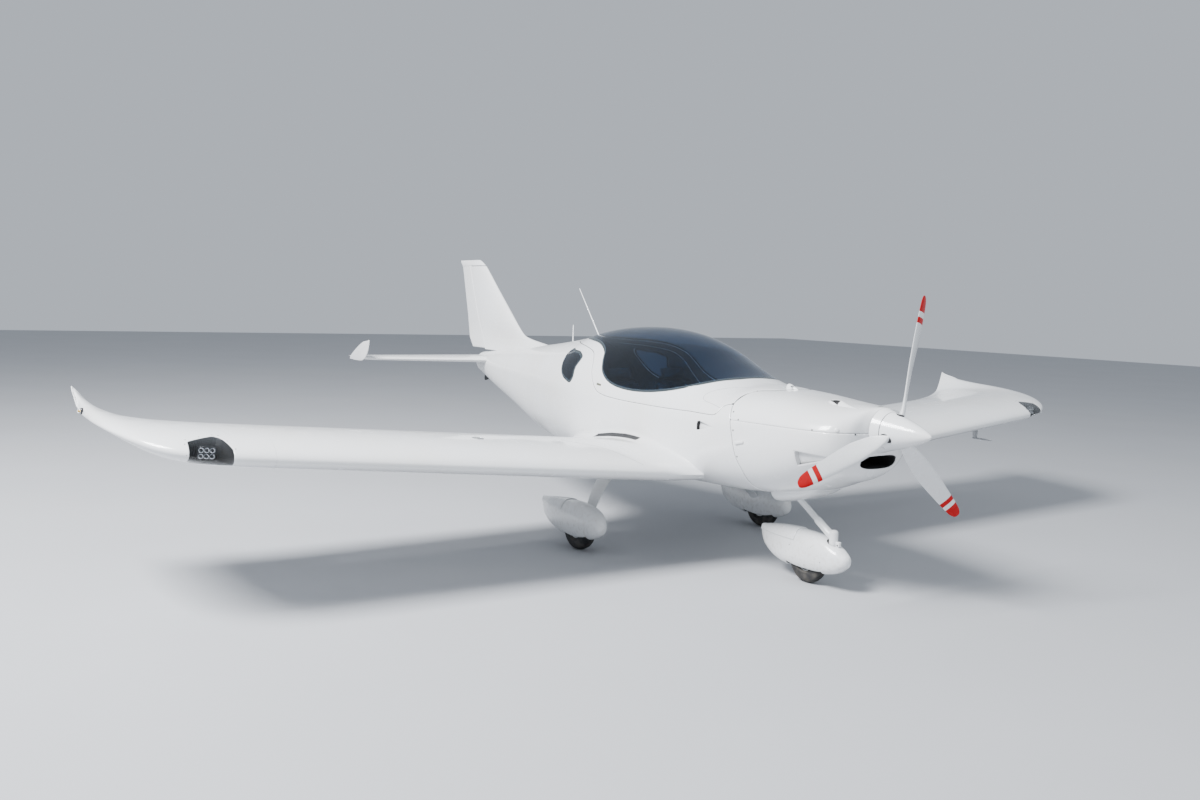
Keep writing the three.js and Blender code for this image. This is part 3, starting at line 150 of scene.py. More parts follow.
class Finish:
    """A material under way: its node tree, its main shader and a way to place and join nodes."""

    def __init__(self, name, colour, roughness, sockets=None):
        self.material = bpy.data.materials.new(name)
        self.material.use_nodes = True
        self.tree = self.material.node_tree
        self.shader = self.tree.nodes["Principled BSDF"]
        self.put(self.shader, {"Base Color": colour, "Roughness": roughness, **(sockets or {})})
        self.place = self.node("ShaderNodeTexCoord").outputs["Object"]

    def node(self, kind, inputs=None, **settings):
        """A new node of a kind, with its inputs filled and its settings made."""
        made = self.tree.nodes.new(kind)
        for key, value in settings.items():
            setattr(made, key, value)
        self.put(made, inputs or {})
        return made

    def put(self, made, inputs):
        """Fills a node's inputs, with a link where the value is another node's output."""
        for key, value in inputs.items():
            socket = made.inputs[key]
            if isinstance(value, bpy.types.NodeSocket):
                self.tree.links.new(value, socket)
            else:
                socket.default_value = value

    def noise(self, scale, detail=2.0, stretch=None):
        """Soft noise over the piece's own place, finer with a larger scale."""
        vector = self.place
        if stretch:
            mapping = self.node("ShaderNodeMapping", {"Vector": vector, "Scale": stretch})
            vector = mapping.outputs["Vector"]
        inputs = {"Vector": vector, "Scale": scale, "Detail": detail}
        return self.node("ShaderNodeTexNoise", inputs).outputs["Fac"]

    def spread(self, value, low, high, out_low, out_high):
        """Carries a value from one range to another, held at the ends."""
        ranges = {"Value": value, "From Min": low, "From Max": high, "To Min": out_low, "To Max": out_high}
        return self.node("ShaderNodeMapRange", ranges).outputs["Result"]

    def mix(self, share, first, second):
        """A colour between two, by share. Of this node's sockets, 6 and 7 are the colours."""
        made = self.node("ShaderNodeMix", {0: share, 6: first, 7: second}, data_type="RGBA")
        return made.outputs[2]

    def combine(self, operation, first, second):
        """Two values put together by a named operation."""
        return self.node("ShaderNodeMath", {0: first, 1: second}, operation=operation).outputs["Value"]

    def attribute(self, name):
        """A number kept on each vertex of the piece."""
        return self.node("ShaderNodeAttribute", attribute_name=name).outputs["Fac"]

    def bump(self, height, strength, distance):
        """Fine relief from a height."""
        inputs = {"Height": height, "Strength": strength, "Distance": distance}
        self.put(self.shader, {"Normal": self.node("ShaderNodeBump", inputs).outputs["Normal"]})

    def colour(self, value):
        """Sets the main shader's colour."""
        self.put(self.shader, {"Base Color": value})

    def roughness(self, value):
        """Sets the main shader's roughness."""
        self.put(self.shader, {"Roughness": value})

    def tones(self, scale, detail, first, second):
        """Blotches of two tones, by noise."""
        self.colour(self.mix(self.noise(scale, detail), first, second))

    def gloss(self, scale, detail, low, high, least, most):
        """Roughness from least to most, by noise spread from low to high."""
        self.roughness(self.spread(self.noise(scale, detail), low, high, least, most))

    def grain(self, scale, detail, strength, distance):
        """Fine relief by noise."""
        self.bump(self.noise(scale, detail), strength, distance)


def finished(name, colour, roughness, sockets=None, **ways):
    """A whole material. The ways are calls of Finish by name, each with its values."""
    made = Finish(name, colour, roughness, sockets)
    for way, values in ways.items():
        getattr(made, way)(*values)
    return made.material


floor_finish = finished(
    "studio_floor", FLOOR_GREY, 0.9, tones=(0.6, 4, (0.40, 0.41, 0.43, 1), (0.44, 0.45, 0.47, 1)),
)
floor_mesh.materials.append(floor_finish)


# The white shell. Fibreglass and sheet sprayed with gloss white and polished, with a little orange
# peel and a trace of dust low down.
WHITE = (0.83, 0.845, 0.86, 1)
WHITE_WARM = (0.80, 0.80, 0.79, 1)
DUST = (0.50, 0.47, 0.42, 1)


def white_gloss(name, dust_height):
    """Gloss white that greys slightly below dust_height, the height where road dust reaches."""
    paint = Finish(name, WHITE, 0.22, {"Coat Weight": 0.55, "Coat Roughness": 0.06})
    tone = paint.spread(paint.noise(1.7, 3), 0.35, 0.7, 0, 1)
    body = paint.mix(tone, WHITE, WHITE_WARM)
    height = paint.node("ShaderNodeSeparateXYZ", {"Vector": paint.place}).outputs["Z"]
    low = paint.spread(height, dust_height, 0.05, 0, 1)
    speck = paint.spread(paint.noise(34, 5), 0.5, 0.72, 0, 0.55)
    paint.colour(paint.mix(paint.combine("MULTIPLY", low, speck), body, DUST))
    paint.gloss(9, 4, 0.3, 0.75, 0.17, 0.3)
    paint.grain(420, 1, 0.035, 0.0006)
    return paint.material


white_shell = white_gloss("white_shell", 0.55)


# The body. A moulded shell in two halves, a cowl in front, a hull with the tail cone behind, and
# a canopy that takes its upper side. All follow one outline: by row, the station, the half width,
# the height of the widest line, bottom and top, and how square the lower and upper halves are.
BODY = np.array([
    (0.366, 0.1458, 1.134, 0.9882, 1.2798, 2.0, 2.0),
    (0.370, 0.158, 1.133, 0.972, 1.28, 2.0, 2),
    (0.378, 0.180, 1.130, 0.944, 1.2803, 2.0, 2),
    (0.410, 0.285, 1.110, 0.852, 1.2806, 2.0, 2),
    (0.480, 0.372, 1.090, 0.798, 1.281, 2.0, 2.05),
    (0.600, 0.420, 1.075, 0.752, 1.284, 2.1, 2.2),
    (0.810, 0.466, 1.060, 0.672, 1.296, 2.5, 2.4),
    (1.030, 0.502, 1.045, 0.622, 1.313, 2.9, 2.5),
    (1.240, 0.528, 1.035, 0.598, 1.326, 3.1, 2.45),
    (1.340, 0.540, 1.035, 0.590, 1.334, 3.2, 2.35),
    (1.470, 0.553, 1.035, 0.583, 1.343, 3.2, 2.2),
    (1.647, 0.567, 1.038, 0.576, 1.385, 3.2, 2.1),
    (1.866, 0.579, 1.040, 0.570, 1.48, 3.3, 2.05),
    (2.096, 0.586, 1.040, 0.565, 1.591, 3.3, 2.05),
    (2.337, 0.588, 1.042, 0.561, 1.662, 3.3, 2.05),
    (2.620, 0.586, 1.045, 0.558, 1.695, 3.3, 2.05),
    (2.900, 0.578, 1.050, 0.557, 1.696, 3.2, 2.05),
    (3.180, 0.558, 1.060, 0.558, 1.675, 3.1, 2.1),
    (3.440, 0.526, 1.075, 0.561, 1.635, 2.9, 2.1),
    (3.700, 0.483, 1.090, 0.566, 1.573, 2.7, 2.1),
    (4.050, 0.417, 1.110, 0.577, 1.519, 2.5, 2.1),
    (4.430, 0.350, 1.130, 0.640, 1.470, 2.3, 2.1),
    (5.000, 0.272, 1.160, 0.815, 1.410, 2.2, 2.1),
    (5.500, 0.208, 1.190, 0.962, 1.355, 2.1, 2.1),
    (5.945, 0.112, 1.205, 1.094, 1.312, 2.0, 2.0),
])
CURVE_STEPS = 4000


def smooth_rows(rows, steps, closed=False):
    """A smooth curve through the rows of a table.

    Each row's place on the curve is the summed distance over its first four columns. Between two
    rows the curve is a cubic whose slopes there are those of the lines joining their neighbours.
    """
    rows = np.asarray(rows, float)
    if closed:
        rows = np.concatenate([rows[-2:], rows, rows[:3]])
    apart = np.linalg.norm(np.diff(rows[:, :4], axis=0), axis=1)
    place = np.concatenate([[0], np.cumsum(apart)])
    slope = np.gradient(rows, place, axis=0)
    if not closed:
        slope[1:-1] = (rows[2:] - rows[:-2]) / (place[2:] - place[:-2])[:, None]
    first, last = (2, len(rows) - 3) if closed else (0, len(rows) - 1)
    at = np.linspace(place[first], place[last], steps + 1)
    i = np.clip(np.searchsorted(place, at, side="right") - 1, 0, len(rows) - 2)
    span = (place[i + 1] - place[i])[:, None]
    t = ((at - place[i])[:, None]) / span
    here, there = rows[i], rows[i + 1]
    return (
        (2 * t**3 - 3 * t**2 + 1) * here
        + (t**3 - 2 * t**2 + t) * span * slope[i]
        + (3 * t**2 - 2 * t**3) * there
        + (t**3 - t**2) * span * slope[i + 1]
    )


BODY_CURVE = smooth_rows(BODY, CURVE_STEPS)
CURVE_PLACE = np.linspace(0, 1, CURVE_STEPS + 1)


def body_rows(along):
    """The outline's values at a share of its length, 0 at the cowl's lip and 1 at the tail."""
    return np.stack([np.interp(along, CURVE_PLACE, column) for column in BODY_CURVE.T], axis=-1)


def rows_at(station):
    """The outline's values at a station."""
    return body_rows(np.interp(station, BODY_CURVE[:, 0], CURVE_PLACE))


def body_points(places, inset=0.0):
    """Points of the body's skin from pairs of a share of its length and an angle up from its side.

    In a section the skin is where |y / half|^n + |z / height|^n = 1, with n and the height taken
    from the upper or the lower half. The point lies along the given angle in those shares.
    """
    rows = body_rows(places[:, 0])
    c, s = np.cos(places[:, 1]), np.sin(places[:, 1])
    power = np.where(s >= 0, rows[:, 6], rows[:, 5])
    height = np.where(s >= 0, rows[:, 4] - rows[:, 2], rows[:, 2] - rows[:, 3]) - inset
    reach = (np.abs(c) ** power + np.abs(s) ** power) ** (-1 / power)
    y = (rows[:, 1] - inset) * reach * c
    return row_points(rows[:, 0], y, rows[:, 2] + height * reach * s)


def side_y(station, z, inset=0.0):
    """How far out the body's skin lies at a station and a height."""
    rows = rows_at(np.asarray(station, float))
    upper = z >= rows[..., 2]
    height = np.where(upper, rows[..., 4] - rows[..., 2], rows[..., 2] - rows[..., 3]) - inset
    power = np.where(upper, rows[..., 6], rows[..., 5])
    share = np.clip(np.abs(z - rows[..., 2]) / height, 0, 1)
    return (rows[..., 1] - inset) * (1 - share**power) ** (1 / power)


def top_z(station, y, inset=0.0):
    """How high the body's skin lies at a station and a distance from the middle."""
    rows = rows_at(np.asarray(station, float))
    share = np.clip(np.abs(y) / (rows[..., 1] - inset), 0, 1)
    high = rows[..., 4] - rows[..., 2] - inset
    return rows[..., 2] + high * (1 - share ** rows[..., 6]) ** (1 / rows[..., 6])


def columns_at(table, at):
    """A table's other columns at values of its first one, on straight lines between its rows."""
    return [np.interp(at, table[:, 0], column) for column in table.T[1:]]


def circle(count):
    """Angles that go once round, without the last one, which is the first again."""
    return np.linspace(0, 2 * math.pi, count + 1)[:-1]


def sheet_grid(u, v):
    """Pairs of parameters on a grid, with two triangles to each cell."""
    places = np.stack(np.meshgrid(u, v, indexing="ij"), axis=-1).reshape(-1, 2)
    n, m = len(u), len(v)
    corner = (np.arange(n - 1)[:, None] * m + np.arange(m - 1)[None, :]).ravel()
    a, b, c, d = corner, corner + m, corner + m + 1, corner + 1
    return places, np.concatenate([np.stack([a, b, c], 1), np.stack([a, c, d], 1)])


def net(rows):
    """A grid of points as a sheet of corners and triangles."""
    _, faces = sheet_grid(*[np.arange(count) for count in rows.shape[:2]])
    return rows.reshape(-1, 3), faces


def cut_sheet(places, faces, value, both=False):
    """Cuts a triangle sheet along the line where value is zero, and drops its positive side.

    Each edge that the line crosses gets one new corner, placed by linear interpolation, and each
    crossed triangle becomes a small one and a four-sided one. With both set, nothing is dropped.
    """
    value = np.where(np.abs(value) < 1e-9, -1e-9, value)
    inside = value[faces] < 0
    count = inside.sum(axis=1)
    mixed = faces[(count == 1) | (count == 2)]
    if not len(mixed):
        return places, faces[count == 3] if not both else faces
    state = value[mixed] < 0
    single = state.sum(axis=1) == 1
    odd = np.where(single, state.argmax(axis=1), (~state).argmax(axis=1))
    a, b, c = mixed[np.arange(len(mixed))[:, None], (odd[:, None] + [0, 1, 2]) % 3].T
    pairs = np.sort(np.concatenate([np.stack([a, b], 1), np.stack([a, c], 1)]), axis=1)
    edges, where = np.unique(pairs, axis=0, return_inverse=True)
    where = where.reshape(-1)
    p, q = edges.T
    share = value[p] / (value[p] - value[q])
    added = places[p] + (places[q] - places[p]) * share[:, None]
    ab = len(places) + where[: len(a)]
    ac = len(places) + where[len(a) :]
    tip = np.stack([a, ab, ac], axis=1)
    rest = np.stack([np.stack([ab, b, c], 1), np.stack([ab, c, ac], 1)], axis=1)
    within = [faces[count == 3], tip[single], rest[~single].reshape(-1, 3)]
    beyond = [faces[count == 0], tip[~single], rest[single].reshape(-1, 3)]
    return np.concatenate([places, added]), np.concatenate(within + (beyond if both else []))


def weld(points, faces, extra=None):
    """Joins corners whose places agree to a twentieth of a millimetre, and drops what then has no area."""
    key = np.round(points * 2e4).astype(np.int64)
    kept, index = np.unique(key, axis=0, return_index=True, return_inverse=True)[1:]
    faces = index.reshape(-1)[faces]
    same = np.zeros(len(faces), bool)
    for i in range(faces.shape[1]):
        same |= faces[:, i] == faces[:, (i + 1) % faces.shape[1]]
    faces = faces[~same]
    used, again = np.unique(faces, return_inverse=True)
    extra = None if extra is None else extra[kept][used]
    return points[kept][used], again.reshape(faces.shape), extra


def corner_normals(points, faces):
    """Each corner's outward direction, from the triangles round it by area."""
    a, b, c = points[faces[:, 0]], points[faces[:, 1]], points[faces[:, 2]]
    flat = np.cross(b - a, c - a)
    total = np.zeros_like(points)
    for i in range(3):
        np.add.at(total, faces[:, i], flat)
    return total / np.maximum(np.linalg.norm(total, axis=1, keepdims=True), 1e-12)


def rim_edges(faces):
    """The open edges of a sheet, in the direction in which its faces run."""
    edges = np.concatenate([faces[:, [i, (i + 1) % faces.shape[1]]] for i in range(faces.shape[1])])
    size = int(edges.max()) + 1
    code = edges[:, 0].astype(np.int64) * size + edges[:, 1]
    back = edges[:, 1].astype(np.int64) * size + edges[:, 0]
    return edges[~np.isin(code, back)]


def shell(points, faces, thickness):
    """A sheet given a thickness inwards: its own faces, the same ones turned round below them, and
    a wall along the rim. Also returns how many of the faces are the outer ones."""
    normals = corner_normals(points, faces)
    count = len(points)
    rim = rim_edges(faces)
    a, b = rim.T
    wall = np.concatenate([np.stack([b, a, a + count], 1), np.stack([b, a + count, b + count], 1)])
    both = np.concatenate([points, points - normals * thickness])
    return both, np.concatenate([faces, faces[:, ::-1] + count, wall]), len(faces)


def facing_out(points, faces):
    """Turns a closed piece's faces outwards, by the sign of the volume that they enclose."""
    a, b, c = points[faces[:, 0]], points[faces[:, 1]], points[faces[:, 2]]
    return faces if (np.cross(a, b) * c).sum() > 0 else faces[:, ::-1]


def plate(points, faces, thickness):
    """A sheet given a thickness, with its faces outwards."""
    solid, walls, _ = shell(points, faces, thickness)
    return solid, facing_out(solid, walls)


def joined(parts):
    """Several point and face sets as one."""
    offset = np.cumsum([0] + [len(points) for points, _ in parts[:-1]])
    faces = [faces + shift for (_, faces), shift in zip(parts, offset)]
    return np.concatenate([points for points, _ in parts]), np.concatenate(faces)


def on_side(form, side):
    """A form made for the left side, as it is or mirrored to the right."""
    points, faces = form
    return points * (1, side, 1), faces[:, ::side]


def add_piece(
    name, points, faces, finish, body="airframe", slot="white_shell", stands_for=(), sharp=35, **numbers
):
    """A piece from corners and faces. Faces are one array, or several where their corner counts
    differ. Edges sharper than the given degrees stay sharp. Numbers are kept on each corner."""
    groups = faces if isinstance(faces, list) else [faces]
    mesh = bpy.data.meshes.new(name)
    mesh.vertices.add(len(points))
    mesh.vertices.foreach_set("co", np.asarray(points, np.float32).ravel())
    corners = np.concatenate([np.asarray(group, np.int32).ravel() for group in groups])
    sizes = np.concatenate([np.full(len(group), np.asarray(group).shape[1], np.int32) for group in groups])
    mesh.loops.add(len(corners))
    mesh.loops.foreach_set("vertex_index", corners)
    mesh.polygons.add(len(sizes))
    mesh.polygons.foreach_set("loop_start", np.concatenate([[0], np.cumsum(sizes)[:-1]]).astype(np.int32))
    mesh.polygons.foreach_set("loop_total", sizes)
    mesh.polygons.foreach_set("use_smooth", np.ones(len(sizes), bool))
    mesh.update(calc_edges=True)
    mesh.validate()
    mesh.set_sharp_from_angle(angle=math.radians(sharp))
    for key, values in numbers.items():
        mesh.attributes.new(key, "FLOAT", "POINT").data.foreach_set("value", np.asarray(values, np.float32))
    for one in finish if isinstance(finish, (list, tuple)) else [finish]:
        mesh.materials.append(one)
    piece = bpy.data.objects.new(name, mesh)
    bpy.context.scene.collection.objects.link(piece)
    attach(piece, body)
    if stands_for:
        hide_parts(*stands_for)
    return piece


def line_distance(line, s, z):
    """Signed distance of points from a closed line given by its corners, negative inside it."""
    line = np.asarray(line, float)
    following = np.roll(line, -1, axis=0)
    nearest = np.full(len(s), 1e9)
    crossings = np.zeros(len(s), int)
    for (a, b), (c, d) in zip(line, following):
        along = np.clip(((s - a) * (c - a) + (z - b) * (d - b)) / ((c - a) ** 2 + (d - b) ** 2 + 1e-15), 0, 1)
        nearest = np.minimum(nearest, np.hypot(s - a - along * (c - a), z - b - along * (d - b)))
        if b != d:
            crossings += ((b > z) != (d > z)) & (s < (c - a) * (z - b) / (d - b) + a)
    return np.where(crossings % 2 == 1, -nearest, nearest)


def side_view(points):
    """Station and height of points in the row frame."""
    return NOSE_X - points[:, 0], points[:, 2]


EDGE_ROUND = 0.004
ROUND_DEPTH = 0.6


def skin_panel(shape, u, v, value, thickness):
    """A panel of a skin that a function gives from two parameters, cut to where value is below zero.

    The last few millimetres before its edge bend inwards. Returns what shell returns.
    """
    places, faces = sheet_grid(u, v)
    for inset in (3 * EDGE_ROUND, EDGE_ROUND, 0):
        places, faces = cut_sheet(places, faces, value(shape(places)) + inset, both=inset > 0)
    points = shape(places)
    sunk = ROUND_DEPTH * EDGE_ROUND * np.clip(1 + value(points) / EDGE_ROUND, 0, 1)
    points, faces, sunk = weld(points, faces, sunk)
    return shell(points - corner_normals(points, faces) * sunk[:, None], faces, thickness)


def add_lined(name, panel, finishes, body="airframe", stands_for=()):
    """A piece from what shell returns, with the second finish on its inner side."""
    points, faces, outer = panel
    piece = add_piece(name, points, facing_out(points, faces), finishes, body, stands_for=stands_for)
    zone = np.zeros(len(faces), np.int32)
    zone[outer : 2 * outer] = 1
    piece.data.polygons.foreach_set("material_index", zone)


ALONG_STEPS = 240
ROUND_STEPS = 160
BELLY_ANGLE = -math.pi / 2
FULL_TURN = np.linspace(BELLY_ANGLE, BELLY_ANGLE + 2 * math.pi, ROUND_STEPS + 1)


def along_between(first, last):
    """Shares of the outline's length from one station to another, at the skin's usual spacing."""
    low, high = np.interp([first, last], BODY_CURVE[:, 0], CURVE_PLACE)
    return np.linspace(low, high, max(3, int(round((high - low) * ALONG_STEPS))))


# The seams between cowl, hull and canopy, by station and height. The canopy's side has a rounded
# front end at the bottom, and above it the canopy meets the cowl and takes the whole deck.
COWL_EDGE = [
    (1.168, 1.42), (1.172, 1.324), (1.205, 1.318), (1.262, 1.313), (1.297, 1.307), (1.312, 1.288),
    (1.316, 1.268), (1.311, 1.245), (1.298, 1.212), (1.269, 1.155), (1.254, 1.108), (1.236, 1.054),
    (1.195, 0.88), (1.15, 0.76), (1.15, 0.48),
]
COWL_SPLIT = 1.120
CANOPY_LOWER = [
    (3.792, 1.60), (3.772, 1.546), (3.62, 1.53), (3.35, 1.512), (3.13, 1.474), (3.052, 1.412),
    (3.0, 1.318), (2.925, 1.228), (2.835, 1.168), (2.613, 1.14), (2.101, 1.132), (1.73, 1.134),
    (1.678, 1.136), (1.47, 1.133), (1.414, 1.138), (1.396, 1.155), (1.388, 1.178), (1.372, 1.203),
    (1.34, 1.215), (1.302, 1.2215),
]
GLASS_EDGE = [
    (1.587, 1.40), (1.590, 1.368), (1.642, 1.352), (1.722, 1.320), (1.841, 1.280), (1.972, 1.250),
    (2.153, 1.225), (2.37, 1.215), (2.576, 1.228), (2.73, 1.264), (2.844, 1.329), (2.907, 1.409),
    (2.962, 1.482), (3.12, 1.54), (3.35, 1.562), (3.6, 1.571), (3.68, 1.60),
]
WINDOW_EDGE = [
    (3.64, 1.44), (3.622, 1.352), (3.552, 1.268), (3.432, 1.216), (3.318, 1.21), (3.294, 1.244),
    (3.3, 1.33), (3.262, 1.42), (3.33, 1.452), (3.5, 1.47), (3.61, 1.474),
]
CANOPY_FRONT_LOW = 1.222
SEAM_HALF = 0.0016
ABOVE_ALL = 1.9
cowl_curve = smooth_rows(COWL_EDGE, 90)
canopy_front = cowl_curve[cowl_curve[:, 1] > CANOPY_FRONT_LOW][::-1]
canopy_line = np.concatenate(
    [smooth_rows(CANOPY_LOWER, 160), canopy_front, [(1.168, ABOVE_ALL), (3.8, ABOVE_ALL)]]
)
glass_line = np.concatenate([smooth_rows(GLASS_EDGE, 160), [(3.7, ABOVE_ALL), (1.587, ABOVE_ALL)]])
window_line = smooth_rows(WINDOW_EDGE, 120, closed=True)[:-1]
cowl_line = np.concatenate([cowl_curve, [(0.2, 0.4), (0.2, 1.5)]])


def in_canopy(points):
    """Below zero where the skin belongs to the canopy."""
    return line_distance(canopy_line, *side_view(points))


def in_glass(points):
    """Below zero where the skin belongs to the canopy's glass."""
    return line_distance(glass_line, *side_view(points))


def in_window(points):
    """Below zero where the skin belongs to a rear window."""
    return line_distance(window_line, *side_view(points))


def in_cowl(points):
    """Below zero where the skin belongs to the cowl."""
    return line_distance(cowl_line, *side_view(points))


# The hull. A glass fibre tub and tail cone moulded in one, 6 mm thick with its lining. It has
# openings for the canopy and the rear windows, and a sunk air slot on each side below the screen.
HULL_THICK = 0.006
SLOT_OUTLINE = [(1.563, 1.086), (1.41, 1.0505), (1.563, 1.012)]
SLOT_DEEP = 0.026


def in_slot(points):
    """Below zero inside the triangle of an air slot."""
    return line_distance(SLOT_OUTLINE, *side_view(points))


def outside_hull(points):
    """Below zero on the hull: off the cowl, canopy, windows and slots."""
    others = np.stack([in_cowl(points), in_canopy(points), in_window(points), in_slot(points)])
    return np.maximum(SEAM_HALF - others[:3].min(axis=0), -others[3])


def trim_cloth(name, first, second, scale=900):
    """Woven cabin lining: a fine even weave with soft blotches of tone."""
    cloth = Finish(name, first, 0.92, {"Sheen Weight": 0.25, "Sheen Roughness": 0.5})
    cloth.colour(cloth.mix(cloth.spread(cloth.noise(22, 4), 0.3, 0.7, 0, 1), first, second))
    cloth.grain(scale, 2, 0.25, 0.0006)
    return cloth.material


cabin_lining = trim_cloth("cabin_lining", (0.085, 0.09, 0.1, 1), (0.13, 0.135, 0.145, 1))
hull = skin_panel(body_points, along_between(1.10, 5.945), FULL_TURN, outside_hull, HULL_THICK)
add_lined("hull", hull, [white_shell, cabin_lining], stands_for=["fuselage"])


# The air slots in the hull's sides. Behind each triangular cut a white ramp sinks from the point
# aft, and ends at an upright mouth that feeds the cabin vents: a near-black wall, painted shade for
# the dark of the opening.
SLOT_RAMP_STEPS = 12
SLOT_MARGIN = 0.004
# Near-black: the colour of black parts, and painted shade where it fills openings and shells' insides.
black_and_painted_shade = finished("black_and_painted_shade", (0.012, 0.012, 0.013, 1), 0.75, gloss=(60, 3, 0.3, 0.7, 0.6, 0.85))
# White outside over near-black painted shade on the inner side.
white_over_painted_shade = [white_shell, black_and_painted_shade]


def triangle_ramp(outline, deep, inset):
    """Stations, distances out and heights of a ramp under a triangular cut.

    For a share a from the point aft and b from one long side to the other, the point lies on the
    straight line between the sides, below the skin by the inset and deep times a to the power 1.3.
    """
    a, b = np.meshgrid(np.linspace(0, 1, SLOT_RAMP_STEPS), np.linspace(-1, 1, 7), indexing="ij")
    tip, top, bottom = np.array(outline[1]), np.array(outline[0]), np.array(outline[2])
    middle = tip + a[..., None] * ((top + bottom) / 2 - tip)
    half = a[..., None] * (top - bottom) / 2 * (1 + SLOT_MARGIN / 0.03)
    flat = middle + half * b[..., None]
    depth = inset + deep * a**1.3
    y = side_y(flat[..., 0], flat[..., 1]) - depth
    return flat[..., 0], y, flat[..., 1]


def both_sides(points, faces):
    """A piece and its mirror image across the middle, in one mesh."""
    mirrored = points * (1, -1, 1)
    return np.concatenate([points, mirrored]), np.concatenate([faces, faces[:, ::-1] + len(points)])


def cut_back(name, outline, deep, thick, mouth):
    """The ramp and mouth behind a triangular cut in the body's side, as two pieces."""
    s, y, z = triangle_ramp(outline, deep, thick * 0.6)
    ramp = net(row_points(s, y, z))
    add_piece(f"{name}_ramp", *both_sides(*ramp), white_shell)
    back = outline[0][0] - 0.0015
    low, high = outline[2][1] - SLOT_MARGIN, outline[0][1] + SLOT_MARGIN
    z, share = np.meshgrid(np.linspace(low, high, 9), np.linspace(0, 1, 3), indexing="ij")
    y = side_y(np.full(z.shape, back), z) - 0.0015 - share * (deep + thick)
    wall, cells = net(row_points(back, y, z))
    add_piece(f"{name}_mouth", *both_sides(wall, cells[:, ::-1]), mouth)


cut_back("side_slot", SLOT_OUTLINE, SLOT_DEEP, HULL_THICK, black_and_painted_shade)


# The canopy's frame. A white fibreglass skirt under the glass, which hinges up and forward and
# takes the whole deck in front of the windscreen with it.
FRAME_THICK = 0.008


def outside_frame(points):
    """Below zero on the canopy's skirt: in the canopy, off its glass."""
    return np.maximum(in_canopy(points) + SEAM_HALF, -in_glass(points) - 0.0002)


skirt = skin_panel(body_points, along_between(1.15, 3.85), FULL_TURN, outside_frame, FRAME_THICK)
add_lined("canopy_skirt", skirt, [white_shell, cabin_lining], "canopy", ["canopy_frame"])

# The glazing. Blown acrylic, 4 mm thick and tinted blue, bonded to the frame along a dark grey
# band that is painted on its inner edge. The rear windows are of the same sheet.
GLASS_THICK = 0.004
BAND_WIDE = 0.016
TINT = (0.20, 0.29, 0.42, 1)
BAND_GREY = (0.035, 0.045, 0.05, 1)
glass = Finish("tinted_glass", TINT, 0.015, {"Transmission Weight": 1.0, "IOR": 1.42})
band = glass.spread(glass.attribute("edge"), BAND_WIDE * 0.9, BAND_WIDE * 1.06, 1, 0)
glass.put(glass.shader, {"Transmission Weight": glass.spread(band, 0, 1, 1, 0)})
glass.colour(glass.mix(band, TINT, BAND_GREY))
glass.gloss(2.5, 3, 0.3, 0.8, 0.012, 0.035)
glass.grain(3.2, 1, 0.02, 0.004)


def outside_glass(points):
    """Below zero on the canopy's glass."""
    return np.maximum(in_glass(points) + 0.0008, in_canopy(points) + SEAM_HALF)


def edge_distance(points, value):
    """How far each point of a pane lies from the pane's edge."""
    return np.clip(-value(points), 0, 1)


points, faces, _ = skin_panel(body_points, along_between(1.56, 3.75), FULL_TURN, outside_glass, GLASS_THICK)
add_piece(
    "canopy_pane", points, faces, glass.material, "canopy", "tinted_glass", ["canopy_glass"],
    edge=edge_distance(points, outside_glass),
)


def outside_window(points):
    """Below zero on a rear window's pane."""
    return in_window(points) + SEAM_HALF


points, faces, _ = skin_panel(body_points, along_between(3.2, 3.7), FULL_TURN, outside_window, GLASS_THICK)
for side, name in SIDES:
    kept = faces[(points[faces][:, :, 1] * side > 0).all(axis=1)]
    used, again = np.unique(kept, return_inverse=True)
    add_piece(
        f"quarter_window_{name}_pane", points[used], again.reshape(kept.shape), glass.material,
        slot="tinted_glass", stands_for=[f"quarter_window_{name}"],
        edge=edge_distance(points[used], outside_window),
    )


# The cowl. Two glass fibre halves joined along the middle of the sides and screwed to the hull.
# The lower half has the air inlet under the spinner and a three-cornered vent on each cheek.
COWL_THICK = 0.005
SPINNER_Z = 1.134
FRONT_END = 0.70
INLET = {"z": 0.927, "wide": 0.165, "high": 0.045, "power": 3.0}
CHEEK_OUTLINE = [(0.712, 0.978), (0.470, 0.955), (0.712, 0.882)]
CHEEK_DEEP = 0.030


def in_inlet(points):
    """Below zero within the inlet, whose outline is a squared ellipse looked at from ahead."""
    y, z = np.abs(points[:, 1]) / INLET["wide"], np.abs(points[:, 2] - INLET["z"]) / INLET["high"]
    share = (y ** INLET["power"] + z ** INLET["power"]) ** (1 / INLET["power"])
    return np.where(NOSE_X - points[:, 0] < FRONT_END, (share - 1) * INLET["high"], 1.0)


def in_cheek(points):
    """Below zero inside the vent on a cheek."""
    return line_distance(CHEEK_OUTLINE, *side_view(points))


def outside_upper_cowl(points):
    """Below zero on the upper half of the cowl."""
    return np.maximum(in_cowl(points) + SEAM_HALF, COWL_SPLIT + SEAM_HALF / 2 - points[:, 2])


def outside_lower_cowl(points):
    """Below zero on the lower half of the cowl."""
    below = points[:, 2] - COWL_SPLIT + SEAM_HALF / 2
    return np.max([in_cowl(points) + SEAM_HALF, below, -in_inlet(points), -in_cheek(points)], axis=0)


front_shares = np.concatenate([along_between(0.366, 0.7)[:-1], along_between(0.7, 1.3)])
front_shares = np.unique(np.concatenate([front_shares, (front_shares[:24] + front_shares[1:25]) / 2]))
# Each half's inner side is near-black: painted shade inside the cowl.
for half, outside in (("upper", outside_upper_cowl), ("lower", outside_lower_cowl)):
    panel = skin_panel(body_points, front_shares, FULL_TURN, outside, COWL_THICK)
    add_lined(f"{half}_cowl", panel, white_over_painted_shade, stands_for=[f"cowl_{half}"])
cut_back("cheek_vent", CHEEK_OUTLINE, CHEEK_DEEP, COWL_THICK, white_shell)
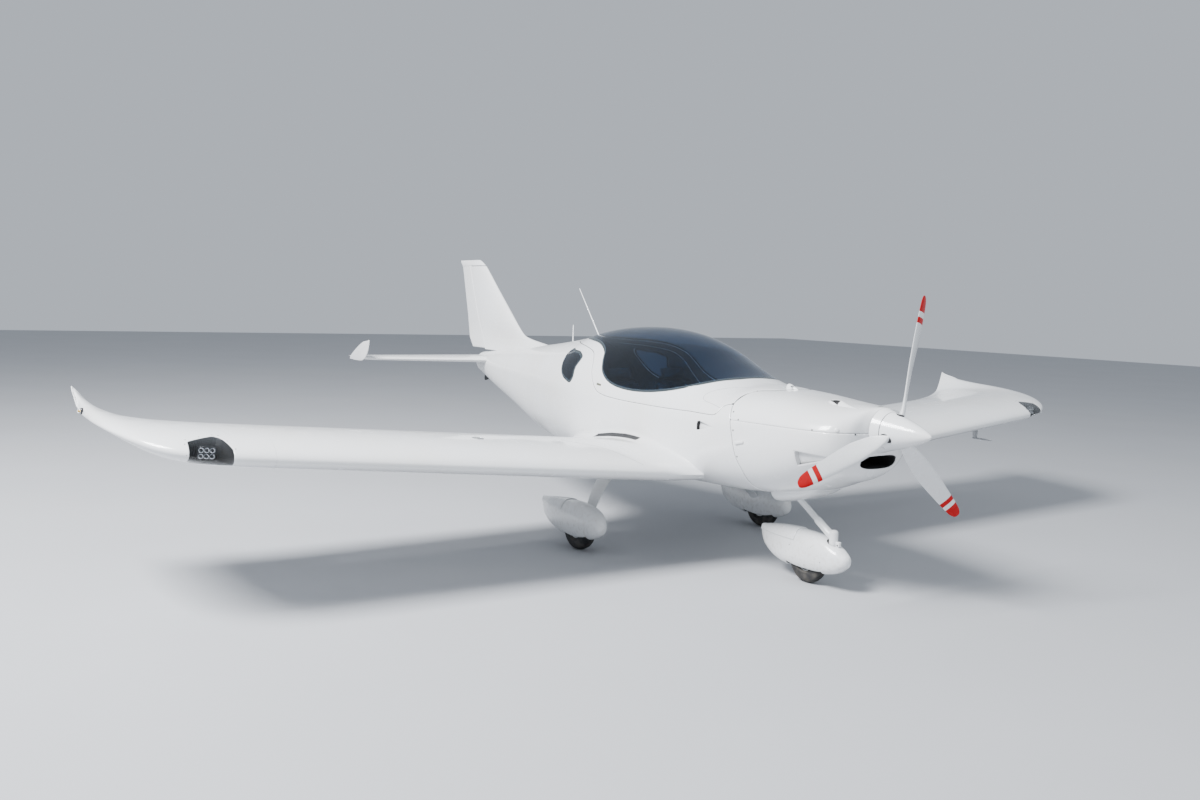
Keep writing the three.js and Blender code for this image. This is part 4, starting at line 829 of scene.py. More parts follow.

# The inlet's duct and the nose opening. The duct runs in from the inlet's lip and narrows, near-black
# as painted shade. A collar lines the round opening behind the spinner, and a bulkhead closes it
# around the shaft, near-black as painted shade.
DUCT_STEPS = 10
DUCT_LONG = 0.24
AROUND_STEPS = 72
COLLAR = [(0.3665, 0.1458), (0.372, 0.1445), (0.39, 0.144), (0.44, 0.144)]
BULKHEAD = {"station": 0.41, "r": 0.149, "hole": 0.03}


def lip_station(y, z, inset):
    """The station at which the skin first passes outside a point, looked at from ahead."""
    rows = BODY_CURVE
    upper = z[:, None] >= rows[None, :, 2]
    height = np.where(upper, rows[:, 4] - rows[:, 2], rows[:, 2] - rows[:, 3]) - inset
    power = np.where(upper, rows[:, 6], rows[:, 5])
    share = np.abs(y)[:, None] / (rows[:, 1] - inset)
    reach = share**power + (np.abs(z[:, None] - rows[:, 2]) / height) ** power
    return rows[(reach < 1).argmax(axis=1), 0]


around = np.linspace(0, 2 * math.pi, AROUND_STEPS + 1)
deep = np.linspace(0, 1, DUCT_STEPS)
t, d = np.meshgrid(around, deep, indexing="ij")
c, s = np.cos(t), np.sin(t)
reach = (np.abs(c) ** INLET["power"] + np.abs(s) ** INLET["power"]) ** (-1 / INLET["power"])
narrow = 1 - 0.25 * d**1.5
y = INLET["wide"] * reach * c * narrow
z = INLET["z"] + INLET["high"] * reach * s * narrow
lip = lip_station(y[:, 0], z[:, 0], 0.0) + 0.004
station = lip[:, None] * (1 - d) + (lip.max() + DUCT_LONG) * d
points, faces, _ = weld(*net(row_points(station, y, z)))
add_piece("inlet_duct", points, faces[:, ::-1], black_and_painted_shade, slot="black_plastic")

collar_s, collar_r = np.transpose(COLLAR)
t, k = np.meshgrid(around, np.arange(len(COLLAR)), indexing="ij")
y, z = collar_r[k] * np.cos(t), SPINNER_Z + collar_r[k] * np.sin(t)
points, faces, _ = weld(*net(row_points(collar_s[k], y, z)))
add_piece("spinner_collar", points, faces[:, ::-1], white_shell)
turn, reach = np.tile(around, 2), np.repeat([BULKHEAD["r"], BULKHEAD["hole"]], len(around))
bulkhead = row_points(BULKHEAD["station"], reach * np.cos(turn), SPINNER_Z + reach * np.sin(turn))
i = np.arange(AROUND_STEPS)
ring_faces = np.stack([i, i + 1, i + 1 + len(around), i + len(around)], axis=1)
add_piece("spinner_bulkhead", bulkhead, ring_faces, black_and_painted_shade, slot="black_plastic")

# The outlet under the cowl. A shallow white blister whose open rear lets the cooling air out.
OUTLET_BOTTOM = [(0.79, 0.684), (0.83, 0.645), (0.90, 0.612), (0.99, 0.579), (1.08, 0.553), (1.163, 0.533)]
OUTLET_WIDE = 0.19
outlet_s = np.linspace(0.79, 1.172, 26)
outlet_z = np.interp(outlet_s, *np.transpose(OUTLET_BOTTOM))
outlet_z = np.convolve(np.pad(outlet_z, 2, mode="edge"), np.ones(5) / 5, mode="valid")
s, t = np.meshgrid(outlet_s, np.linspace(-1, 1, 41), indexing="ij")
belly = np.interp(s, BODY_CURVE[:, 0], BODY_CURVE[:, 3])
wide = OUTLET_WIDE * np.clip(0.55 + 0.45 * ((s - 0.79) / 0.2), 0, 1) ** 0.5
drop = (1 - np.abs(t) ** 3.2) ** 0.62
z = np.minimum(belly + 0.012 - (belly + 0.012 - outlet_z[:, None]) * drop, belly + 0.03)
outlet = shell(*net(row_points(s, wide * t, z)), 0.004)
# The outlet's inner side is near-black: painted shade inside it.
add_lined("cooling_outlet", outlet, white_over_painted_shade)


# The wings. Metal panels, straight from the root joint to the tip joint, with a slight taper and
# nearly 5 degrees of upward slope. Flap and aileron take the rear quarter.
AIRFOIL_CAMBER = 0.025
CAMBER_PEAK = 0.4
NOSE_FOLLOWS = 2.2
WING_PLANE_Z = 0.642
SLOPE = math.radians(4.85)
WING_ROWS = np.array([
    (0.760, 1.618, 3.196, 0.150),
    (3.440, 1.752, 3.152, 0.145),
])
SECTION_STEPS = 44
HINGE_STATION = 2.895
FLAP_RAKE = 0.66
FLAP_SPAN = (0.790, 2.080)
AILERON_SPAN = (2.100, 3.420)


def half_thickness(u, thick):
    """Half the thickness of the section at a share of its chord, as a share of the chord: a root
    law near the nose and a quartic behind it."""
    u = np.clip(u, 0, 1)
    law = 0.2969 * np.sqrt(u) - 0.126 * u - 0.3516 * u**2 + 0.2843 * u**3 - 0.1036 * u**4
    return 5 * thick * law + 0.0016 * u


def camber_line(u):
    """The section's middle line: two parabolas that meet at the peak."""
    p = CAMBER_PEAK
    front = (2 * p * u - u**2) / p**2
    rear = (1 - 2 * p + 2 * p * u - u**2) / (1 - p) ** 2
    return AIRFOIL_CAMBER * np.where(u < p, front, rear)


def section_point(u, upper, thick):
    """Height of the section over its chord line, as a share of the chord."""
    return camber_line(u) + np.where(upper, 1, -1) * half_thickness(u, thick)


def wing_row(span):
    """Leading and trailing station and thickness at a span, on straight lines between the rows."""
    return columns_at(WING_ROWS, span)


def raised(station, span, flat_z, side):
    """A point of the flat wing in the row frame: turned up about the aircraft's middle line."""
    y = span * math.cos(SLOPE) - flat_z * math.sin(SLOPE)
    z = WING_PLANE_Z + span * math.sin(SLOPE) + flat_z * math.cos(SLOPE)
    return row_points(station, side * y, z)


def flat_wing(station, span, upper):
    """The flat wing's height at a station and a span."""
    lead, trail, thick = wing_row(span)
    chord = trail - lead
    u = (station - lead) / chord
    return chord * section_point(u, upper, thick)


def nose_spaced(count):
    """Shares from 0 to 1 that crowd near 0."""
    return np.linspace(0, 1, count) ** NOSE_FOLLOWS


def loop_outline(span, front, rear, rear_upper):
    """One closed section as stations and heights: from the rear along the underside to the nose
    and back along the top. It may end at one station below and at another above."""
    below = front + (rear - front) * nose_spaced(SECTION_STEPS)[::-1]
    above = front + (rear_upper - front) * nose_spaced(SECTION_STEPS)
    station = np.concatenate([below, above[1:]])
    height = np.concatenate([flat_wing(below, span, False), flat_wing(above, span, True)[1:]])
    return station, height


def loft_rings(rings, capped=True):
    """Skins a run of closed rings of equal count, and may close the ends with fans of triangles.

    Rings run so that the skin between them faces outwards when each ring turns to the right as
    one looks from the first ring to the last.
    """
    rings = np.asarray(rings)
    n, m = rings.shape[:2]
    i, j = np.meshgrid(np.arange(n - 1), np.arange(m), indexing="ij")
    a, b = i * m + j, i * m + (j + 1) % m
    quads = np.stack([a, b, b + m, a + m], axis=-1).reshape(-1, 4)
    faces = np.concatenate([quads[:, [0, 1, 2]], quads[:, [0, 2, 3]]])
    points = rings.reshape(-1, 3)
    if not capped:
        return points, faces
    j = np.arange(m)
    centre = np.full(m, n * m)
    start = np.stack([centre, (j + 1) % m, j], axis=1)
    end = np.stack([(n - 1) * m + j, (n - 1) * m + (j + 1) % m, centre + 1], axis=1)
    middles = [rings[0].mean(axis=0), rings[-1].mean(axis=0)]
    return np.concatenate([points, middles]), np.concatenate([faces, start, end])


def lofted(rings):
    """A closed piece from rings, with its faces outwards."""
    points, faces = loft_rings(rings)
    return points, facing_out(points, faces)


WING_REAR = HINGE_STATION - 0.004


def surface_front(span):
    """Where a moving surface's raked front face meets the underside at a span."""
    top_z = flat_wing(np.array(HINGE_STATION), span, True)
    low = HINGE_STATION
    for _ in range(6):
        low = HINGE_STATION + FLAP_RAKE * (top_z - flat_wing(np.array(low), span, False))
    return low


def wing_ring(span, side):
    """A ring of the wing at a span, cut off upright ahead of the flap or aileron."""
    station, height = loop_outline(span, wing_row(span)[0], WING_REAR, WING_REAR + 0.001)
    return raised(station, span, height, side)


def rear_rib(first, last, side):
    """The strip of fixed wing behind the spar face between two moving surfaces."""
    rings = []
    for span in (first, first + 0.0015, last - 0.0015, last):
        inset = 0.0015 if span in (first, last) else 0.0
        _, trail, _ = wing_row(span)
        share = np.linspace(0, 1, 16)
        front = WING_REAR - 0.001
        below = trail + (front - trail) * share
        above = front + (trail - front) * share
        station = np.concatenate([below, above[1:]])
        upper = np.arange(len(station)) >= len(share)
        height = flat_wing(station, span, upper)
        height = height - np.where(upper, inset, -inset)
        rings.append(raised(station, span, height, side))
    return lofted(rings)


TIP_JOINT = 3.440
RIB_STRIPS = [(0.758, 0.7885), (2.0815, 2.0985), (3.4215, TIP_JOINT)]
wing_paint = white_gloss("wing_white", 0.3)
for side, name in SIDES:
    spans = np.linspace(0.758, TIP_JOINT - 0.001, 60)
    parts = [lofted([wing_ring(span, side) for span in spans])]
    parts += [rear_rib(first, last, side) for first, last in RIB_STRIPS]
    add_piece(f"wing_skin_{name}", *joined(parts), wing_paint, stands_for=[f"wing_{name}"], sharp=28)

# Flaps and ailerons. Thin metal surfaces in the wing's line, with a raked front face and a sharp
# rear edge. Flaps go down on hinges under the skin, ailerons turn both ways.
SURFACE_GAP = 0.003


def surface_ring(span, side, inset):
    """A ring of a flap or aileron at a span, drawn in by the inset above and below."""
    low, high = surface_front(span), HINGE_STATION
    trail = wing_row(span)[1]
    share = np.linspace(0, 1, 26)
    below = trail + (low + 0.002 - trail) * share
    above = high + SURFACE_GAP + (trail - high - SURFACE_GAP) * share
    z_below = flat_wing(below, span, False) + inset
    z_above = flat_wing(above, span, True) - inset
    station = np.concatenate([below, [low - 0.0035, (low + high) / 2], above[1:]])
    middle = (z_below[-1] + z_above[0]) / 2
    height = np.concatenate([z_below, [z_below[-1] + 0.006, middle], z_above[1:]])
    return raised(station, span, height, side)


def control_surface(span_range, side):
    """A whole flap or aileron, whose ends are a little rounded."""
    first, last = span_range[0] + SURFACE_GAP / 2, span_range[1] - SURFACE_GAP / 2
    spans = np.concatenate(
        [[first, first + 0.002], np.linspace(first + 0.05, last - 0.05, 24), [last - 0.002, last]]
    )
    insets = np.where((spans == first) | (spans == last), 0.0018, 0.0)
    return lofted([surface_ring(span, side, inset) for span, inset in zip(spans, insets)])


for side, name in SIDES:
    for part, span_range in (("flap", FLAP_SPAN), ("aileron", AILERON_SPAN)):
        node = f"{part}_{name}"
        add_piece(
            f"{node}_skin", *control_surface(span_range, side), wing_paint, node, stands_for=[node], sharp=28,
        )


# The wingtips. Moulded glass fibre, swept back and turned up into a thin horn, with the landing
# light set in a black recess of the nose and the position light on a pod outboard.
TIP_ROWS = np.array([
    (3.440, 1.752, 3.152, 0.000, 0.145, 0.000),
    (3.600, 1.758, 3.150, 0.001, 0.143, 0.000),
    (3.760, 1.772, 3.156, 0.003, 0.140, 0.000),
    (3.930, 1.815, 3.170, 0.012, 0.130, 0.000),
    (4.050, 1.890, 3.195, 0.028, 0.112, 0.000),
    (4.140, 1.995, 3.222, 0.050, 0.090, 0.002),
    (4.210, 2.130, 3.248, 0.070, 0.070, 0.035),
    (4.265, 2.300, 3.270, 0.086, 0.054, 0.075),
    (4.305, 2.540, 3.288, 0.098, 0.042, 0.104),
    (4.328, 2.900, 3.300, 0.118, 0.034, 0.104),
    (4.336, 3.160, 3.302, 0.190, 0.030, 0.040),
])
TIP_RINGS = 90
TIP_SECTION = 48
RECESS_PLAN = [
    (1.62, 3.664), (1.80, 3.672), (1.90, 3.708), (1.943, 3.736), (1.950, 3.758), (1.885, 3.900),
    (1.62, 3.900),
]
TRAY_FLOOR = -0.040
TIP_THICK = 0.004
tip_curve = smooth_rows(TIP_ROWS, TIP_RINGS)


def tip_points(places):
    """Points of a tip's skin on the flat wing: station, span and height.

    The first parameter runs along the table's smooth curve, the second round the section, from
    the rear edge (0) under the wing to the nose (0.5) and back over it (1). A row lifts its
    section, and its wash turns the rear up by the square of the share of the chord.
    """
    rows = np.stack([np.interp(places[:, 0], np.linspace(0, 1, TIP_RINGS + 1), c) for c in tip_curve.T], 1)
    span, lead, trail, lift, thick, wash = rows.T
    upper = places[:, 1] >= 0.5
    share = np.abs(places[:, 1] - 0.5) * 2
    u = share**NOSE_FOLLOWS
    chord = trail - lead
    z = chord * section_point(u, upper, thick) + lift + wash * u**2
    return np.stack([lead + chord * u, span, z], axis=1)


def outside_recess(points):
    """Above zero in the landing light's opening: within its plan, and above the tray's floor."""
    return np.minimum(-line_distance(RECESS_PLAN, points[:, 0], points[:, 1]), points[:, 2] - TRAY_FLOOR)


places, faces = sheet_grid(np.linspace(0, 1, TIP_RINGS + 1), np.linspace(0, 1, 2 * TIP_SECTION + 1))
for inset in (0.008, 0.003, 0):
    places, faces = cut_sheet(places, faces, outside_recess(tip_points(places)) + inset, both=inset > 0)
flat = tip_points(places)
tip_edge = np.clip(1 + outside_recess(flat) / 0.003, 0, 1)
for side, name in SIDES:
    welded, tied, edge = weld(raised(*flat.T, side), faces[:, ::side], tip_edge)
    normals = corner_normals(welded, tied)
    outwards = facing_out(welded, tied)
    if outwards is not tied:
        tied, normals = outwards, -normals
    welded = welded - normals * edge[:, None] * 0.0018
    solid, walls, outer = shell(welded, tied, TIP_THICK)
    add_piece(f"wingtip_skin_{name}", solid, walls, wing_paint, stands_for=[f"wingtip_{name}"], sharp=30)


# The wing root fillets. Glass fibre fairings that carry the wing's skin up onto the body in one
# hollow sweep, screwed down over the joint, with a fine seam along their upper part.
FILLET_UPPER = np.array([
    (1.560, 0.690), (1.600, 0.738), (1.660, 0.779), (1.738, 0.809), (1.793, 0.830), (1.870, 0.853),
    (1.984, 0.882), (2.106, 0.905), (2.243, 0.918), (2.372, 0.921), (2.587, 0.905), (2.821, 0.868),
    (3.118, 0.812), (3.300, 0.752), (3.385, 0.703),
])
FILLET_LOWER = np.array([
    (1.560, 0.690), (1.600, 0.652), (1.680, 0.628), (1.800, 0.612), (2.000, 0.603), (2.600, 0.600),
    (3.000, 0.622), (3.250, 0.662), (3.385, 0.696),
])
FILLET_ROOT = 0.7585
FILLET_PROUD = 0.0014
FILLET_SEAM = 0.80
FILLET_STEPS = np.concatenate(
    [np.linspace(0, 0.78, 17), [0.792, 0.797, 0.8, 0.803, 0.808], np.linspace(0.83, 1, 7)]
)
ROOT_PULL = 0.19
BODY_PULL = 0.15


def skin_normal(station, z):
    """The body skin's outward direction on its left side, from small steps along it."""
    step = 0.002
    along = side_y(station + step, z) - side_y(station - step, z)
    up = side_y(station, z + step) - side_y(station, z - step)
    normal = np.stack([along / (2 * step), np.ones_like(along), -up / (2 * step)], axis=-1)
    return normal / np.linalg.norm(normal, axis=-1, keepdims=True)


def fillet_ends():
    """The root section's ring and the ring on the body that it sweeps to, with both end slopes."""
    lead, trail, _ = wing_row(FILLET_ROOT)
    station, height = loop_outline(FILLET_ROOT, lead, trail, trail)
    upper = np.arange(len(station)) >= SECTION_STEPS - 1
    start = raised(station, np.full(len(station), FILLET_ROOT), height, 1)
    u = (station - lead) / (trail - lead)
    on_body = FILLET_UPPER[0, 0] + (FILLET_UPPER[-1, 0] - FILLET_UPPER[0, 0]) * u
    z = np.where(upper, np.interp(on_body, *FILLET_UPPER.T), np.interp(on_body, *FILLET_LOWER.T))
    normal = skin_normal(on_body, z)
    end = row_points(on_body, side_y(on_body, z), z) + normal * FILLET_PROUD
    rear, ahead = np.roll(start, 1, axis=0), np.roll(start, -1, axis=0)
    rear[0], ahead[-1] = start[0], start[-1]
    run = ahead - rear
    outwards = np.stack([run[:, 2], np.zeros(len(run)), -run[:, 0]], axis=-1)
    outwards /= np.linalg.norm(outwards, axis=1, keepdims=True)
    middle = start.mean(axis=0)
    outwards *= np.sign(((start - middle) * outwards).sum(axis=1).mean())
    flat = outwards - (outwards * normal).sum(axis=1, keepdims=True) * normal
    pull = BODY_PULL * np.where(upper, 1.0, 0.35) * (0.25 + 0.75 * np.sin(math.pi * np.clip(u, 0, 1)) ** 0.6)
    inboard = np.array([0.10, -math.cos(SLOPE), -math.sin(SLOPE)])
    return start, end, inboard * ROOT_PULL, flat * pull[:, None]


def fillet_rings(side):
    """Rings between the two ends: each point runs along a cubic with the end slopes given."""
    start, end, start_slope, end_slope = fillet_ends()
    rings = []
    for t in FILLET_STEPS:
        ring = (2 * t**3 - 3 * t**2 + 1) * start + (t**3 - 2 * t**2 + t) * start_slope
        rings.append(ring + (3 * t**2 - 2 * t**3) * end + (t**3 - t**2) * end_slope)
    return np.array(rings) * (1, side, 1)


def root_fillet(side):
    """The fillet's sheet with its seam pressed in."""
    rings = fillet_rings(side)
    count = rings.shape[1]
    points, faces = loft_rings(rings, capped=False)
    normals = corner_normals(points, faces)
    centre = rings.mean(axis=(0, 1))
    if ((points - centre) * normals).sum() < 0:
        faces, normals = faces[:, ::-1], -normals
    t = np.repeat(FILLET_STEPS, count)
    upper = np.tile(np.arange(count) >= SECTION_STEPS - 1, len(FILLET_STEPS))
    groove = (np.abs(t - FILLET_SEAM) < 0.001) & upper
    return points - normals * (0.0018 * groove)[:, None], faces


for side, name in SIDES:
    solid, walls, _ = shell(*root_fillet(side), 0.003)
    add_piece(f"root_fillet_{name}", solid, walls, wing_paint)


# The fin. Moulded in one with the tail cone, with a long low fillet ahead of it, a straight swept
# front edge and a round top corner. It ends in a flat face just ahead of the rudder.
FIN_ROWS = np.array([
    # height, front station, thickness as a share of the chord
    (1.330, 4.380, 0.020), (1.400, 4.500, 0.022), (1.440, 4.560, 0.024), (1.470, 4.760, 0.026),
    (1.490, 4.920, 0.031), (1.520, 5.065, 0.040), (1.560, 5.140, 0.052), (1.601, 5.198, 0.066),
    (1.660, 5.275, 0.082), (1.740, 5.375, 0.092), (1.823, 5.477, 0.098), (1.997, 5.691, 0.100),
    (2.169, 5.897, 0.100), (2.238, 5.985, 0.098), (2.261, 6.028, 0.092), (2.290, 6.085, 0.075),
    (2.306, 6.135, 0.050),
])
RUDDER_TRAIL = np.array([
    (1.290, 6.235), (1.345, 6.250), (1.453, 6.343), (1.709, 6.402), (1.949, 6.472), (2.233, 6.555),
    (2.290, 6.608), (2.306, 6.612),
])
HINGE_FOOT = (5.928, 1.323)
HINGE_LEAN = 0.436
RUDDER_NOSE = 0.034
FIN_TOP = 2.238
fin_curve = smooth_rows(FIN_ROWS[:, :2], 200)


def hinge_at(z):
    """The rudder hinge's station at a height."""
    return HINGE_FOOT[0] + HINGE_LEAN * (z - HINGE_FOOT[1])


def fin_values(z):
    """Front edge, rear edge and thickness, as a share of the chord, of fin and rudder together."""
    front = np.interp(z, fin_curve[:, 0], fin_curve[:, 1])
    rear = np.interp(z, RUDDER_TRAIL[:, 0], RUDDER_TRAIL[:, 1])
    thick = np.interp(z, FIN_ROWS[:, 0], FIN_ROWS[:, 2])
    return front, rear, thick


def fin_half(station, z):
    """Half the fin's thickness at a station and a height, by the wing's law without camber."""
    front, rear, thick = fin_values(z)
    return (rear - front) * half_thickness((station - front) / (rear - front), thick)


def foot_flare(station, z):
    """How much wider the fin is close over the body's top: a fast falling curve of the height."""
    above = z - top_z(np.clip(station, 0.4, 5.94), 0.0)
    return 0.020 * np.exp(-np.clip(above, 0, 1) / 0.045)


def blade_rings(heights, front_at, rear_at, half_at, count):
    """Rings of an upright blade, one per height, from the rear on the right round the front."""
    rings = []
    for z in heights:
        front, rear = front_at(z), rear_at(z)
        share = np.linspace(0, 1, count) ** 1.9
        station = front + (rear - front) * share
        half = half_at(station, z)
        left = row_points(station, half, z)
        right = left * (1, -1, 1)
        rings.append(np.concatenate([right[::-1], left[1:]]))
    return np.array(rings)


def drawn_in(ring, share):
    """A ring drawn in towards its middle."""
    middle = ring.mean(axis=0)
    return middle + (ring - middle) * share


def fin_front(z):
    """The fin's leading edge."""
    return float(fin_values(z)[0])


def fin_rear(z):
    """The fin's flat rear face, just ahead of the rudder."""
    return hinge_at(z) - 0.006


def fin_width(station, z):
    """Half the fin's thickness, with a flare into the body's top that grows from its front edge."""
    rise = np.clip((station - fin_front(z)) / 0.12, 0, 1) ** 0.5
    return fin_half(station, z) + foot_flare(station, z) * rise


fin_heights = np.concatenate(
    [np.linspace(1.34, 1.60, 40), np.linspace(1.61, FIN_TOP - 0.004, 50), [FIN_TOP - 0.001]]
)
rings = blade_rings(fin_heights, fin_front, fin_rear, fin_width, 40)
rings[-1] = drawn_in(rings[-1], (0.998, 0.9, 1))
add_piece("fin_skin", *lofted(rings), white_shell, stands_for=["fin"], sharp=30)

# The rudder. A full-height glass fibre surface with a round nose and a balance horn that crosses
# over the fin's top. It turns 30 degrees each way.
RUDDER_FOOT = 1.352
HORN_FOOT = 2.2445
HORN_ROUND = 2.262


def rudder_front(z):
    """The front of the rudder's round nose."""
    return hinge_at(z) - RUDDER_NOSE * 0.55


def rudder_half(station, z):
    """The fin's thickness, rounded off ahead of the hinge as a half circle."""
    widest = fin_half(hinge_at(z) + RUDDER_NOSE * 0.45, z)
    ahead = np.clip((station - rudder_front(z)) / RUDDER_NOSE, 0, 1)
    return np.minimum(fin_half(station, z), widest * np.sqrt(np.clip(1 - (1 - ahead) ** 2, 0, 1)) + 1e-4)


def rudder_rear(z):
    """The rudder's trailing edge."""
    return float(fin_values(z)[1])


def horn_front(z):
    """Above the fin the rudder reaches forward to the fin's own front edge."""
    return fin_front(z) + 0.001


def horn_half(station, z):
    """The fin's thickness, rounded off towards the top as a quarter ellipse."""
    rise = np.clip((z - HORN_ROUND) / (FIN_ROWS[-1, 0] - HORN_ROUND), 0, 1)
    return fin_half(station, z) * (0.25 + 0.75 * np.sqrt(1 - rise**2))


rudder_heights = np.concatenate([[RUDDER_FOOT, RUDDER_FOOT + 0.002], np.linspace(1.37, FIN_TOP + 0.005, 60)])
lower_part = blade_rings(rudder_heights, rudder_front, rudder_rear, rudder_half, 40)
lower_part[0] = drawn_in(lower_part[0], (0.992, 0.85, 1))
horn_heights = np.concatenate([[HORN_FOOT, HORN_FOOT + 0.002], np.linspace(2.252, 2.3058, 16)])
horn_part = blade_rings(horn_heights, horn_front, rudder_rear, horn_half, 40)
horn_part[0] = drawn_in(horn_part[0], (0.996, 0.9, 1))
rudder = joined([lofted(lower_part), lofted(horn_part)])
add_piece("rudder_skin", *rudder, white_shell, "rudder", stands_for=["rudder"], sharp=30)

# The tailplane. A fixed metal stabilizer with a one-piece elevator behind it. Upswept leaf-shaped
# end plates close its tips, and a narrow trim tab lies in the elevator's right rear edge.
TAIL_Z = 1.245
TAIL_TRAIL = 6.372
TAIL_ROWS = np.array([
    (0.060, 5.505, TAIL_TRAIL, 0.085), (0.217, 5.548, TAIL_TRAIL, 0.085), (1.300, 5.850, TAIL_TRAIL, 0.085),
    (1.400, 5.900, 6.350, 0.070),
])
ELEVATOR_HINGE = 6.055
ELEVATOR_NOSES = [(0.2, 0.026), (1.3, 0.020), (1.392, 0.014)]
TAB_FRONT = 6.320
TAB_SPAN = (0.317, 0.896)
TAB_GAP = 0.006
NOTCH = [(0.034, 6.000), (0.086, 6.060), (0.226, TAIL_TRAIL)]
NOTCH_OUT = 0.226
TUBE_R = 0.014


def tail_values(span):
    """Leading and trailing station and thickness of the tailplane at a span."""
    return columns_at(TAIL_ROWS, span)


def tail_half(station, span):
    """Half the tailplane's thickness at a station and a span, by the wing's law without camber."""
    lead, trail, thick = tail_values(span)
    return (trail - lead) * half_thickness((station - lead) / (trail - lead), thick)


def level_rings(spans, front_at, rear_at, half_at, side, count=34):
    """Rings of a level blade, one per span, from the rear below round the front to the rear above."""
    rings = []
    for span in spans:
        share = np.linspace(0, 1, count) ** 1.9
        station = front_at(span) + (rear_at(span) - front_at(span)) * share
        half = half_at(station, span)
        above = row_points(station, side * span, TAIL_Z + half)
        below = above * (1, 1, -1) + (0, 0, 2 * TAIL_Z)
        rings.append(np.concatenate([below[::-1], above[1:]]))
    return np.array(rings)


def elevator_half(station, span):
    """The tailplane's thickness, rounded off ahead of the hinge as a half circle."""
    nose = elevator_nose(span)
    widest = tail_half(np.array(ELEVATOR_HINGE + nose * 0.45), span)
    ahead = np.clip((station - elevator_front(span)) / nose, 0, 1)
    return np.minimum(tail_half(station, span), widest * np.sqrt(np.clip(1 - (1 - ahead) ** 2, 0, 1)) + 1e-4)


def elevator_nose(span):
    """How long the elevator's round nose is at a span."""
    return np.interp(span, *np.transpose(ELEVATOR_NOSES))


def elevator_front(span):
    """The front of the elevator's round nose."""
    return ELEVATOR_HINGE - elevator_nose(span) * 0.55


def elevator_rear(span, side):
    """The elevator's rear edge: cut off aslant near the rudder, and ahead of the tab where that is."""
    if span < NOTCH_OUT:
        return max(min(np.interp(span, *np.transpose(NOTCH)) + 0.02, TAIL_TRAIL), ELEVATOR_HINGE + 0.007)
    in_tab = side < 0 and TAB_SPAN[0] - 0.002 < span < TAB_SPAN[1] + 0.002
    return TAB_FRONT - TAB_GAP if in_tab else TAIL_TRAIL


def tail_front(span):
    """The tailplane's leading edge."""
    return float(tail_values(span)[0])


def tail_rear(span):
    """The tailplane's rear face, just ahead of the elevator."""
    return elevator_front(span) - 0.004


spans = np.concatenate([np.linspace(0.06, 1.385, 36), [1.3985]])
for side, name in SIDES:
    rings = level_rings(spans, tail_front, tail_rear, tail_half, side)
    add_piece(
        f"stabilizer_skin_{name}", *lofted(rings), wing_paint, stands_for=[f"stabilizer_{name}"], sharp=30,
    )

spans = np.concatenate([
    np.linspace(0.036, NOTCH_OUT, 12), np.linspace(0.24, 0.3145, 4), [0.3155, 0.3185],
    np.linspace(0.36, 0.86, 12), [0.8945, 0.8975], np.linspace(0.93, 1.35, 12), [1.388, 1.3915],
])
parts = [
    lofted(level_rings(spans, elevator_front, lambda span: elevator_rear(span, side), elevator_half, side))
    for side in (1, -1)
]
turn = circle(24)
tube_s, tube_z = ELEVATOR_HINGE + TUBE_R * np.cos(turn), TAIL_Z + TUBE_R * np.sin(turn)
parts.append(lofted([row_points(tube_s, y, tube_z) for y in (-0.04, 0.04)]))
add_piece("elevator_skin", *joined(parts), wing_paint, "elevator", stands_for=["elevator"], sharp=30)

tab_metal = finished(
    "olive_tab", (0.10, 0.105, 0.075, 1), 0.5, tones=(14, 4, (0.085, 0.09, 0.062, 1), (0.13, 0.132, 0.10, 1)),
    gloss=(40, 3, 0.3, 0.7, 0.4, 0.6), grain=(300, 1, 0.06, 0.0005),
)


def tab_half(station, span):
    """The tailplane's thickness, halved at the tab's front edge."""
    return tail_half(station, span) * np.clip((station - TAB_FRONT) / 0.003 + 0.5, 0.5, 1)


low, high = TAB_SPAN
spans = np.concatenate(
    [[low + 0.0005, low + 0.002], np.linspace(0.34, 0.87, 10), [high - 0.002, high - 0.0005]]
)
rings = level_rings(spans, lambda _: TAB_FRONT, lambda _: TAIL_TRAIL - 0.0005, tab_half, -1, 14)
add_piece("trim_tab_skin", *lofted(rings), tab_metal, "trim_tab", stands_for=["trim_tab"], sharp=30)

# The tailplane's end plates. Thin white leaves moulded onto the tips, bowed outwards and swept up
# and back.
LEAF = [
    (6.292, 1.222), (6.200, 1.214), (6.110, 1.212), (6.010, 1.214), (5.920, 1.222), (5.850, 1.248),
    (5.795, 1.288), (5.752, 1.340), (5.722, 1.395), (5.708, 1.436), (5.745, 1.430), (5.800, 1.424),
    (5.870, 1.414), (5.950, 1.390), (6.050, 1.352), (6.150, 1.308), (6.240, 1.262),
]
leaf_line = smooth_rows(LEAF, 72, closed=True)[:-1]
LEAF_LAYERS = [
    (0.0, 0.60), (0.0012, 0.30), (0.0035, 0.10), (0.0065, 0.02), (0.0095, 0.10), (0.0118, 0.30),
    (0.013, 0.60),
]
LEAF_OUT = 1.3995
for side, name in SIDES:
    rings = []
    centre = leaf_line.mean(axis=0)
    for out, shrink in LEAF_LAYERS:
        edge = leaf_line + (centre - leaf_line) * (shrink * 0.108)
        bow = 0.010 * ((edge[:, 1] - 1.21) / 0.22) ** 2
        rings.append(row_points(edge[:, 0], side * (LEAF_OUT + out + bow), edge[:, 1]))
    add_piece(f"end_plate_{name}", *lofted(rings), white_shell, sharp=50)


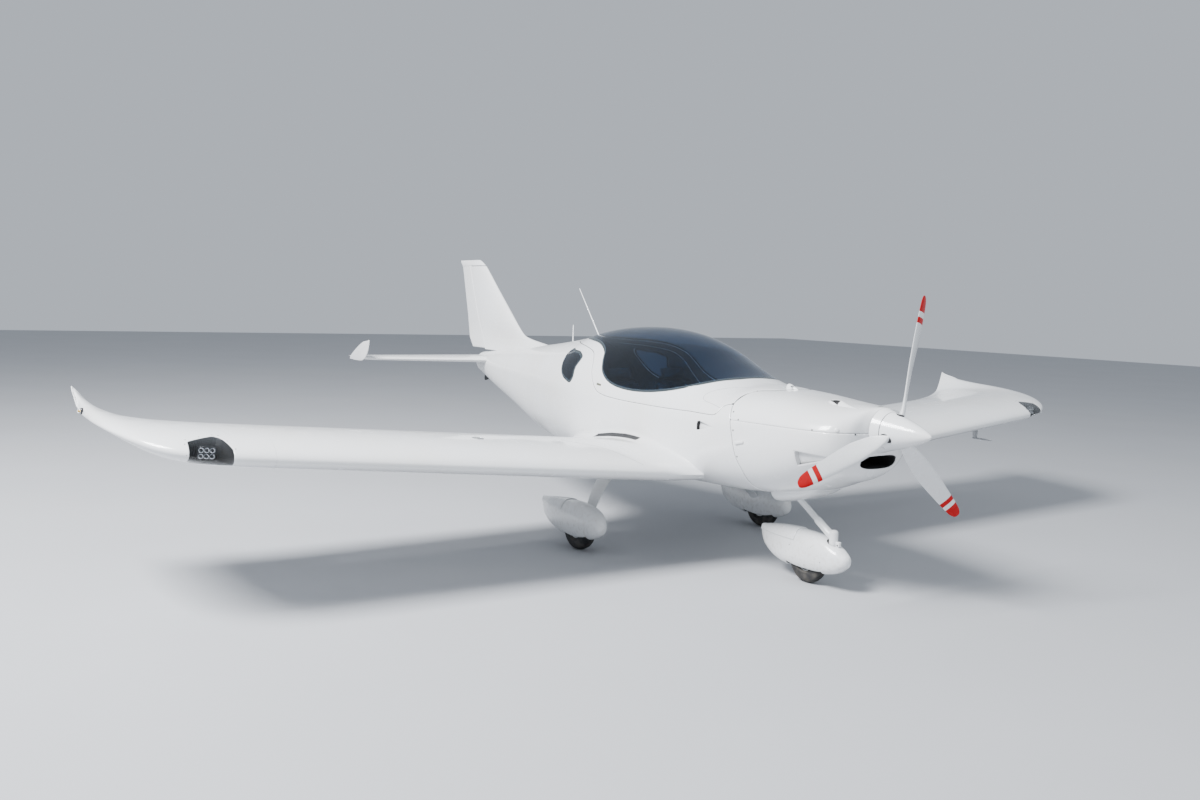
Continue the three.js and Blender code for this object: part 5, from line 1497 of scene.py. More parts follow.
# The propeller. Three white composite blades with black boots at their roots, a narrow red band
# and red tips. The spinner is a spun shell with a hole for each.
PROP_MIDDLE = np.array([row_x(0.263), 0, SPINNER_Z])
FIRST_BLADE = math.radians(11.6)
BLADE_ROWS = np.array([
    # radius, chord, thickness share, angle in degrees
    (0.060, 0.058, 0.80, 60), (0.104, 0.060, 0.55, 58), (0.135, 0.074, 0.40, 53), (0.170, 0.088, 0.30, 48),
    (0.220, 0.104, 0.22, 41.5), (0.280, 0.115, 0.18, 36), (0.360, 0.127, 0.145, 31), (0.440, 0.128, 0.12, 27),
    (0.530, 0.122, 0.11, 23.8), (0.620, 0.112, 0.10, 21), (0.700, 0.102, 0.095, 19.4),
    (0.780, 0.090, 0.09, 18), (0.830, 0.077, 0.09, 17), (0.855, 0.060, 0.09, 16), (0.870, 0.043, 0.09, 16),
    (0.8775, 0.020, 0.10, 16),
])
BLADE_STEPS = 90
BLADE_SECTION = 26
PITCH_AXIS = 0.40
TIP_BANDS = [(0.698, 0.736), (0.772, 1.0)]
BAND_EDGE = 0.0012
BLADE_ANGLES = [FIRST_BLADE - 2 * math.pi / 3 * k for k in range(3)]
SPINNER_LONG = 0.365
SPINNER_BACK = 0.302
SPINNER_WIDE = 0.140
SPINNER_POWER = 0.665
SPINNER_THICK = 0.003

blade_paint = Finish("blade_paint", WHITE, 0.26, {"Coat Weight": 0.5, "Coat Roughness": 0.08})
radius = blade_paint.attribute("radius")
red = None
for low, high in TIP_BANDS:
    outside_low = blade_paint.spread(radius, low, low + BAND_EDGE, 0, 1)
    within_high = blade_paint.spread(radius, high, high + BAND_EDGE, 1, 0)
    inside = blade_paint.combine("MULTIPLY", outside_low, within_high)
    red = inside if red is None else blade_paint.combine("MAXIMUM", red, inside)
tip_red = blade_paint.mix(blade_paint.noise(30, 3), (0.45, 0.003, 0.006, 1), (0.52, 0.004, 0.008, 1))
worn = blade_paint.spread(blade_paint.noise(55, 5), 0.58, 0.75, 0, 0.35)
white_side = blade_paint.mix(worn, (0.80, 0.81, 0.82, 1), (0.66, 0.65, 0.62, 1))
blade_paint.colour(blade_paint.mix(red, white_side, tip_red))
blade_paint.put(blade_paint.shader, {"Coat Weight": blade_paint.spread(red, 0, 1, 0.5, 0)})
blade_paint.put(blade_paint.shader, {"Specular IOR Level": blade_paint.spread(red, 0, 1, 0.5, 0.12)})
blade_paint.gloss(18, 4, 0.3, 0.75, 0.2, 0.36)
blade_paint.grain(380, 1, 0.03, 0.0005)


def blade_outline(rows):
    """A section of the blade for each row: a half-round nose, a humped back and a flat face.

    Along the chord from the front edge, the back stands off by four fifths of the thickness and
    the face by a fifth, both by the wing's thickness law.
    """
    share = np.linspace(0, 1, BLADE_SECTION) ** 1.7
    law = half_thickness(share, 1.0) - 0.0016 * share
    along = np.concatenate([share[::-1], share[1:]])
    side = np.concatenate([-0.35 * law[::-1], 1.55 * law[1:]])
    radius, chord, thick, angle = rows.T
    across = (PITCH_AXIS - along)[None, :] * chord[:, None]
    off = side[None, :] * (thick * chord)[:, None]
    turn = np.radians(angle)[:, None]
    forward = across * np.sin(turn) + off * np.cos(turn)
    sideways = off * np.sin(turn) - across * np.cos(turn)
    return np.broadcast_to(radius[:, None], forward.shape), forward, sideways


def blade_axes(angle):
    """The directions along a blade and across it, both square to the shaft."""
    return np.array([0, math.sin(angle), math.cos(angle)]), np.array([0, math.cos(angle), -math.sin(angle)])


def at_blade(radius, forward, sideways, angle):
    """A point of a blade in the row frame: along the blade, forwards and sideways from its axis."""
    up, beside = blade_axes(angle)
    place = radius[..., None] * up + sideways[..., None] * beside + forward[..., None] * np.array([1.0, 0, 0])
    return place + PROP_MIDDLE


blade_curve = smooth_rows(BLADE_ROWS * (1, 1, 1, 0.002), BLADE_STEPS) / (1, 1, 1, 0.002)
for k, angle in enumerate(BLADE_ANGLES):
    radius, forward, sideways = blade_outline(blade_curve)
    points, faces = lofted(at_blade(radius, forward, sideways, angle))
    reach = np.linalg.norm(points[:, 1:] - (0, SPINNER_Z), axis=1)
    add_piece(f"blade_{k + 1}_skin", points, faces, blade_paint.material, "propeller",
              stands_for=[f"blade_{k + 1}"], sharp=50, radius=reach)

# The spinner and the boots. The shell's holes follow the blade roots with a finger's width of
# room, and a soft black boot fills each hole round the blade.
BOOT_WIDE = 0.038
BOOT_HIGH = 0.026
BOOT_ANGLE = math.radians(50)
BOOT_LAYERS = [(0.092, 1.05), (0.100, 1.0), (0.108, 0.86), (0.1125, 0.72), (0.1135, 0.60)]
BACK_ROWS = [(0.2985, 0.1190), (0.3010, 0.1190), (0.3010, 0.06), (0.3070, 0.055)]


def spinner_points(places):
    """Points of the spinner: radius = widest times the station's share of the length, to a power."""
    share = np.clip(places[:, 0], 0, 1)
    radius = SPINNER_WIDE * share**SPINNER_POWER
    y = radius * np.cos(places[:, 1])
    z = SPINNER_Z + radius * np.sin(places[:, 1])
    return row_points(SPINNER_LONG * share, y, z)


def outside_spinner(points):
    """Above zero within the hole round a blade root, an ellipse turned with the blade's pitch."""
    value = np.full(len(points), -1.0)
    for angle in BLADE_ANGLES:
        up, beside = blade_axes(angle)
        from_axis = points - PROP_MIDDLE
        forward, sideways = from_axis[:, 0], from_axis @ beside
        long = forward * math.sin(BOOT_ANGLE) - sideways * math.cos(BOOT_ANGLE)
        wide = forward * math.cos(BOOT_ANGLE) + sideways * math.sin(BOOT_ANGLE)
        hole = (1 - np.hypot(long / BOOT_WIDE, wide / BOOT_HIGH)) * BOOT_HIGH
        value = np.maximum(value, np.where(from_axis @ up > 0.03, hole, -1.0))
    return value


shares = np.concatenate([np.linspace(0, 0.28, 18), np.linspace(0.3, SPINNER_BACK / SPINNER_LONG, 46)])
around = np.linspace(0, 2 * math.pi, 2 * AROUND_STEPS + 1)
spinner = skin_panel(spinner_points, shares, around, outside_spinner, SPINNER_THICK)
# The shell's inner side is near-black: painted shade inside the spinner.
add_lined("spinner_shell", spinner, white_over_painted_shade, "propeller", ["spinner"])

boot_rubber = finished(
    "boot_rubber", (0.016, 0.016, 0.018, 1), 0.6,
    tones=(24, 4, (0.012, 0.012, 0.014, 1), (0.03, 0.03, 0.032, 1)), grain=(260, 2, 0.2, 0.0006),
)
turn = circle(48)
for k, angle in enumerate(BLADE_ANGLES):
    rings = []
    for reach, grow in BOOT_LAYERS:
        long, wide = BOOT_WIDE * grow * np.cos(turn), BOOT_HIGH * grow * np.sin(turn)
        forward = long * math.sin(BOOT_ANGLE) + wide * math.cos(BOOT_ANGLE)
        sideways = -long * math.cos(BOOT_ANGLE) + wide * math.sin(BOOT_ANGLE)
        rings.append(at_blade(np.full(48, reach), forward, sideways, angle))
    add_piece(f"blade_boot_{k + 1}", *lofted(rings), boot_rubber, "propeller", "black_plastic")
turn = circle(96)
rings = [
    row_points(station, reach * np.cos(turn), SPINNER_Z + reach * np.sin(turn))
    for station, reach in BACK_ROWS
]
add_piece("spinner_back", *lofted(rings), black_and_painted_shade, "propeller", "black_plastic", ["propeller_hub"])

# The nose ring. The fixed white collar that carries the cowl's lines up to the spinner, bonded to
# the cowl's front and bent in behind the spinner.
RING_ROWS = [(0.3072, 0.1215), (0.3078, 0.1246), (0.330, 0.1322), (0.350, 0.1388), (0.3690, 0.1452)]
RING_STEPS = 24


def ring_points(places):
    """Points of the ring: a radius for each station of its rows, turned about the shaft."""
    radius = np.interp(places[:, 0], *np.transpose(RING_ROWS))
    y, z = radius * np.cos(places[:, 1]), SPINNER_Z + radius * np.sin(places[:, 1])
    return row_points(places[:, 0], y, z)


stations = np.concatenate([[RING_ROWS[0][0]], np.linspace(RING_ROWS[1][0], RING_ROWS[-1][0], RING_STEPS)])
places, faces = sheet_grid(stations, around)
points, faces, _ = weld(ring_points(places), faces)
add_piece("nose_ring", *plate(points, faces, SPINNER_THICK), white_shell)


# The wheels. Small smooth-shouldered tyres with four grooves on light alloy rims, each on a plain
# axle. The nose wheel is slightly smaller.
MAIN_WHEEL = {"station": 2.458, "track": 0.938, "r": 0.175, "width": 0.112, "rim": 0.088}
NOSE_WHEEL = {"station": 0.962, "r": 0.155, "width": 0.096, "rim": 0.072}
TYRE_TURNS = 128
RIM_TURNS = 72
TYRE_GROOVES = [(-0.75, -0.62), (-0.28, -0.15), (0.15, 0.28), (0.62, 0.75)]
GROOVE_DEEP = 0.004
tyre_rubber = Finish("tyre_rubber", (0.022, 0.022, 0.023, 1), 0.72)
dusty = tyre_rubber.spread(tyre_rubber.noise(18, 5), 0.42, 0.72, 0, 1)
tyre_rubber.colour(tyre_rubber.mix(dusty, (0.018, 0.018, 0.019, 1), (0.07, 0.064, 0.055, 1)))
tyre_rubber.gloss(60, 3, 0.3, 0.7, 0.62, 0.9)
tyre_rubber.grain(340, 3, 0.25, 0.0007)
rim_metal = finished(
    "rim_metal", (0.62, 0.63, 0.64, 1), 0.35, {"Metallic": 1.0},
    tones=(40, 4, (0.50, 0.51, 0.52, 1), (0.68, 0.69, 0.70, 1)), gloss=(90, 3, 0.3, 0.7, 0.28, 0.48),
)


def turned(profile, centre, steps):
    """A closed ring turned about a level cross axis: profile rows are radius and offset across."""
    radius, across = np.asarray(profile).T
    angle = circle(steps)
    x = centre[0] + np.outer(np.cos(angle), radius)
    z = centre[2] + np.outer(np.sin(angle), radius)
    y = centre[1] + np.broadcast_to(across, x.shape)
    points = np.stack([x, y, z], axis=-1)
    n, m = points.shape[:2]
    i, j = np.meshgrid(np.arange(n), np.arange(m), indexing="ij")
    a, b = i * m + j, i * m + (j + 1) % m
    c, d = ((i + 1) % n) * m + (j + 1) % m, ((i + 1) % n) * m + j
    quads = np.stack([a, b, c, d], axis=-1).reshape(-1, 4)
    faces = np.concatenate([quads[:, [0, 1, 2]], quads[:, [0, 2, 3]]])
    return points.reshape(-1, 3), facing_out(points.reshape(-1, 3) - centre, faces)


def tyre_profile(r, width, rim):
    """The tyre's cross outline: flat tread with grooves, round shoulders, bulged walls to the rim."""
    half = width / 2
    crown = 0.42 * width / 2
    tread = []
    for low, high in TYRE_GROOVES:
        for share, depth in ((low - 0.02, 0), (low, GROOVE_DEEP), (high, GROOVE_DEEP), (high + 0.02, 0)):
            y = share * crown * 1.25
            tread.append((r - depth - 0.004 * (abs(y) / crown) ** 2, y))
    angle = np.linspace(0.12, 1, 16)[:-1] * math.pi / 2
    wall_r = rim + (r - 0.006 - rim) * np.cos(angle) ** 0.75
    wall_y = crown + (half - crown) * np.sin(angle) ** 0.7
    bead = [(rim + 0.010, half * 0.90), (rim + 0.002, half * 0.80), (rim - 0.004, half * 0.74)]
    right = [(radius, y) for radius, y in zip(wall_r, wall_y) if radius > rim + 0.012] + bead
    left = [(radius, -y) for radius, y in reversed(right)]
    return np.array(left + tread + right)


def rim_profile(rim, width):
    """The rim's cross outline: flanges at the tyre's beads and a dished disc between."""
    w = width * 0.37
    near = [
        (0.016, -w * 0.75), (0.030, -w * 0.75), (0.034, -w * 0.45), (rim * 0.62, -w * 0.35),
        (rim * 0.80, -w * 0.55), (rim * 0.90, -w), (rim + 0.003, -w), (rim + 0.003, -w * 0.9),
        (rim * 0.94, -w * 0.8),
    ]
    return np.array(near + [(radius, -y) for radius, y in reversed(near)])


def add_wheel(wheel, y, kind, hub, end=""):
    """A wheel's tyre and its rim, as two pieces that turn together."""
    centre = np.array([row_x(wheel["station"]), y, wheel["r"]])
    body = f"{kind}_wheel{end}"
    tyre = turned(tyre_profile(wheel["r"], wheel["width"], wheel["rim"]), centre, TYRE_TURNS)
    add_piece(
        f"{kind}_rubber{end}", *tyre, tyre_rubber.material, body, "tyre", [f"{kind}_tyre{end}"], sharp=40,
    )
    rim = turned(rim_profile(wheel["rim"], wheel["width"]), centre, RIM_TURNS)
    add_piece(f"{kind}_{hub}{end}", *rim, rim_metal, body, "bare_metal", [f"{kind}_rim{end}"], sharp=40)


add_wheel(NOSE_WHEEL, 0.0, "nose", "wheel")
for side, name in SIDES:
    add_wheel(MAIN_WHEEL, side * MAIN_WHEEL["track"], "main", "hub", f"_{name}")

# The spats. Long pointed glass fibre covers, fullest near the axle, with a straight-edged opening
# under the tyre and a raised cap along the top of the rear half.
MAIN_SPAT = np.array([
    (2.140, 0.2186, 0.2184, 0.0004), (2.141, 0.232, 0.205, 0.012), (2.148, 0.258, 0.180, 0.034),
    (2.165, 0.284, 0.160, 0.052), (2.225, 0.328, 0.126, 0.082), (2.340, 0.362, 0.094, 0.098),
    (2.460, 0.366, 0.082, 0.100), (2.640, 0.358, 0.088, 0.090), (2.830, 0.334, 0.116, 0.058),
    (2.960, 0.314, 0.170, 0.026), (3.012, 0.307, 0.236, 0.008), (3.0135, 0.2725, 0.2705, 0.0005),
])
NOSE_SPAT = np.array([
    (0.5975, 0.2155, 0.2145, 0.0005), (0.599, 0.226, 0.204, 0.012), (0.606, 0.244, 0.186, 0.030),
    (0.622, 0.262, 0.168, 0.046), (0.680, 0.298, 0.128, 0.072), (0.790, 0.344, 0.096, 0.086),
    (0.900, 0.361, 0.084, 0.090), (1.080, 0.362, 0.084, 0.084), (1.260, 0.346, 0.106, 0.058),
    (1.390, 0.322, 0.172, 0.026), (1.438, 0.310, 0.246, 0.008), (1.4395, 0.279, 0.277, 0.0005),
])
SPAT_POWER = 0.82
SPAT_ROWS = 90
SPAT_ROUND = 96
SPAT_THICK = 0.004
SPAT_CAP_RISE = 0.007


def spat_skin(table, y, rise=0.0):
    """A function from pairs of length share and angle to points of a spat about a middle plane."""
    curve = smooth_rows(table, 600)
    places_at = np.linspace(0, 1, 601)

    def skin(places):
        rows = np.stack([np.interp(places[:, 0], places_at, column) for column in curve.T], axis=1)
        c, s = np.cos(places[:, 1]), np.sin(places[:, 1])
        across = (rows[:, 3] + rise) * np.sign(c) * np.abs(c) ** SPAT_POWER
        middle, half = (rows[:, 1] + rows[:, 2]) / 2, (rows[:, 1] - rows[:, 2]) / 2 + rise
        z = middle + half * np.sign(s) * np.abs(s) ** SPAT_POWER
        return row_points(rows[:, 0], y + across, z)

    return skin


def mouth_distance(points, first, last, half, top, y):
    """Above zero within the opening under the tyre: a box from first to last station, below top."""
    station = NOSE_X - points[:, 0]
    inside = np.stack([station - first, last - station, half - np.abs(points[:, 1] - y), top - points[:, 2]])
    return inside.min(axis=0)


def add_spat(name, table, y, mouth, body, extra_cut=None):
    """A wheel's cover as a shell open below, and the raised cap along its rear half."""
    skin = spat_skin(table, y)

    def outside(points):
        value = mouth_distance(points, *mouth, y)
        return value if extra_cut is None else np.maximum(value, extra_cut(points))

    grid = np.linspace(0, 1, SPAT_ROWS), np.linspace(-math.pi / 2, 1.5 * math.pi, SPAT_ROUND + 1)
    # The shell's inner side is near-black: painted shade inside the spat.
    add_lined(f"{name}_shell", skin_panel(skin, *grid, outside, SPAT_THICK), white_over_painted_shade, body, [name])
    first_cap = 0.52 * table[-1, 0] + 0.48 * table[0, 0]

    def outside_cap(points):
        station = NOSE_X - points[:, 0]
        middle = np.interp(station, table[:, 0], table[:, 1] * 0.74 + table[:, 2] * 0.26)
        return np.maximum(first_cap - station, middle - points[:, 2])

    lifted = spat_skin(table, y, SPAT_CAP_RISE)
    grid = np.linspace(0.45, 1, 50), np.linspace(0.02 * math.pi, 0.98 * math.pi, 49)
    points, faces, _ = skin_panel(lifted, *grid, outside_cap, SPAT_CAP_RISE + 0.002)
    add_piece(f"{name}_cap", points, facing_out(points, faces), white_shell, body)


MAIN_MOUTH = (2.272, 2.644, 0.066, 0.150)
NOSE_MOUTH = (0.790, 1.134, 0.058, 0.140)
BARREL = {"station": 0.745, "hole": 0.042}


def barrel_hole(points):
    """Above zero within the round hole that the leg's barrel passes through."""
    away = np.hypot(NOSE_X - points[:, 0] - BARREL["station"], points[:, 1])
    return np.where(points[:, 2] > 0.25, BARREL["hole"] - away, -1.0)


for side, name in SIDES:
    add_spat(f"main_spat_{name}", MAIN_SPAT, side * MAIN_WHEEL["track"], MAIN_MOUTH, "airframe")
add_spat("nose_spat", NOSE_SPAT, 0.0, NOSE_MOUTH, "nose_swivel", barrel_hole)

# The main legs. Flat tapered composite springs, which come out of the wing roots, curve down and
# end upright on the inner side of the spats.
LEG_ROWS = np.array([
    # out, height, station, chord, thickness, lean in degrees
    (0.474, 0.640, 2.606, 0.196, 0.034, 55.0), (0.520, 0.590, 2.600, 0.190, 0.034, 55.0),
    (0.640, 0.505, 2.580, 0.168, 0.032, 50.0), (0.720, 0.425, 2.548, 0.148, 0.030, 44.0),
    (0.800, 0.330, 2.500, 0.128, 0.028, 36.0), (0.845, 0.270, 2.474, 0.110, 0.027, 22.0),
    (0.862, 0.210, 2.460, 0.100, 0.026, 8.0), (0.866, 0.140, 2.458, 0.088, 0.024, 0.0),
])


def leg_rings(side):
    """Rings down the leg: a rounded streamline section of the row's chord and thickness, leaning."""
    rows = smooth_rows(LEG_ROWS, 46)
    turn = circle(40)
    rings = []
    for out, z, station, chord, thick, lean in rows:
        along = chord / 2 * np.cos(turn)
        off = thick / 2 * np.sign(np.sin(turn)) * np.abs(np.sin(turn)) ** 0.8 * (1 + 0.35 * np.cos(turn))
        tilt = math.radians(lean)
        rings.append(
            row_points(station + along, side * (out + off * math.cos(tilt)), z + off * math.sin(tilt))
        )
    return rings


for side, name in SIDES:
    leg = lofted(leg_rings(side))
    add_piece(f"main_leg_{name}_spring", *leg, white_shell, stands_for=[f"main_leg_{name}"])

# The nose leg. A raked white tube from the firewall to an upright pivot barrel, thickened over
# its lower third.
NOSE_LEG_TOP = np.array([1.285, 0.0, 0.690])
NOSE_LEG_LOW = np.array([0.745, 0.0, 0.355])
NOSE_LEG_ROWS = [
    # share of the length, radius
    (0.0, 0.021), (0.40, 0.021), (0.70, 0.021), (0.712, 0.0255), (0.722, 0.0265), (0.86, 0.0265),
    (0.93, 0.029), (0.985, 0.028), (1.0, 0.020),
]
BARREL_ROWS = [
    # height, radius
    (0.306, 0.026), (0.308, 0.030), (0.395, 0.030), (0.402, 0.027), (0.410, 0.018), (0.412, 0.006),
]


def tube_rings(path, radii, turns):
    """Circles of the given radii set square to a path of station, distance out and height rows."""
    path = np.asarray(path, float)
    run = np.gradient(path, axis=0)
    run /= np.linalg.norm(run, axis=1, keepdims=True)
    out = np.array([0.0, 1.0, 0.0])
    up = np.cross(run, out)
    turn = circle(turns)
    rings = path[:, None] + np.asarray(radii)[:, None, None] * (
        np.cos(turn)[None, :, None] * out + np.sin(turn)[None, :, None] * up[:, None]
    )
    rings[..., 0] = row_x(rings[..., 0])
    return rings


share, radius = np.transpose(NOSE_LEG_ROWS)
path = NOSE_LEG_TOP + share[:, None] * (NOSE_LEG_LOW - NOSE_LEG_TOP)
turn = circle(48)
barrel = lofted([
    row_points(BARREL["station"] + r * np.cos(turn), r * np.sin(turn), z)
    for z, r in BARREL_ROWS
])
add_piece(
    "nose_leg_strut", *joined([lofted(tube_rings(path, radius, 40)), barrel]), white_shell,
    stands_for=["nose_leg"],
)


# The glare shield and the instrument panel. A flocked hood over a powder-coated sheet that carries
# two glass displays, three round dials, a row of switches and the throttle. Screwed to the hull.
PANEL_FOOT = (1.744, 1.003)
PANEL_HEAD = (1.768, 1.263)
PANEL_SHEET = 0.004
TRIM_INSET = 0.043
HOOD_ROWS = [
    (1.402, 1.262), (1.47, 1.279), (1.56, 1.293), (1.66, 1.295), (1.75, 1.289), (1.769, 1.279),
    (1.766, 1.264),
]
DISPLAY = {"out": 0.245, "up": 0.165, "size": (0.205, 0.150, 0.014)}
DIAL_UP = (0.215, 0.145, 0.075)
DIAL_R = 0.029
TICKS = 12
SWITCH_OUTS = np.linspace(-0.34, 0.34, 12)
flock = trim_cloth("black_flock", (0.012, 0.012, 0.013, 1), (0.022, 0.022, 0.024, 1), 1400)
panel_coat = finished(
    "panel_coat", (0.05, 0.052, 0.056, 1), 0.55,
    tones=(30, 3, (0.045, 0.047, 0.05, 1), (0.062, 0.064, 0.068, 1)), grain=(900, 1, 0.12, 0.0004),
)
black_plastic = finished(
    "black_plastic", (0.018, 0.018, 0.02, 1), 0.42,
    tones=(35, 4, (0.014, 0.014, 0.016, 1), (0.03, 0.03, 0.032, 1)), gloss=(70, 3, 0.3, 0.7, 0.34, 0.56),
    grain=(700, 2, 0.08, 0.0003),
)
display_glass = finished(
    "display_glass", (0.006, 0.008, 0.011, 1), 0.06, {"Coat Weight": 1.0},
    gloss=(12, 4, 0.35, 0.8, 0.04, 0.14),
)
mark_paint = finished(
    "mark_paint", (0.72, 0.73, 0.72, 1), 0.5, tones=(200, 2, (0.66, 0.67, 0.66, 1), (0.76, 0.77, 0.76, 1)),
)


def spun(rows, centre, axis, turns=24):
    """A closed turned form: circles of each row's radius at its height along an axis."""
    axis = np.asarray(axis, float) / np.linalg.norm(axis)
    across = np.cross(axis, (1.0, 0.0, 0.0) if abs(axis[1]) > 0.9 else (0.0, 1.0, 0.0))
    across /= np.linalg.norm(across)
    turn = circle(turns)
    around = np.cos(turn)[:, None] * across + np.sin(turn)[:, None] * np.cross(axis, across)
    return lofted([centre + height * axis + radius * around for radius, height in rows])


def soft_loop(a, b, r, steps=5):
    """A rectangle of half sizes a and b with corners of radius r, as a closed loop."""
    quarter = np.linspace(0, math.pi / 2, steps)
    loop = []
    for k, (right, up) in enumerate([(1, 1), (-1, 1), (-1, -1), (1, -1)]):
        angle = quarter + k * math.pi / 2
        loop.append(np.stack([right * (a - r) + r * np.cos(angle), up * (b - r) + r * np.sin(angle)], axis=1))
    return np.concatenate(loop)


def soft_block(centre, size, edge, axes, corner=None):
    """A block with rounded edges: rounded rectangles stacked along the third axis, whose first and
    last few draw in along a quarter circle."""
    half = np.asarray(size) / 2
    corner = corner or edge
    angle = np.linspace(math.pi / 2, 0, 4)
    level = list(zip(-half[2] + edge * (1 - np.sin(angle)), edge * (1 - np.cos(angle))))
    level += [(-height, inset) for height, inset in level[::-1]]
    rings = []
    for height, inset in level:
        loop = soft_loop(half[0] - inset, half[1] - inset, max(corner - inset, 0.0004))
        rings.append(centre + height * axes[2] + loop[:, :1] * axes[0] + loop[:, 1:] * axes[1])
    return lofted(rings)


def trim_sheet(rows, steps, thickness):
    """A sheet through station and height rows that reaches the cabin walls on both sides."""
    curve = smooth_rows([(s, z, 0, 0) for s, z in rows], steps)
    s, share = np.meshgrid(curve[:, 0], np.linspace(-1, 1, 61), indexing="ij")
    z = np.broadcast_to(curve[:, 1:2], s.shape)
    return plate(*net(row_points(s, share * side_y(s, z, TRIM_INSET), z)), thickness)


add_piece(
    "glare_shield", *trim_sheet(HOOD_ROWS, 40, 0.010), flock, slot="cabin_trim",
    stands_for=["instrument_panel"],
)
add_piece(
    "panel_sheet", *trim_sheet([PANEL_FOOT, PANEL_HEAD], 30, PANEL_SHEET), panel_coat, slot="cabin_trim",
)

lean = math.atan2(PANEL_HEAD[0] - PANEL_FOOT[0], PANEL_HEAD[1] - PANEL_FOOT[1])
PANEL_AXES = np.array(
    [[0, 1, 0], [-math.sin(lean), 0, math.cos(lean)], [-math.cos(lean), 0, -math.sin(lean)]]
)


def on_panel(out, up, proud=0.0):
    """A point on the panel's face: distance out, height up the sheet, and how far it stands proud."""
    foot = np.array([row_x(PANEL_FOOT[0]), 0, PANEL_FOOT[1]])
    return foot + out * PANEL_AXES[0] + up * PANEL_AXES[1] + (PANEL_SHEET + proud) * PANEL_AXES[2]


def tick(centre, angle, reach, long, wide, proud):
    """A thin bar on a dial's face, pointing out from its middle at an angle."""
    run = math.cos(angle) * PANEL_AXES[1] + math.sin(angle) * PANEL_AXES[0]
    across = np.cross(PANEL_AXES[2], run)
    place = centre + run * (reach + long / 2) + PANEL_AXES[2] * proud
    return soft_block(place, (wide, long, 0.0006), 0.00025, np.stack([across, run, PANEL_AXES[2]]))


bezels, faces_of_glass, marks = [], [], []
for side in (1, -1):
    middle = on_panel(side * DISPLAY["out"], DISPLAY["up"], 0.004)
    bezels.append(soft_block(middle, DISPLAY["size"], 0.004, PANEL_AXES, 0.010))
    glass_size = (DISPLAY["size"][0] - 0.026, DISPLAY["size"][1] - 0.024, 0.003)
    faces_of_glass.append(soft_block(middle + 0.0065 * PANEL_AXES[2], glass_size, 0.0008, PANEL_AXES, 0.004))
for up in DIAL_UP:
    middle = on_panel(0.0, up)
    ring_rows = [
        (DIAL_R + 0.005, -0.003), (DIAL_R + 0.005, 0.004), (DIAL_R + 0.002, 0.007), (DIAL_R, 0.006),
        (DIAL_R, 0.002),
    ]
    bezels.append(spun(ring_rows, middle, PANEL_AXES[2], 48))
    faces_of_glass.append(
        spun([(DIAL_R, -0.001), (DIAL_R, 0.0024), (0.001, 0.0026)], middle, PANEL_AXES[2], 48)
    )
    for k in range(TICKS):
        marks.append(tick(middle, 2 * math.pi * k / TICKS, DIAL_R * 0.74, DIAL_R * 0.18, 0.0012, 0.0029))
    marks.append(tick(middle, 0.9 + 20 * up, 0.0, DIAL_R * 0.66, 0.0014, 0.0032))
for out in SWITCH_OUTS:
    foot = on_panel(out, 0.036)
    bezels.append(spun([(0.0075, -0.001), (0.0075, 0.002), (0.005, 0.004)], foot, PANEL_AXES[2], 18))
    lever = PANEL_AXES[2] + 0.4 * PANEL_AXES[1]
    bezels.append(spun([(0.0022, 0.0), (0.0026, 0.010), (0.0036, 0.018), (0.0022, 0.021)], foot, lever, 14))
knob_rows = [
    (0.004, -0.002), (0.004, 0.034), (0.012, 0.036), (0.0155, 0.044), (0.0145, 0.056), (0.008, 0.062),
]
bezels.append(spun(knob_rows, on_panel(0.075, 0.03), PANEL_AXES[2], 32))
add_piece("panel_fittings", *joined(bezels), black_plastic, slot="black_plastic")
add_piece("panel_glass", *joined(faces_of_glass), display_glass, slot="black_plastic")
add_piece("dial_marks", *joined(marks), mark_paint, slot="black_plastic")

# The centre console. A moulded trim box along the tunnel, which slopes down from the panel, with
# a flap lever, a trim wheel and two small knobs on top.
CONSOLE_ROWS = [
    (1.776, 0.896), (1.84, 0.862), (1.91, 0.828), (2.03, 0.808), (2.16, 0.799), (2.5, 0.798), (2.698, 0.796),
]
CONSOLE_HALF = 0.057
CONSOLE_FOOT = 0.594
console_curve = smooth_rows([(s, z, 0, 0) for s, z in CONSOLE_ROWS], 50)
rings = []
for station, top in console_curve[:, :2]:
    loop = soft_loop(CONSOLE_HALF, (top - CONSOLE_FOOT) / 2, 0.014, 6)
    middle = (top + CONSOLE_FOOT) / 2
    rings.append(row_points(station, loop[:, 0], loop[:, 1] + middle))
trim_plastic = finished(
    "trim_plastic", (0.07, 0.073, 0.078, 1), 0.6,
    tones=(14, 4, (0.06, 0.062, 0.067, 1), (0.085, 0.088, 0.094, 1)), gloss=(40, 3, 0.3, 0.7, 0.5, 0.72),
    grain=(620, 3, 0.22, 0.0005),
)
console = lofted(rings)
add_piece("console_box", *console, trim_plastic, slot="cabin_trim", stands_for=["centre_console"])
levers = [
    spun([(0.022, -0.004), (0.022, 0.003), (0.017, 0.006)], (row_x(2.24), 0.026, 0.799), (0, 0, 1), 32),
    spun([(0.0045, 0.0), (0.0045, 0.085), (0.011, 0.090), (0.0135, 0.103), (0.010, 0.116), (0.003, 0.119)],
         (row_x(2.10), -0.02, 0.798), (0.35, 0, 1), 24),
    spun([(0.0045, 0.0), (0.0045, 0.13), (0.009, 0.133), (0.010, 0.185), (0.006, 0.192)],
         (row_x(2.40), -0.018, 0.795), (0.9, 0, 0.55), 24),
]
wheel_rows = [(0.030, -0.007), (0.034, -0.004), (0.034, 0.004), (0.030, 0.007)]
levers.append(spun(wheel_rows, (row_x(2.02), 0.03, 0.803), (0, 1, 0), 40))
add_piece("console_levers", *joined(levers), black_plastic, slot="black_plastic")

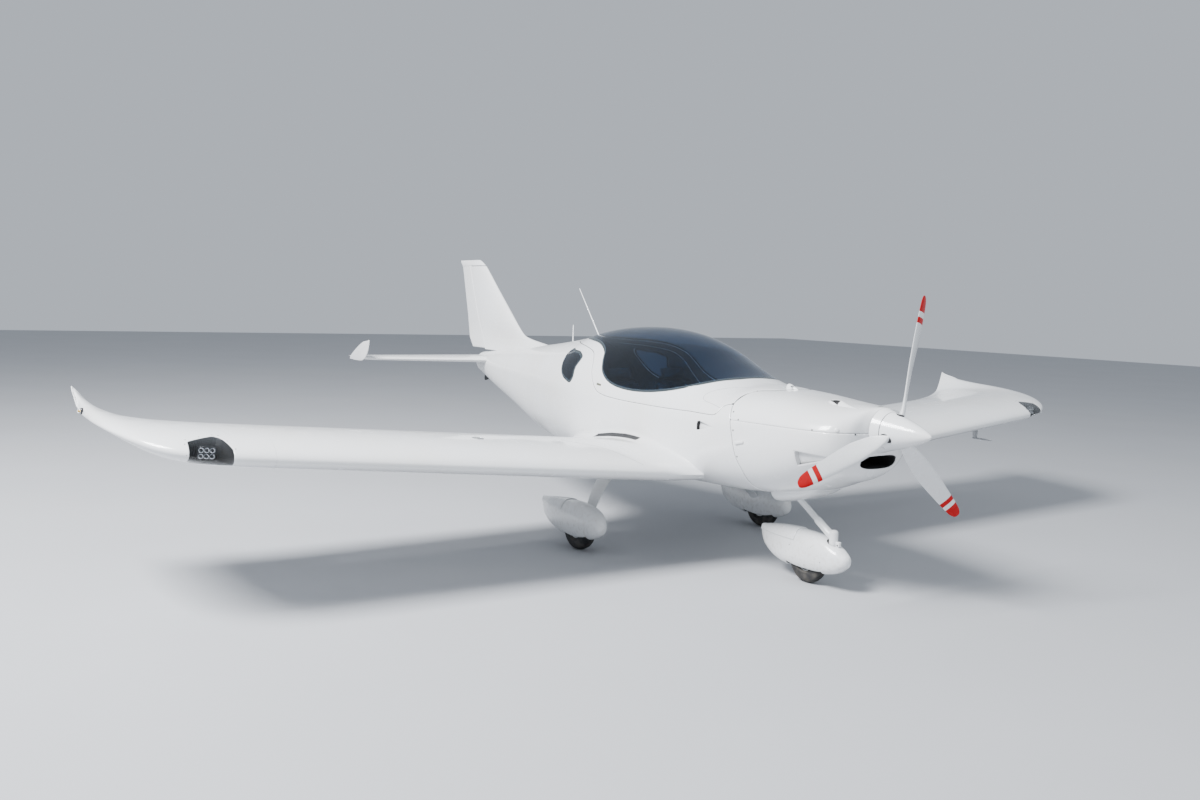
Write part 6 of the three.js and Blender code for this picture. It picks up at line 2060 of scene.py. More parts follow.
# The control sticks. A bent black tube for each seat, with a ribbed foam grip at hand height and
# a pleated rubber boot where it passes through the floor.
STICK_OUT = 0.28
STICK_ROWS = [
    (2.12, 0.612), (2.118, 0.70), (2.106, 0.80), (2.090, 0.90), (2.085, 0.96), (2.0835, 1.00), (2.080, 1.072),
]
GRIP_LOW, GRIP_HIGH, GRIP_RIBS = 0.955, 1.062, 7
BOOT_ROWS = [
    (0.041, 0.0), (0.041, 0.006), (0.036, 0.009), (0.039, 0.016), (0.031, 0.021), (0.034, 0.028),
    (0.026, 0.033), (0.028, 0.040), (0.018, 0.046), (0.0125, 0.060),
]
stick_curve = smooth_rows([(s, STICK_OUT, z, 0) for s, z in STICK_ROWS], 90)[:, :3]
height = stick_curve[:, 2]
ribs = 0.0185 + 0.0016 * np.abs(np.sin((height - GRIP_LOW) / (GRIP_HIGH - GRIP_LOW) * GRIP_RIBS * math.pi))
in_grip = (height > GRIP_LOW) & (height < GRIP_HIGH)
stick_radius = np.where(in_grip, ribs, 0.0118)
stick_radius[-3:] = (0.0165, 0.013, 0.006)
tube = lofted(tube_rings(stick_curve, stick_radius, 28))
boot = spun(BOOT_ROWS, (row_x(2.12), STICK_OUT, 0.6), (0, 0, 1), 36)
button = spun(
    [(0.006, -0.004), (0.006, 0.004), (0.004, 0.006)], (row_x(2.080), STICK_OUT, 1.072), (0, 0, 1), 18,
)
stick = joined([tube, boot, button])
for side, name in SIDES:
    add_piece(f"stick_{name}", *on_side(stick, side), boot_rubber, slot="black_plastic",
              stands_for=[f"control_stick_{name}"])

# The seats. A moulded base and back shell to each, with a grained leather cushion, back pad and
# head pad sewn in upright channels.
SEAT_OUT = 0.282
BACK_FOOT = np.array([2.742, 0.868])
BACK_RUN = np.array([0.3745, 0.9272])
BACK_FACE = np.array([-0.9272, 0.3745])
BACK_LONG = 0.405
HEAD_LONG = 0.098
PAD_GRID = 30
PAD_VOXEL = 0.0065
PAD_FRAMES = 20
PAD_PRESSURE = 4.0
CHANNELS = (-0.062, 0.062)
CHANNEL_HALF = 0.0055
CHANNEL_DEEP = 0.006
BASE_STATION = 2.478
BASE_HALF = (0.262, 0.204)
BASE_LAYERS = [(0.614, -0.012), (0.618, 0.0), (0.70, 0.004), (0.752, 0.006), (0.757, 0.002), (0.757, -0.012)]
BACK_HALF = 0.200
HEAD_NARROWER = 0.085
BACK_WRAP = 0.030

leather = Finish("seat_leather", (0.05, 0.052, 0.056, 1), 0.46)
grain = leather.node(
    "ShaderNodeTexVoronoi", {"Vector": leather.place, "Scale": 520.0}, feature="DISTANCE_TO_EDGE",
)
crease_shade = leather.attribute("seam")
tone = leather.mix(leather.noise(16, 4), (0.042, 0.044, 0.048, 1), (0.07, 0.072, 0.077, 1))
# Darker along the sewn channels and the pads' rims: painted shade in the creases.
leather.colour(leather.mix(leather.spread(crease_shade, 0.25, 1.0, 0, 1), tone, (0.016, 0.016, 0.018, 1)))
leather.gloss(48, 4, 0.3, 0.7, 0.38, 0.58)
leather.bump(leather.spread(grain.outputs["Distance"], 0.0, 0.06, 0, 1), 0.18, 0.0004)


def pad_form(centre, size, axes, bow=0.0):
    """A crowned closed pad.

    Across and along it run a and b from -1 to 1. Each face stands off the middle by half the
    thickness times the root of (1 - a^6)(1 - b^6), so both meet in a seam round the edge, whose
    sides draw in between the corners by a fiftieth. The bow lifts the pad by the square of b.
    """
    a, b = np.meshgrid(np.linspace(-1, 1, PAD_GRID), np.linspace(-1, 1, PAD_GRID), indexing="ij")
    rise = np.sqrt(np.clip((1 - a**6) * (1 - b**6), 0, 1))
    across = a * (1 - 0.02 * (1 - b**2)) * size[0] / 2
    along = b * (1 - 0.02 * (1 - a**2)) * size[1] / 2
    parts = []
    for face in (1, -1):
        off = face * rise * size[2] / 2 + bow * b**2
        sheet = centre + across[..., None] * axes[0] + along[..., None] * axes[1] + off[..., None] * axes[2]
        corners, cells = net(sheet)
        parts.append((corners, cells[:, ::face]))
    points, faces, _ = weld(*joined(parts))
    return points, facing_out(points, faces)


def corners_of(mesh):
    """The places of a mesh's corners."""
    places = np.empty(len(mesh.vertices) * 3)
    mesh.vertices.foreach_get("co", places)
    return places.reshape(-1, 3)


def swollen(points, faces, most):
    """The pad remeshed in small squares and blown up as cloth, each point moving at most so far.
    """
    mesh = bpy.data.meshes.new("pad_under_way")
    mesh.from_pydata(points.tolist(), [], faces.tolist())
    pad = bpy.data.objects.new("pad_under_way", mesh)
    bpy.context.scene.collection.objects.link(pad)
    remesh = pad.modifiers.new("squares", "REMESH")
    remesh.mode = "VOXEL"
    remesh.voxel_size = PAD_VOXEL
    even = bpy.data.meshes.new_from_object(pad.evaluated_get(bpy.context.evaluated_depsgraph_get()))
    pad.modifiers.clear()
    pad.data = even
    start = corners_of(even)
    squares = np.empty(len(even.loops), np.int32)
    even.loops.foreach_get("vertex_index", squares)
    finish = start
    cloth = pad.modifiers.new("cloth", "CLOTH")
    cloth.settings.use_pressure = True
    cloth.settings.uniform_pressure_force = PAD_PRESSURE
    cloth.settings.effector_weights.gravity = 0
    cloth.point_cache.frame_start = 1
    cloth.point_cache.frame_end = PAD_FRAMES
    for step in range(1, PAD_FRAMES + 1):
        bpy.context.scene.frame_set(step)
    finish = corners_of(pad.evaluated_get(bpy.context.evaluated_depsgraph_get()).to_mesh())
    bpy.context.scene.frame_set(1)
    moved = finish - start
    far = np.linalg.norm(moved, axis=1, keepdims=True)
    bpy.data.objects.remove(pad)
    return start + moved * np.minimum(1, most / np.maximum(far, 1e-9)), squares.reshape(-1, 4)


def seat_plane(station, height):
    """A point of the seat's middle plane in the row frame."""
    return np.array([row_x(station), SEAT_OUT, height])


def back_point(along, off):
    """A point in the plane of the seat's back: distance up it and off its front face."""
    station, height = BACK_FOOT + along * BACK_RUN + off * BACK_FACE
    return seat_plane(station, height)


SIDEWAYS = np.array([0.0, 1.0, 0.0])
BACK_AXES = np.array([SIDEWAYS, [-BACK_RUN[0], 0, BACK_RUN[1]], [-BACK_FACE[0], 0, BACK_FACE[1]]])
CUSHION_AXES = np.array([SIDEWAYS, [1.0, 0, 0.03], [-0.03, 0, 1.0]])
back_middle = back_point(BACK_LONG / 2 + 0.005, -0.045)
head_middle = back_point(BACK_LONG + HEAD_LONG / 2 + 0.026, -0.040)
PADS = {
    # middle, size, directions, bow, how far the cloth may move
    "cushion": (seat_plane(2.468, 0.797), (0.405, 0.475, 0.080), CUSHION_AXES, 0.018, 0.014),
    "back_pad": (back_middle, (0.395, BACK_LONG, 0.066), BACK_AXES, 0.010, 0.012),
    "head_pad": (head_middle, (0.235, HEAD_LONG, 0.052), BACK_AXES, 0.0, 0.007),
}
pad_points = {}
for part, (centre, size, axes, bow, most) in PADS.items():
    points, faces = swollen(*pad_form(centre, size, axes, bow), most)
    local = (points - centre) @ axes.T
    seam = np.zeros(len(points))
    if part != "head_pad":
        for line in CHANNELS:
            seam = np.maximum(seam, np.exp(-(((local[:, 0] - line) / CHANNEL_HALF) ** 2)))
        seam *= local[:, 2] > 0
    edge = np.exp(-((local[:, 2] - bow * (2 * local[:, 1] / size[1]) ** 2) / 0.004) ** 2)
    border = (np.abs(local[:, 0]) > size[0] * 0.47) | (np.abs(local[:, 1]) > size[1] * 0.47)
    seam = np.maximum(seam, edge * border)
    points = points - seam[:, None] * CHANNEL_DEEP * np.where(local[:, 2:] > 0, axes[2], 0.2 * axes[2])
    pad_points[part] = points
    for side, name in SIDES:
        form = on_side((points, faces), side)
        pad = add_piece(
            f"seat_{part}_{name}", *form, leather.material, slot="seat_leather", sharp=180, seam=seam,
        )

base_rings = []
for height, grow in BASE_LAYERS:
    loop = soft_loop(BASE_HALF[0] + grow, BASE_HALF[1] + grow, 0.035, 8)
    base_rings.append(row_points(BASE_STATION - loop[:, 0], SEAT_OUT + loop[:, 1], height))
along, across = np.meshgrid(
    np.linspace(-0.10, BACK_LONG + HEAD_LONG + 0.034, 40), np.linspace(-1, 1, 33), indexing="ij",
)
narrow = BACK_HALF - HEAD_NARROWER * np.clip((along - BACK_LONG) / 0.05, 0, 1) ** 2
wrap = -0.086 + BACK_WRAP * np.abs(across) ** 5
back_sheet = seat_plane(*BACK_FOOT) + along[..., None] * BACK_AXES[1] + wrap[..., None] * BACK_AXES[2]
back_sheet += (across * narrow)[..., None] * SIDEWAYS
seat_frame = joined([lofted(base_rings), plate(*net(back_sheet), 0.006)])
for side, name in SIDES:
    add_piece(f"seat_shell_{name}", *on_side(seat_frame, side), trim_plastic, slot="cabin_trim",
              stands_for=[f"seat_{name}"])

# The harnesses. Flat woven belts: two over each seat's back and one across its cushion, joined at
# a metal buckle. They lie on the pads.
BELT_HALF = 0.0215
BELT_THICK = 0.0016
BELT_REST = 0.0025
webbing = Finish("webbing", (0.022, 0.024, 0.03, 1), 0.8, {"Sheen Weight": 0.3})
weave = webbing.node("ShaderNodeTexWave", {"Vector": webbing.place, "Scale": 160.0, "Distortion": 0.6})
webbing.colour(webbing.mix(weave.outputs["Fac"], (0.017, 0.018, 0.022, 1), (0.034, 0.037, 0.045, 1)))
webbing.bump(weave.outputs["Fac"], 0.3, 0.0006)


def resting(places, lift, pad):
    """Lifts each point of a path, along one direction, to lie on a pad, and evens the path out."""
    lifted = []
    for place in places:
        away = pad_points[pad] - place
        off = away @ lift
        near = np.linalg.norm(away - off[:, None] * lift, axis=1) < 0.02
        lifted.append(place + lift * (off[near].max() + BELT_REST if near.any() else 0.0))
    lifted = np.array(lifted)
    padded = np.concatenate([lifted[:1].repeat(2, 0), lifted, lifted[-1:].repeat(2, 0)])
    return (padded[:-4] + padded[1:-3] + padded[2:-2] + padded[3:-1] + padded[4:]) / 5


def belt(path, lift):
    """A flat strip along a path, its width square to the path and to the given direction."""
    across = np.cross(np.gradient(path, axis=0), lift)
    across /= np.linalg.norm(across, axis=1, keepdims=True)
    share = np.linspace(-1, 1, 5)
    return plate(*net(path[:, None] + share[None, :, None] * BELT_HALF * across[:, None]), BELT_THICK)


along = np.linspace(0, 1, 44)
belts = []
for out in (-0.085, 0.085):
    reach = BACK_LONG * (1.02 - along)
    places = np.array([back_point(r, 0.0) + SIDEWAYS * out * (0.35 + 0.65 * r / BACK_LONG) for r in reach])
    belts.append(belt(resting(places, BACK_AXES[2], "back_pad"), BACK_AXES[2]))
across_lap = np.linspace(-0.195, 0.195, 44)
places = np.array([seat_plane(2.60, 0.80) + SIDEWAYS * out for out in across_lap])
lap = resting(places, CUSHION_AXES[2], "cushion")
belts.append(belt(lap, CUSHION_AXES[2]))
buckle = soft_block(lap[22] + (0, 0, 0.007), (0.062, 0.052, 0.014), 0.004, CUSHION_AXES, 0.010)
for side, name in SIDES:
    add_piece(f"harness_{name}", *on_side(joined(belts), side), webbing.material, slot="cabin_trim")
    add_piece(f"buckle_{name}", *on_side(buckle, side), rim_metal, slot="bare_metal")


# The baggage shelf and the engine. Carpet covers the shelf and the bulkhead behind it, and the
# engine's case is cast alloy, dull with heat. Both are screwed to the hull.
def dress(node, material):
    """Gives a node of the model its finish."""
    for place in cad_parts[node].material_slots:
        place.material = material


dress("baggage_bay", trim_cloth("carpet", (0.045, 0.047, 0.052, 1), (0.08, 0.083, 0.09, 1), 500))
cast_alloy = finished(
    "cast_alloy", (0.2, 0.2, 0.2, 1), 0.55, {"Metallic": 0.85},
    tones=(12, 5, (0.10, 0.095, 0.09, 1), (0.26, 0.26, 0.255, 1)), gloss=(30, 3, 0.3, 0.7, 0.45, 0.75),
    grain=(220, 4, 0.4, 0.001),
)
dress("engine_block", cast_alloy)


# The landing lights. Each tip has a black tray behind a clear cover, which is screwed to the white
# edge of the opening. In the tray a dark grey lamp looks ahead through six small reflectors.
TRAY_GROWTH = 1.014
TRAY_MIDDLE = np.array([1.80, 3.782])
TRAY_PLAN = TRAY_MIDDLE + (np.array(RECESS_PLAN) - TRAY_MIDDLE) * TRAY_GROWTH
COVER_THICK = 0.002
LAMP_PLACE = (1.880, 3.800, 0.018)
LAMP_SIZE = (0.100, 0.070, 0.054)
CUP_ACROSS = (-0.030, 0.0, 0.030)
CUP_UP = (-0.017, 0.017)
CUP_ROWS = [(0.014, -0.004), (0.014, 0.0012), (0.0125, 0.0014), (0.005, -0.0035), (0.0003, -0.0037)]
DOME_ROWS = [(0.0048, -0.003), (0.0044, 0.0), (0.0026, 0.0020), (0.0003, 0.0026)]
COVER_SCREWS = [
    (1.905, 3.907), (1.938, 3.830), (1.970, 3.753), (1.961, 3.722), (1.882, 3.688), (1.804, 3.658),
    (1.862, 3.916), (1.801, 3.914),
]
COVER_SCREW_R = 0.0036
clear_lens = finished(
    "clear_lens", (0.93, 0.95, 0.96, 1), 0.02, {"Transmission Weight": 1.0, "IOR": 1.35},
    gloss=(30, 4, 0.35, 0.8, 0.01, 0.05),
)
dark_steel = finished(
    "dark_steel", (0.12, 0.12, 0.125, 1), 0.42, {"Metallic": 0.9},
    tones=(150, 3, (0.08, 0.08, 0.085, 1), (0.17, 0.17, 0.175, 1)), gloss=(300, 3, 0.3, 0.7, 0.35, 0.6),
)
reflector = finished(
    "reflector", (0.75, 0.77, 0.80, 1), 0.12, {"Metallic": 1.0}, gloss=(120, 3, 0.3, 0.7, 0.08, 0.22),
)


def tip_height(station, span, upper=True):
    """The flat height of a tip's skin at a station and a span."""
    lead, trail, lift, thick, wash = columns_at(tip_curve, span)
    share = np.clip((station - lead) / (trail - lead), 0, 1)
    return (trail - lead) * section_point(share, upper, thick) + lift + wash * share**2


def on_tip(station, span, side):
    """A place on the top skin of a tip."""
    return raised(station, span, tip_height(station, span), side)


def tip_frame(station, span, side):
    """A place on a tip's top skin and the outward direction there, from small steps along it."""
    step = 0.002
    along = on_tip(station + step, span, side) - on_tip(station - step, span, side)
    across = on_tip(station, span + step, side) - on_tip(station, span - step, side)
    normal = np.cross(along, across) * -side
    return on_tip(station, span, side), normal / np.linalg.norm(normal)


def tray_wall():
    """The tray's upright wall: the opening's line, a little grown, from the floor to the skin."""
    run = np.concatenate([[0], np.cumsum(np.linalg.norm(np.diff(TRAY_PLAN, axis=0), axis=1))])
    along = np.linspace(0, run[-1], 110)
    station, span = [np.interp(along, run, column) for column in TRAY_PLAN.T]
    lead = np.interp(span, tip_curve[:, 0], tip_curve[:, 1])
    station, span = station[station > lead + 0.001], span[station > lead + 0.001]
    low = np.maximum(tip_height(station, span, False), TRAY_FLOOR) + 0.001
    high = tip_height(station, span) - 0.002
    z = low[:, None] + (high - low)[:, None] * np.linspace(0, 1, 5)
    plan = [np.broadcast_to(value[:, None], z.shape) for value in (station, span)]
    points, cells = net(np.stack([*plan, z], axis=-1))
    return points, cells[:, ::-1]


def tray_floor():
    """The tray's level floor, within the opening's line and above the lower skin."""
    places, faces = sheet_grid(np.linspace(1.72, 1.94, 40), np.linspace(3.655, 3.91, 30))
    outside = line_distance(TRAY_PLAN, *places.T)
    outside = np.maximum(outside, tip_height(*places.T, False) - TRAY_FLOOR)
    places, faces = cut_sheet(places, faces, outside)
    return np.column_stack([places, np.full(len(places), TRAY_FLOOR + 0.001)]), faces


def cover_sheet():
    """The clear cover: the tip's own skin within the opening, 2 mm lower."""
    shares = np.interp((3.62, 3.94), tip_curve[:, 0], np.linspace(0, 1, len(tip_curve)))
    places, faces = sheet_grid(np.linspace(*shares, 46), np.linspace(0.36, 0.72, 60))
    places, faces = cut_sheet(places, faces, -outside_recess(tip_points(places)) - 0.003)
    return tip_points(places), faces


def screws_at(frames, r):
    """Low round screw heads with a socket, one on each place and outward direction."""
    rows = [
        (r, -0.0008), (r, 0.0004), (r * 0.8, 0.0010), (r * 0.42, 0.0010), (r * 0.38, 0.0002),
        (r * 0.05, 0.0002),
    ]
    return joined([spun(rows, place, normal, 16) for place, normal in frames])


for side, name in SIDES:
    sheets = [(raised(*flat.T, side), faces[:, ::side]) for flat, faces in (tray_wall(), tray_floor())]
    tray = joined([shell(points, faces, COVER_THICK)[:2] for points, faces in sheets])
    add_piece(f"light_tray_{name}", *tray, black_and_painted_shade, slot="black_plastic")
    flat, faces = cover_sheet()
    points, faces, _ = weld(raised(*flat.T, side), faces[:, ::side])
    cover = plate(points - corner_normals(points, faces) * COVER_THICK, faces, COVER_THICK)
    add_piece(f"light_cover_{name}", *cover, clear_lens, slot="tinted_glass")

    middle = raised(*LAMP_PLACE, side)
    outboard = np.array([0, side * math.cos(SLOPE), math.sin(SLOPE)])
    lamp_axes = np.array([outboard, np.cross((1.0, 0, 0), outboard), (1.0, 0, 0)])
    housing = soft_block(middle, LAMP_SIZE, 0.004, lamp_axes, 0.006)
    cups, glasses = [], []
    for across in CUP_ACROSS:
        for up in CUP_UP:
            face = middle + across * lamp_axes[0] + up * lamp_axes[1] + LAMP_SIZE[2] / 2 * lamp_axes[2]
            cups.append(spun(CUP_ROWS, face, lamp_axes[2], 28))
            glasses.append(spun(DOME_ROWS, face, lamp_axes[2], 20))
    add_piece(
        f"landing_lamp_{name}", *housing, black_plastic, slot="lamp", stands_for=[f"landing_light_{name}"],
    )
    add_piece(f"lamp_cups_{name}", *joined(cups), reflector, slot="lamp")
    add_piece(f"lamp_domes_{name}", *joined(glasses), clear_lens, slot="lamp")
    spots = [tip_frame(station, span, side) for station, span in COVER_SCREWS]
    add_piece(f"cover_screws_{name}", *screws_at(spots, COVER_SCREW_R), dark_steel, slot="bare_metal")

# The position lights. A white pod points outboard from each horn, with a black ring and a clear
# dome over a bright base and an amber cell.
POD_PLACE = (2.800, 4.200, 0.124)
POD_ROWS = [
    (0.004, 0.0), (0.0145, 0.026), (0.0182, 0.052), (0.0190, 0.072), (0.0190, 0.1175), (0.0178, 0.1185),
]
POD_RING = [
    (0.0172, 0.1165), (0.0198, 0.1175), (0.0200, 0.1195), (0.0200, 0.1285), (0.0186, 0.1305),
    (0.0168, 0.1305),
]
POD_DOME = [
    (0.0168, 0.129), (0.0168, 0.134), (0.0160, 0.1385), (0.0136, 0.1430), (0.0098, 0.1468), (0.0052, 0.1490),
    (0.0004, 0.1498),
]
POD_BASE = [(0.0150, 0.1290), (0.0146, 0.1320), (0.0080, 0.1325), (0.0003, 0.1325)]
POD_CELL = [(0.0062, 0.1320), (0.0062, 0.1400), (0.0045, 0.1425), (0.0003, 0.1430)]
amber_cell = finished(
    "amber_cell", (0.85, 0.52, 0.12, 1), 0.3, tones=(300, 2, (0.80, 0.45, 0.08, 1), (0.90, 0.62, 0.22, 1)),
)
for side, name in SIDES:
    foot, outboard = raised(*POD_PLACE, side), (0, side * math.cos(SLOPE), math.sin(SLOPE))
    pod = spun(POD_ROWS, foot, outboard, 40)
    add_piece(f"light_pod_{name}", *pod, white_shell, stands_for=[f"nav_light_{name}"])
    add_piece(f"pod_ring_{name}", *spun(POD_RING, foot, outboard, 40), black_plastic, slot="black_plastic")
    add_piece(f"pod_dome_{name}", *spun(POD_DOME, foot, outboard, 40), clear_lens, slot="lamp")
    add_piece(f"pod_base_{name}", *spun(POD_BASE, foot, outboard, 40), reflector, slot="lamp")
    add_piece(f"pod_cell_{name}", *spun(POD_CELL, foot, outboard, 24), amber_cell, slot="lamp")


# The small fittings on the skins. Screws along the seams, a few moulded blisters and the canopy's
# latches, all fixed flush or stuck on.
SKIN_SCREWS = [
    (1.253, 1.173), (1.184, 1.128), (1.214, 1.052), (1.176, 0.877), (1.285, 1.3075), (0.594, 1.127),
    (0.392, 1.114),
]
SPAT_SCREWS = [
    (1.126, 0.242), (1.074, 0.248), (0.870, 0.273), (0.750, 0.247), (0.725, 0.296), (1.018, 0.163),
    (0.983, 0.165), (0.947, 0.156), (0.779, 0.189), (0.812, 0.133),
]
SKIN_SCREW_R = 0.006
SPAT_SCREW_R = 0.0042
SIDE_BUMP = {"place": (1.153, 0.975), "size": (0.078, 0.020, 0.018), "lean": 15.0}
ROUND_BUMP = (0.452, 1.139)
ROUND_BUMP_ROWS = [(0.015, -0.002), (0.015, 0.002), (0.0125, 0.0045), (0.006, 0.006), (0.0003, 0.0063)]
LATCH = {"place": (2.83, 1.2265), "size": (0.070, 0.017, 0.008), "lean": -5.0}


def skin_spot(station, z, side):
    """Places on the body's skin and the outward directions there."""
    station, z = np.asarray(station, float), np.asarray(z, float)
    place = row_points(station, side * side_y(station, z), z)
    return place, skin_normal(station, z) * (1, side, 1)


def skin_axes(station, z, side, lean):
    """Directions along the skin, up it and out of it. The first is turned up by lean degrees."""
    place, normal = skin_spot(station, z, side)
    along = np.cross((0, 0, 1.0), normal) * side
    along /= np.linalg.norm(along)
    up = np.cross(normal, along)
    turn = math.radians(lean)
    first = math.cos(turn) * along + math.sin(turn) * up
    return place, np.array([first, np.cross(normal, first), normal])


def spat_spot(station, z, side):
    """A place on the nose spat's skin, from its table's law, and the direction straight out."""
    high, low, half = columns_at(NOSE_SPAT, station)
    rise = np.clip(abs(z - (high + low) / 2) / ((high - low) / 2), 0, 1) ** (1 / SPAT_POWER)
    out = half * (1 - rise**2) ** (SPAT_POWER / 2)
    return np.array([row_x(station), side * out, z]), np.array([0.0, side, (z - 0.22) * 2.4])


spots = [skin_spot(station, z, side) for station, z in SKIN_SCREWS for side in (1, -1)]
add_piece("skin_screws", *screws_at(spots, SKIN_SCREW_R), dark_steel, slot="bare_metal")
spots = [spat_spot(station, z, side) for station, z in SPAT_SCREWS for side in (1, -1)]
add_piece("spat_screws", *screws_at(spots, SPAT_SCREW_R), dark_steel, "nose_swivel", "bare_metal")
blisters, latches = [], []
for side in (1, -1):
    middle, axes = skin_axes(*SIDE_BUMP["place"], side, SIDE_BUMP["lean"])
    blisters.append(soft_block(middle, SIDE_BUMP["size"], 0.005, axes, 0.0095))
    middle, normal = skin_spot(*ROUND_BUMP, side)
    blisters.append(spun(ROUND_BUMP_ROWS, middle, normal, 36))
    middle, axes = skin_axes(*LATCH["place"], side, LATCH["lean"])
    latches.append(soft_block(middle - 0.002 * axes[2], LATCH["size"], 0.002, axes, 0.008))
add_piece("skin_blisters", *joined(blisters), white_shell)
add_piece("canopy_latches", *joined(latches), tab_metal, "canopy", "black_plastic")

# The seam lines. A thin grey bead, painted shade for the gap of a seam, loops back along each side
# of the canopy's frame, and another follows the front of each wing's skin where it is let into the
# root fairing.
LOOP_SEAM = [
    (1.392, 1.184), (1.404, 1.186), (1.439, 1.193), (1.501, 1.204), (1.569, 1.215), (1.603, 1.228),
    (1.617, 1.243), (1.619, 1.252), (1.617, 1.26), (1.602, 1.277), (1.576, 1.291), (1.545, 1.302),
    (1.51, 1.3105), (1.467, 1.3165), (1.433, 1.319), (1.395, 1.3235), (1.34, 1.3275), (1.30, 1.3285),
]
WING_SEAM = [(1.658, 0.946), (1.708, 1.006), (1.789, 1.075), (1.905, 1.152), (1.987, 1.25), (2.096, 1.362)]
BEAD_WIDE = 0.0030
BEAD_PROUD = 0.0006
BEAD_STEPS = 140
# Grey beads: painted shade for the gaps of the seams.
painted_seam_shade = finished(
    "painted_seam_shade", (0.30, 0.31, 0.32, 1), 0.6, tones=(60, 3, (0.26, 0.27, 0.28, 1), (0.36, 0.36, 0.36, 1)),
    gloss=(200, 2, 0.3, 0.7, 0.5, 0.7),
)


def bead(places, outwards):
    """A strip along places on a skin: its edges lie half its width to each side, along the cross of
    the outward direction and the run, and its middle stands a little proud of both."""
    across = np.cross(outwards, np.gradient(places, axis=0))
    across *= BEAD_WIDE / 2 / np.linalg.norm(across, axis=1, keepdims=True)
    rows = [
        places + share * across + (BEAD_PROUD * (1 - 0.5 * abs(share))) * outwards for share in (-1, 0, 1)
    ]
    return shell(*net(np.stack(rows, axis=1)), 2 * BEAD_PROUD)[:2]


loop_line = smooth_rows(LOOP_SEAM, BEAD_STEPS)
beads = joined([bead(*skin_spot(*loop_line.T, side)) for side in (1, -1)])
add_piece("frame_seam_shade", *beads, painted_seam_shade, "canopy", "black_plastic")
seam_s, seam_out = smooth_rows(WING_SEAM, BEAD_STEPS).T
height = flat_wing(seam_s, seam_out, True)
step = 0.002
lean = (flat_wing(seam_s - step, seam_out, True) - height) / step
beads = []
for side in (1, -1):
    outwards = np.stack(np.broadcast_arrays(-lean, -side * math.sin(SLOPE), math.cos(SLOPE)), axis=1)
    outwards /= np.linalg.norm(outwards, axis=1, keepdims=True)
    beads.append(bead(raised(seam_s, seam_out, height, side), outwards))
add_piece("wing_seam_shade", *joined(beads), painted_seam_shade, slot="black_plastic")

# The vent blister on the cowl's top. A white ridge to the right of the middle rises aft from a
# point, and its side has a three-cornered dent where the ridge is highest, near-black as painted
# shade for the opening.
VENT_LINE = [(0.462, -0.150), (0.560, -0.136), (0.640, -0.128), (0.700, -0.124), (0.745, -0.121)]
VENT_RISE = [0.0005, 0.011, 0.026, 0.019, 0.0005]
VENT_HALF = [0.004, 0.024, 0.036, 0.030, 0.006]
VENT_MOUTH = (0.625, 0.712)
VENT_DEEP = 0.009
ridge_s, ridge_a = np.meshgrid(np.linspace(0.462, 0.745, 86), np.linspace(-1, 1, 49), indexing="ij")
ridge = smooth_rows(np.column_stack([VENT_LINE, VENT_RISE, VENT_HALF]), 200)
middle_y, rise, half = columns_at(ridge, ridge_s)
ridge_y = middle_y + half * ridge_a
ridge_z = top_z(ridge_s, ridge_y) + rise * np.cos(ridge_a * math.pi / 2) ** 0.8 - 0.0006
mouth_share = np.clip((ridge_s - VENT_MOUTH[0]) / (VENT_MOUTH[1] - VENT_MOUTH[0]), 0, 1)
in_mouth = (ridge_s > VENT_MOUTH[0]) & (ridge_s < VENT_MOUTH[1]) & (
    np.abs(ridge_a + 0.56) < 0.40 * (1 - mouth_share)
)
points, cells = net(row_points(ridge_s, ridge_y, ridge_z))
cells = cells[:, ::-1]
sunk = in_mouth.ravel() * VENT_DEEP
points = points + corner_normals(points, cells) * -sunk[:, None]
solid, walls, _ = shell(points, cells, 0.0015)
vent = add_piece("vent_blister", solid, walls, white_over_painted_shade, sharp=50)
# The dent's faces are near-black: painted shade for the opening.
zone = np.zeros(len(walls), np.int32)
zone[: len(cells)] = in_mouth.ravel()[cells].any(axis=1)
vent.data.polygons.foreach_set("material_index", zone)

# The canopy's hinge shroud. A white teardrop on the deck's middle. Its pointed front is stuck to
# the cowl, and its rear turns with the canopy about a steel pin.
SHROUD_ROWS = np.array([
    # station, half width, height over the deck
    (1.150, 0.002, 0.002), (1.163, 0.009, 0.011), (1.186, 0.017, 0.019), (1.194, 0.019, 0.0215),
    (1.212, 0.0215, 0.028), (1.230, 0.0225, 0.032), (1.244, 0.021, 0.031), (1.253, 0.015, 0.023),
    (1.258, 0.006, 0.010),
])
SHROUD_SPLIT = (1.186, 1.194)
SHROUD_SUNK = 0.001
PIN = {"station": 1.200, "z": 1.342, "r": 0.005, "half": 0.0235}


def shroud(first, last):
    """Half-round arches between two stations, from the shroud's rows and a little into the deck."""
    rings = []
    turn = np.linspace(0, math.pi, 25)
    rows = smooth_rows(SHROUD_ROWS, 120)
    for station in np.linspace(first, last, 26):
        half, high = columns_at(rows, station)
        deck = float(top_z(station, 0.0)) - SHROUD_SUNK
        z = deck + (high + SHROUD_SUNK) * np.sin(turn) ** 0.8
        rings.append(row_points(station, half * np.cos(turn), z))
    return lofted(rings)


def round_bar(r, half, end_r, step):
    """Rows of a bar to either side of its middle, whose ends are drawn in to a smaller radius."""
    return [(end_r, -half), (r, -half + step), (r, half - step), (end_r, half)]


add_piece("shroud_front", *shroud(SHROUD_ROWS[0, 0], SHROUD_SPLIT[0]), white_shell)
add_piece("shroud_rear", *shroud(SHROUD_SPLIT[1], SHROUD_ROWS[-1, 0]), white_shell, "canopy")
pin_rows = round_bar(PIN["r"], PIN["half"], PIN["r"] * 0.7, 0.001)
pin = spun(pin_rows, (row_x(PIN["station"]), 0, PIN["z"]), (0, 1, 0), 28)
add_piece("hinge_pin", *pin, rim_metal, "canopy", "bare_metal")

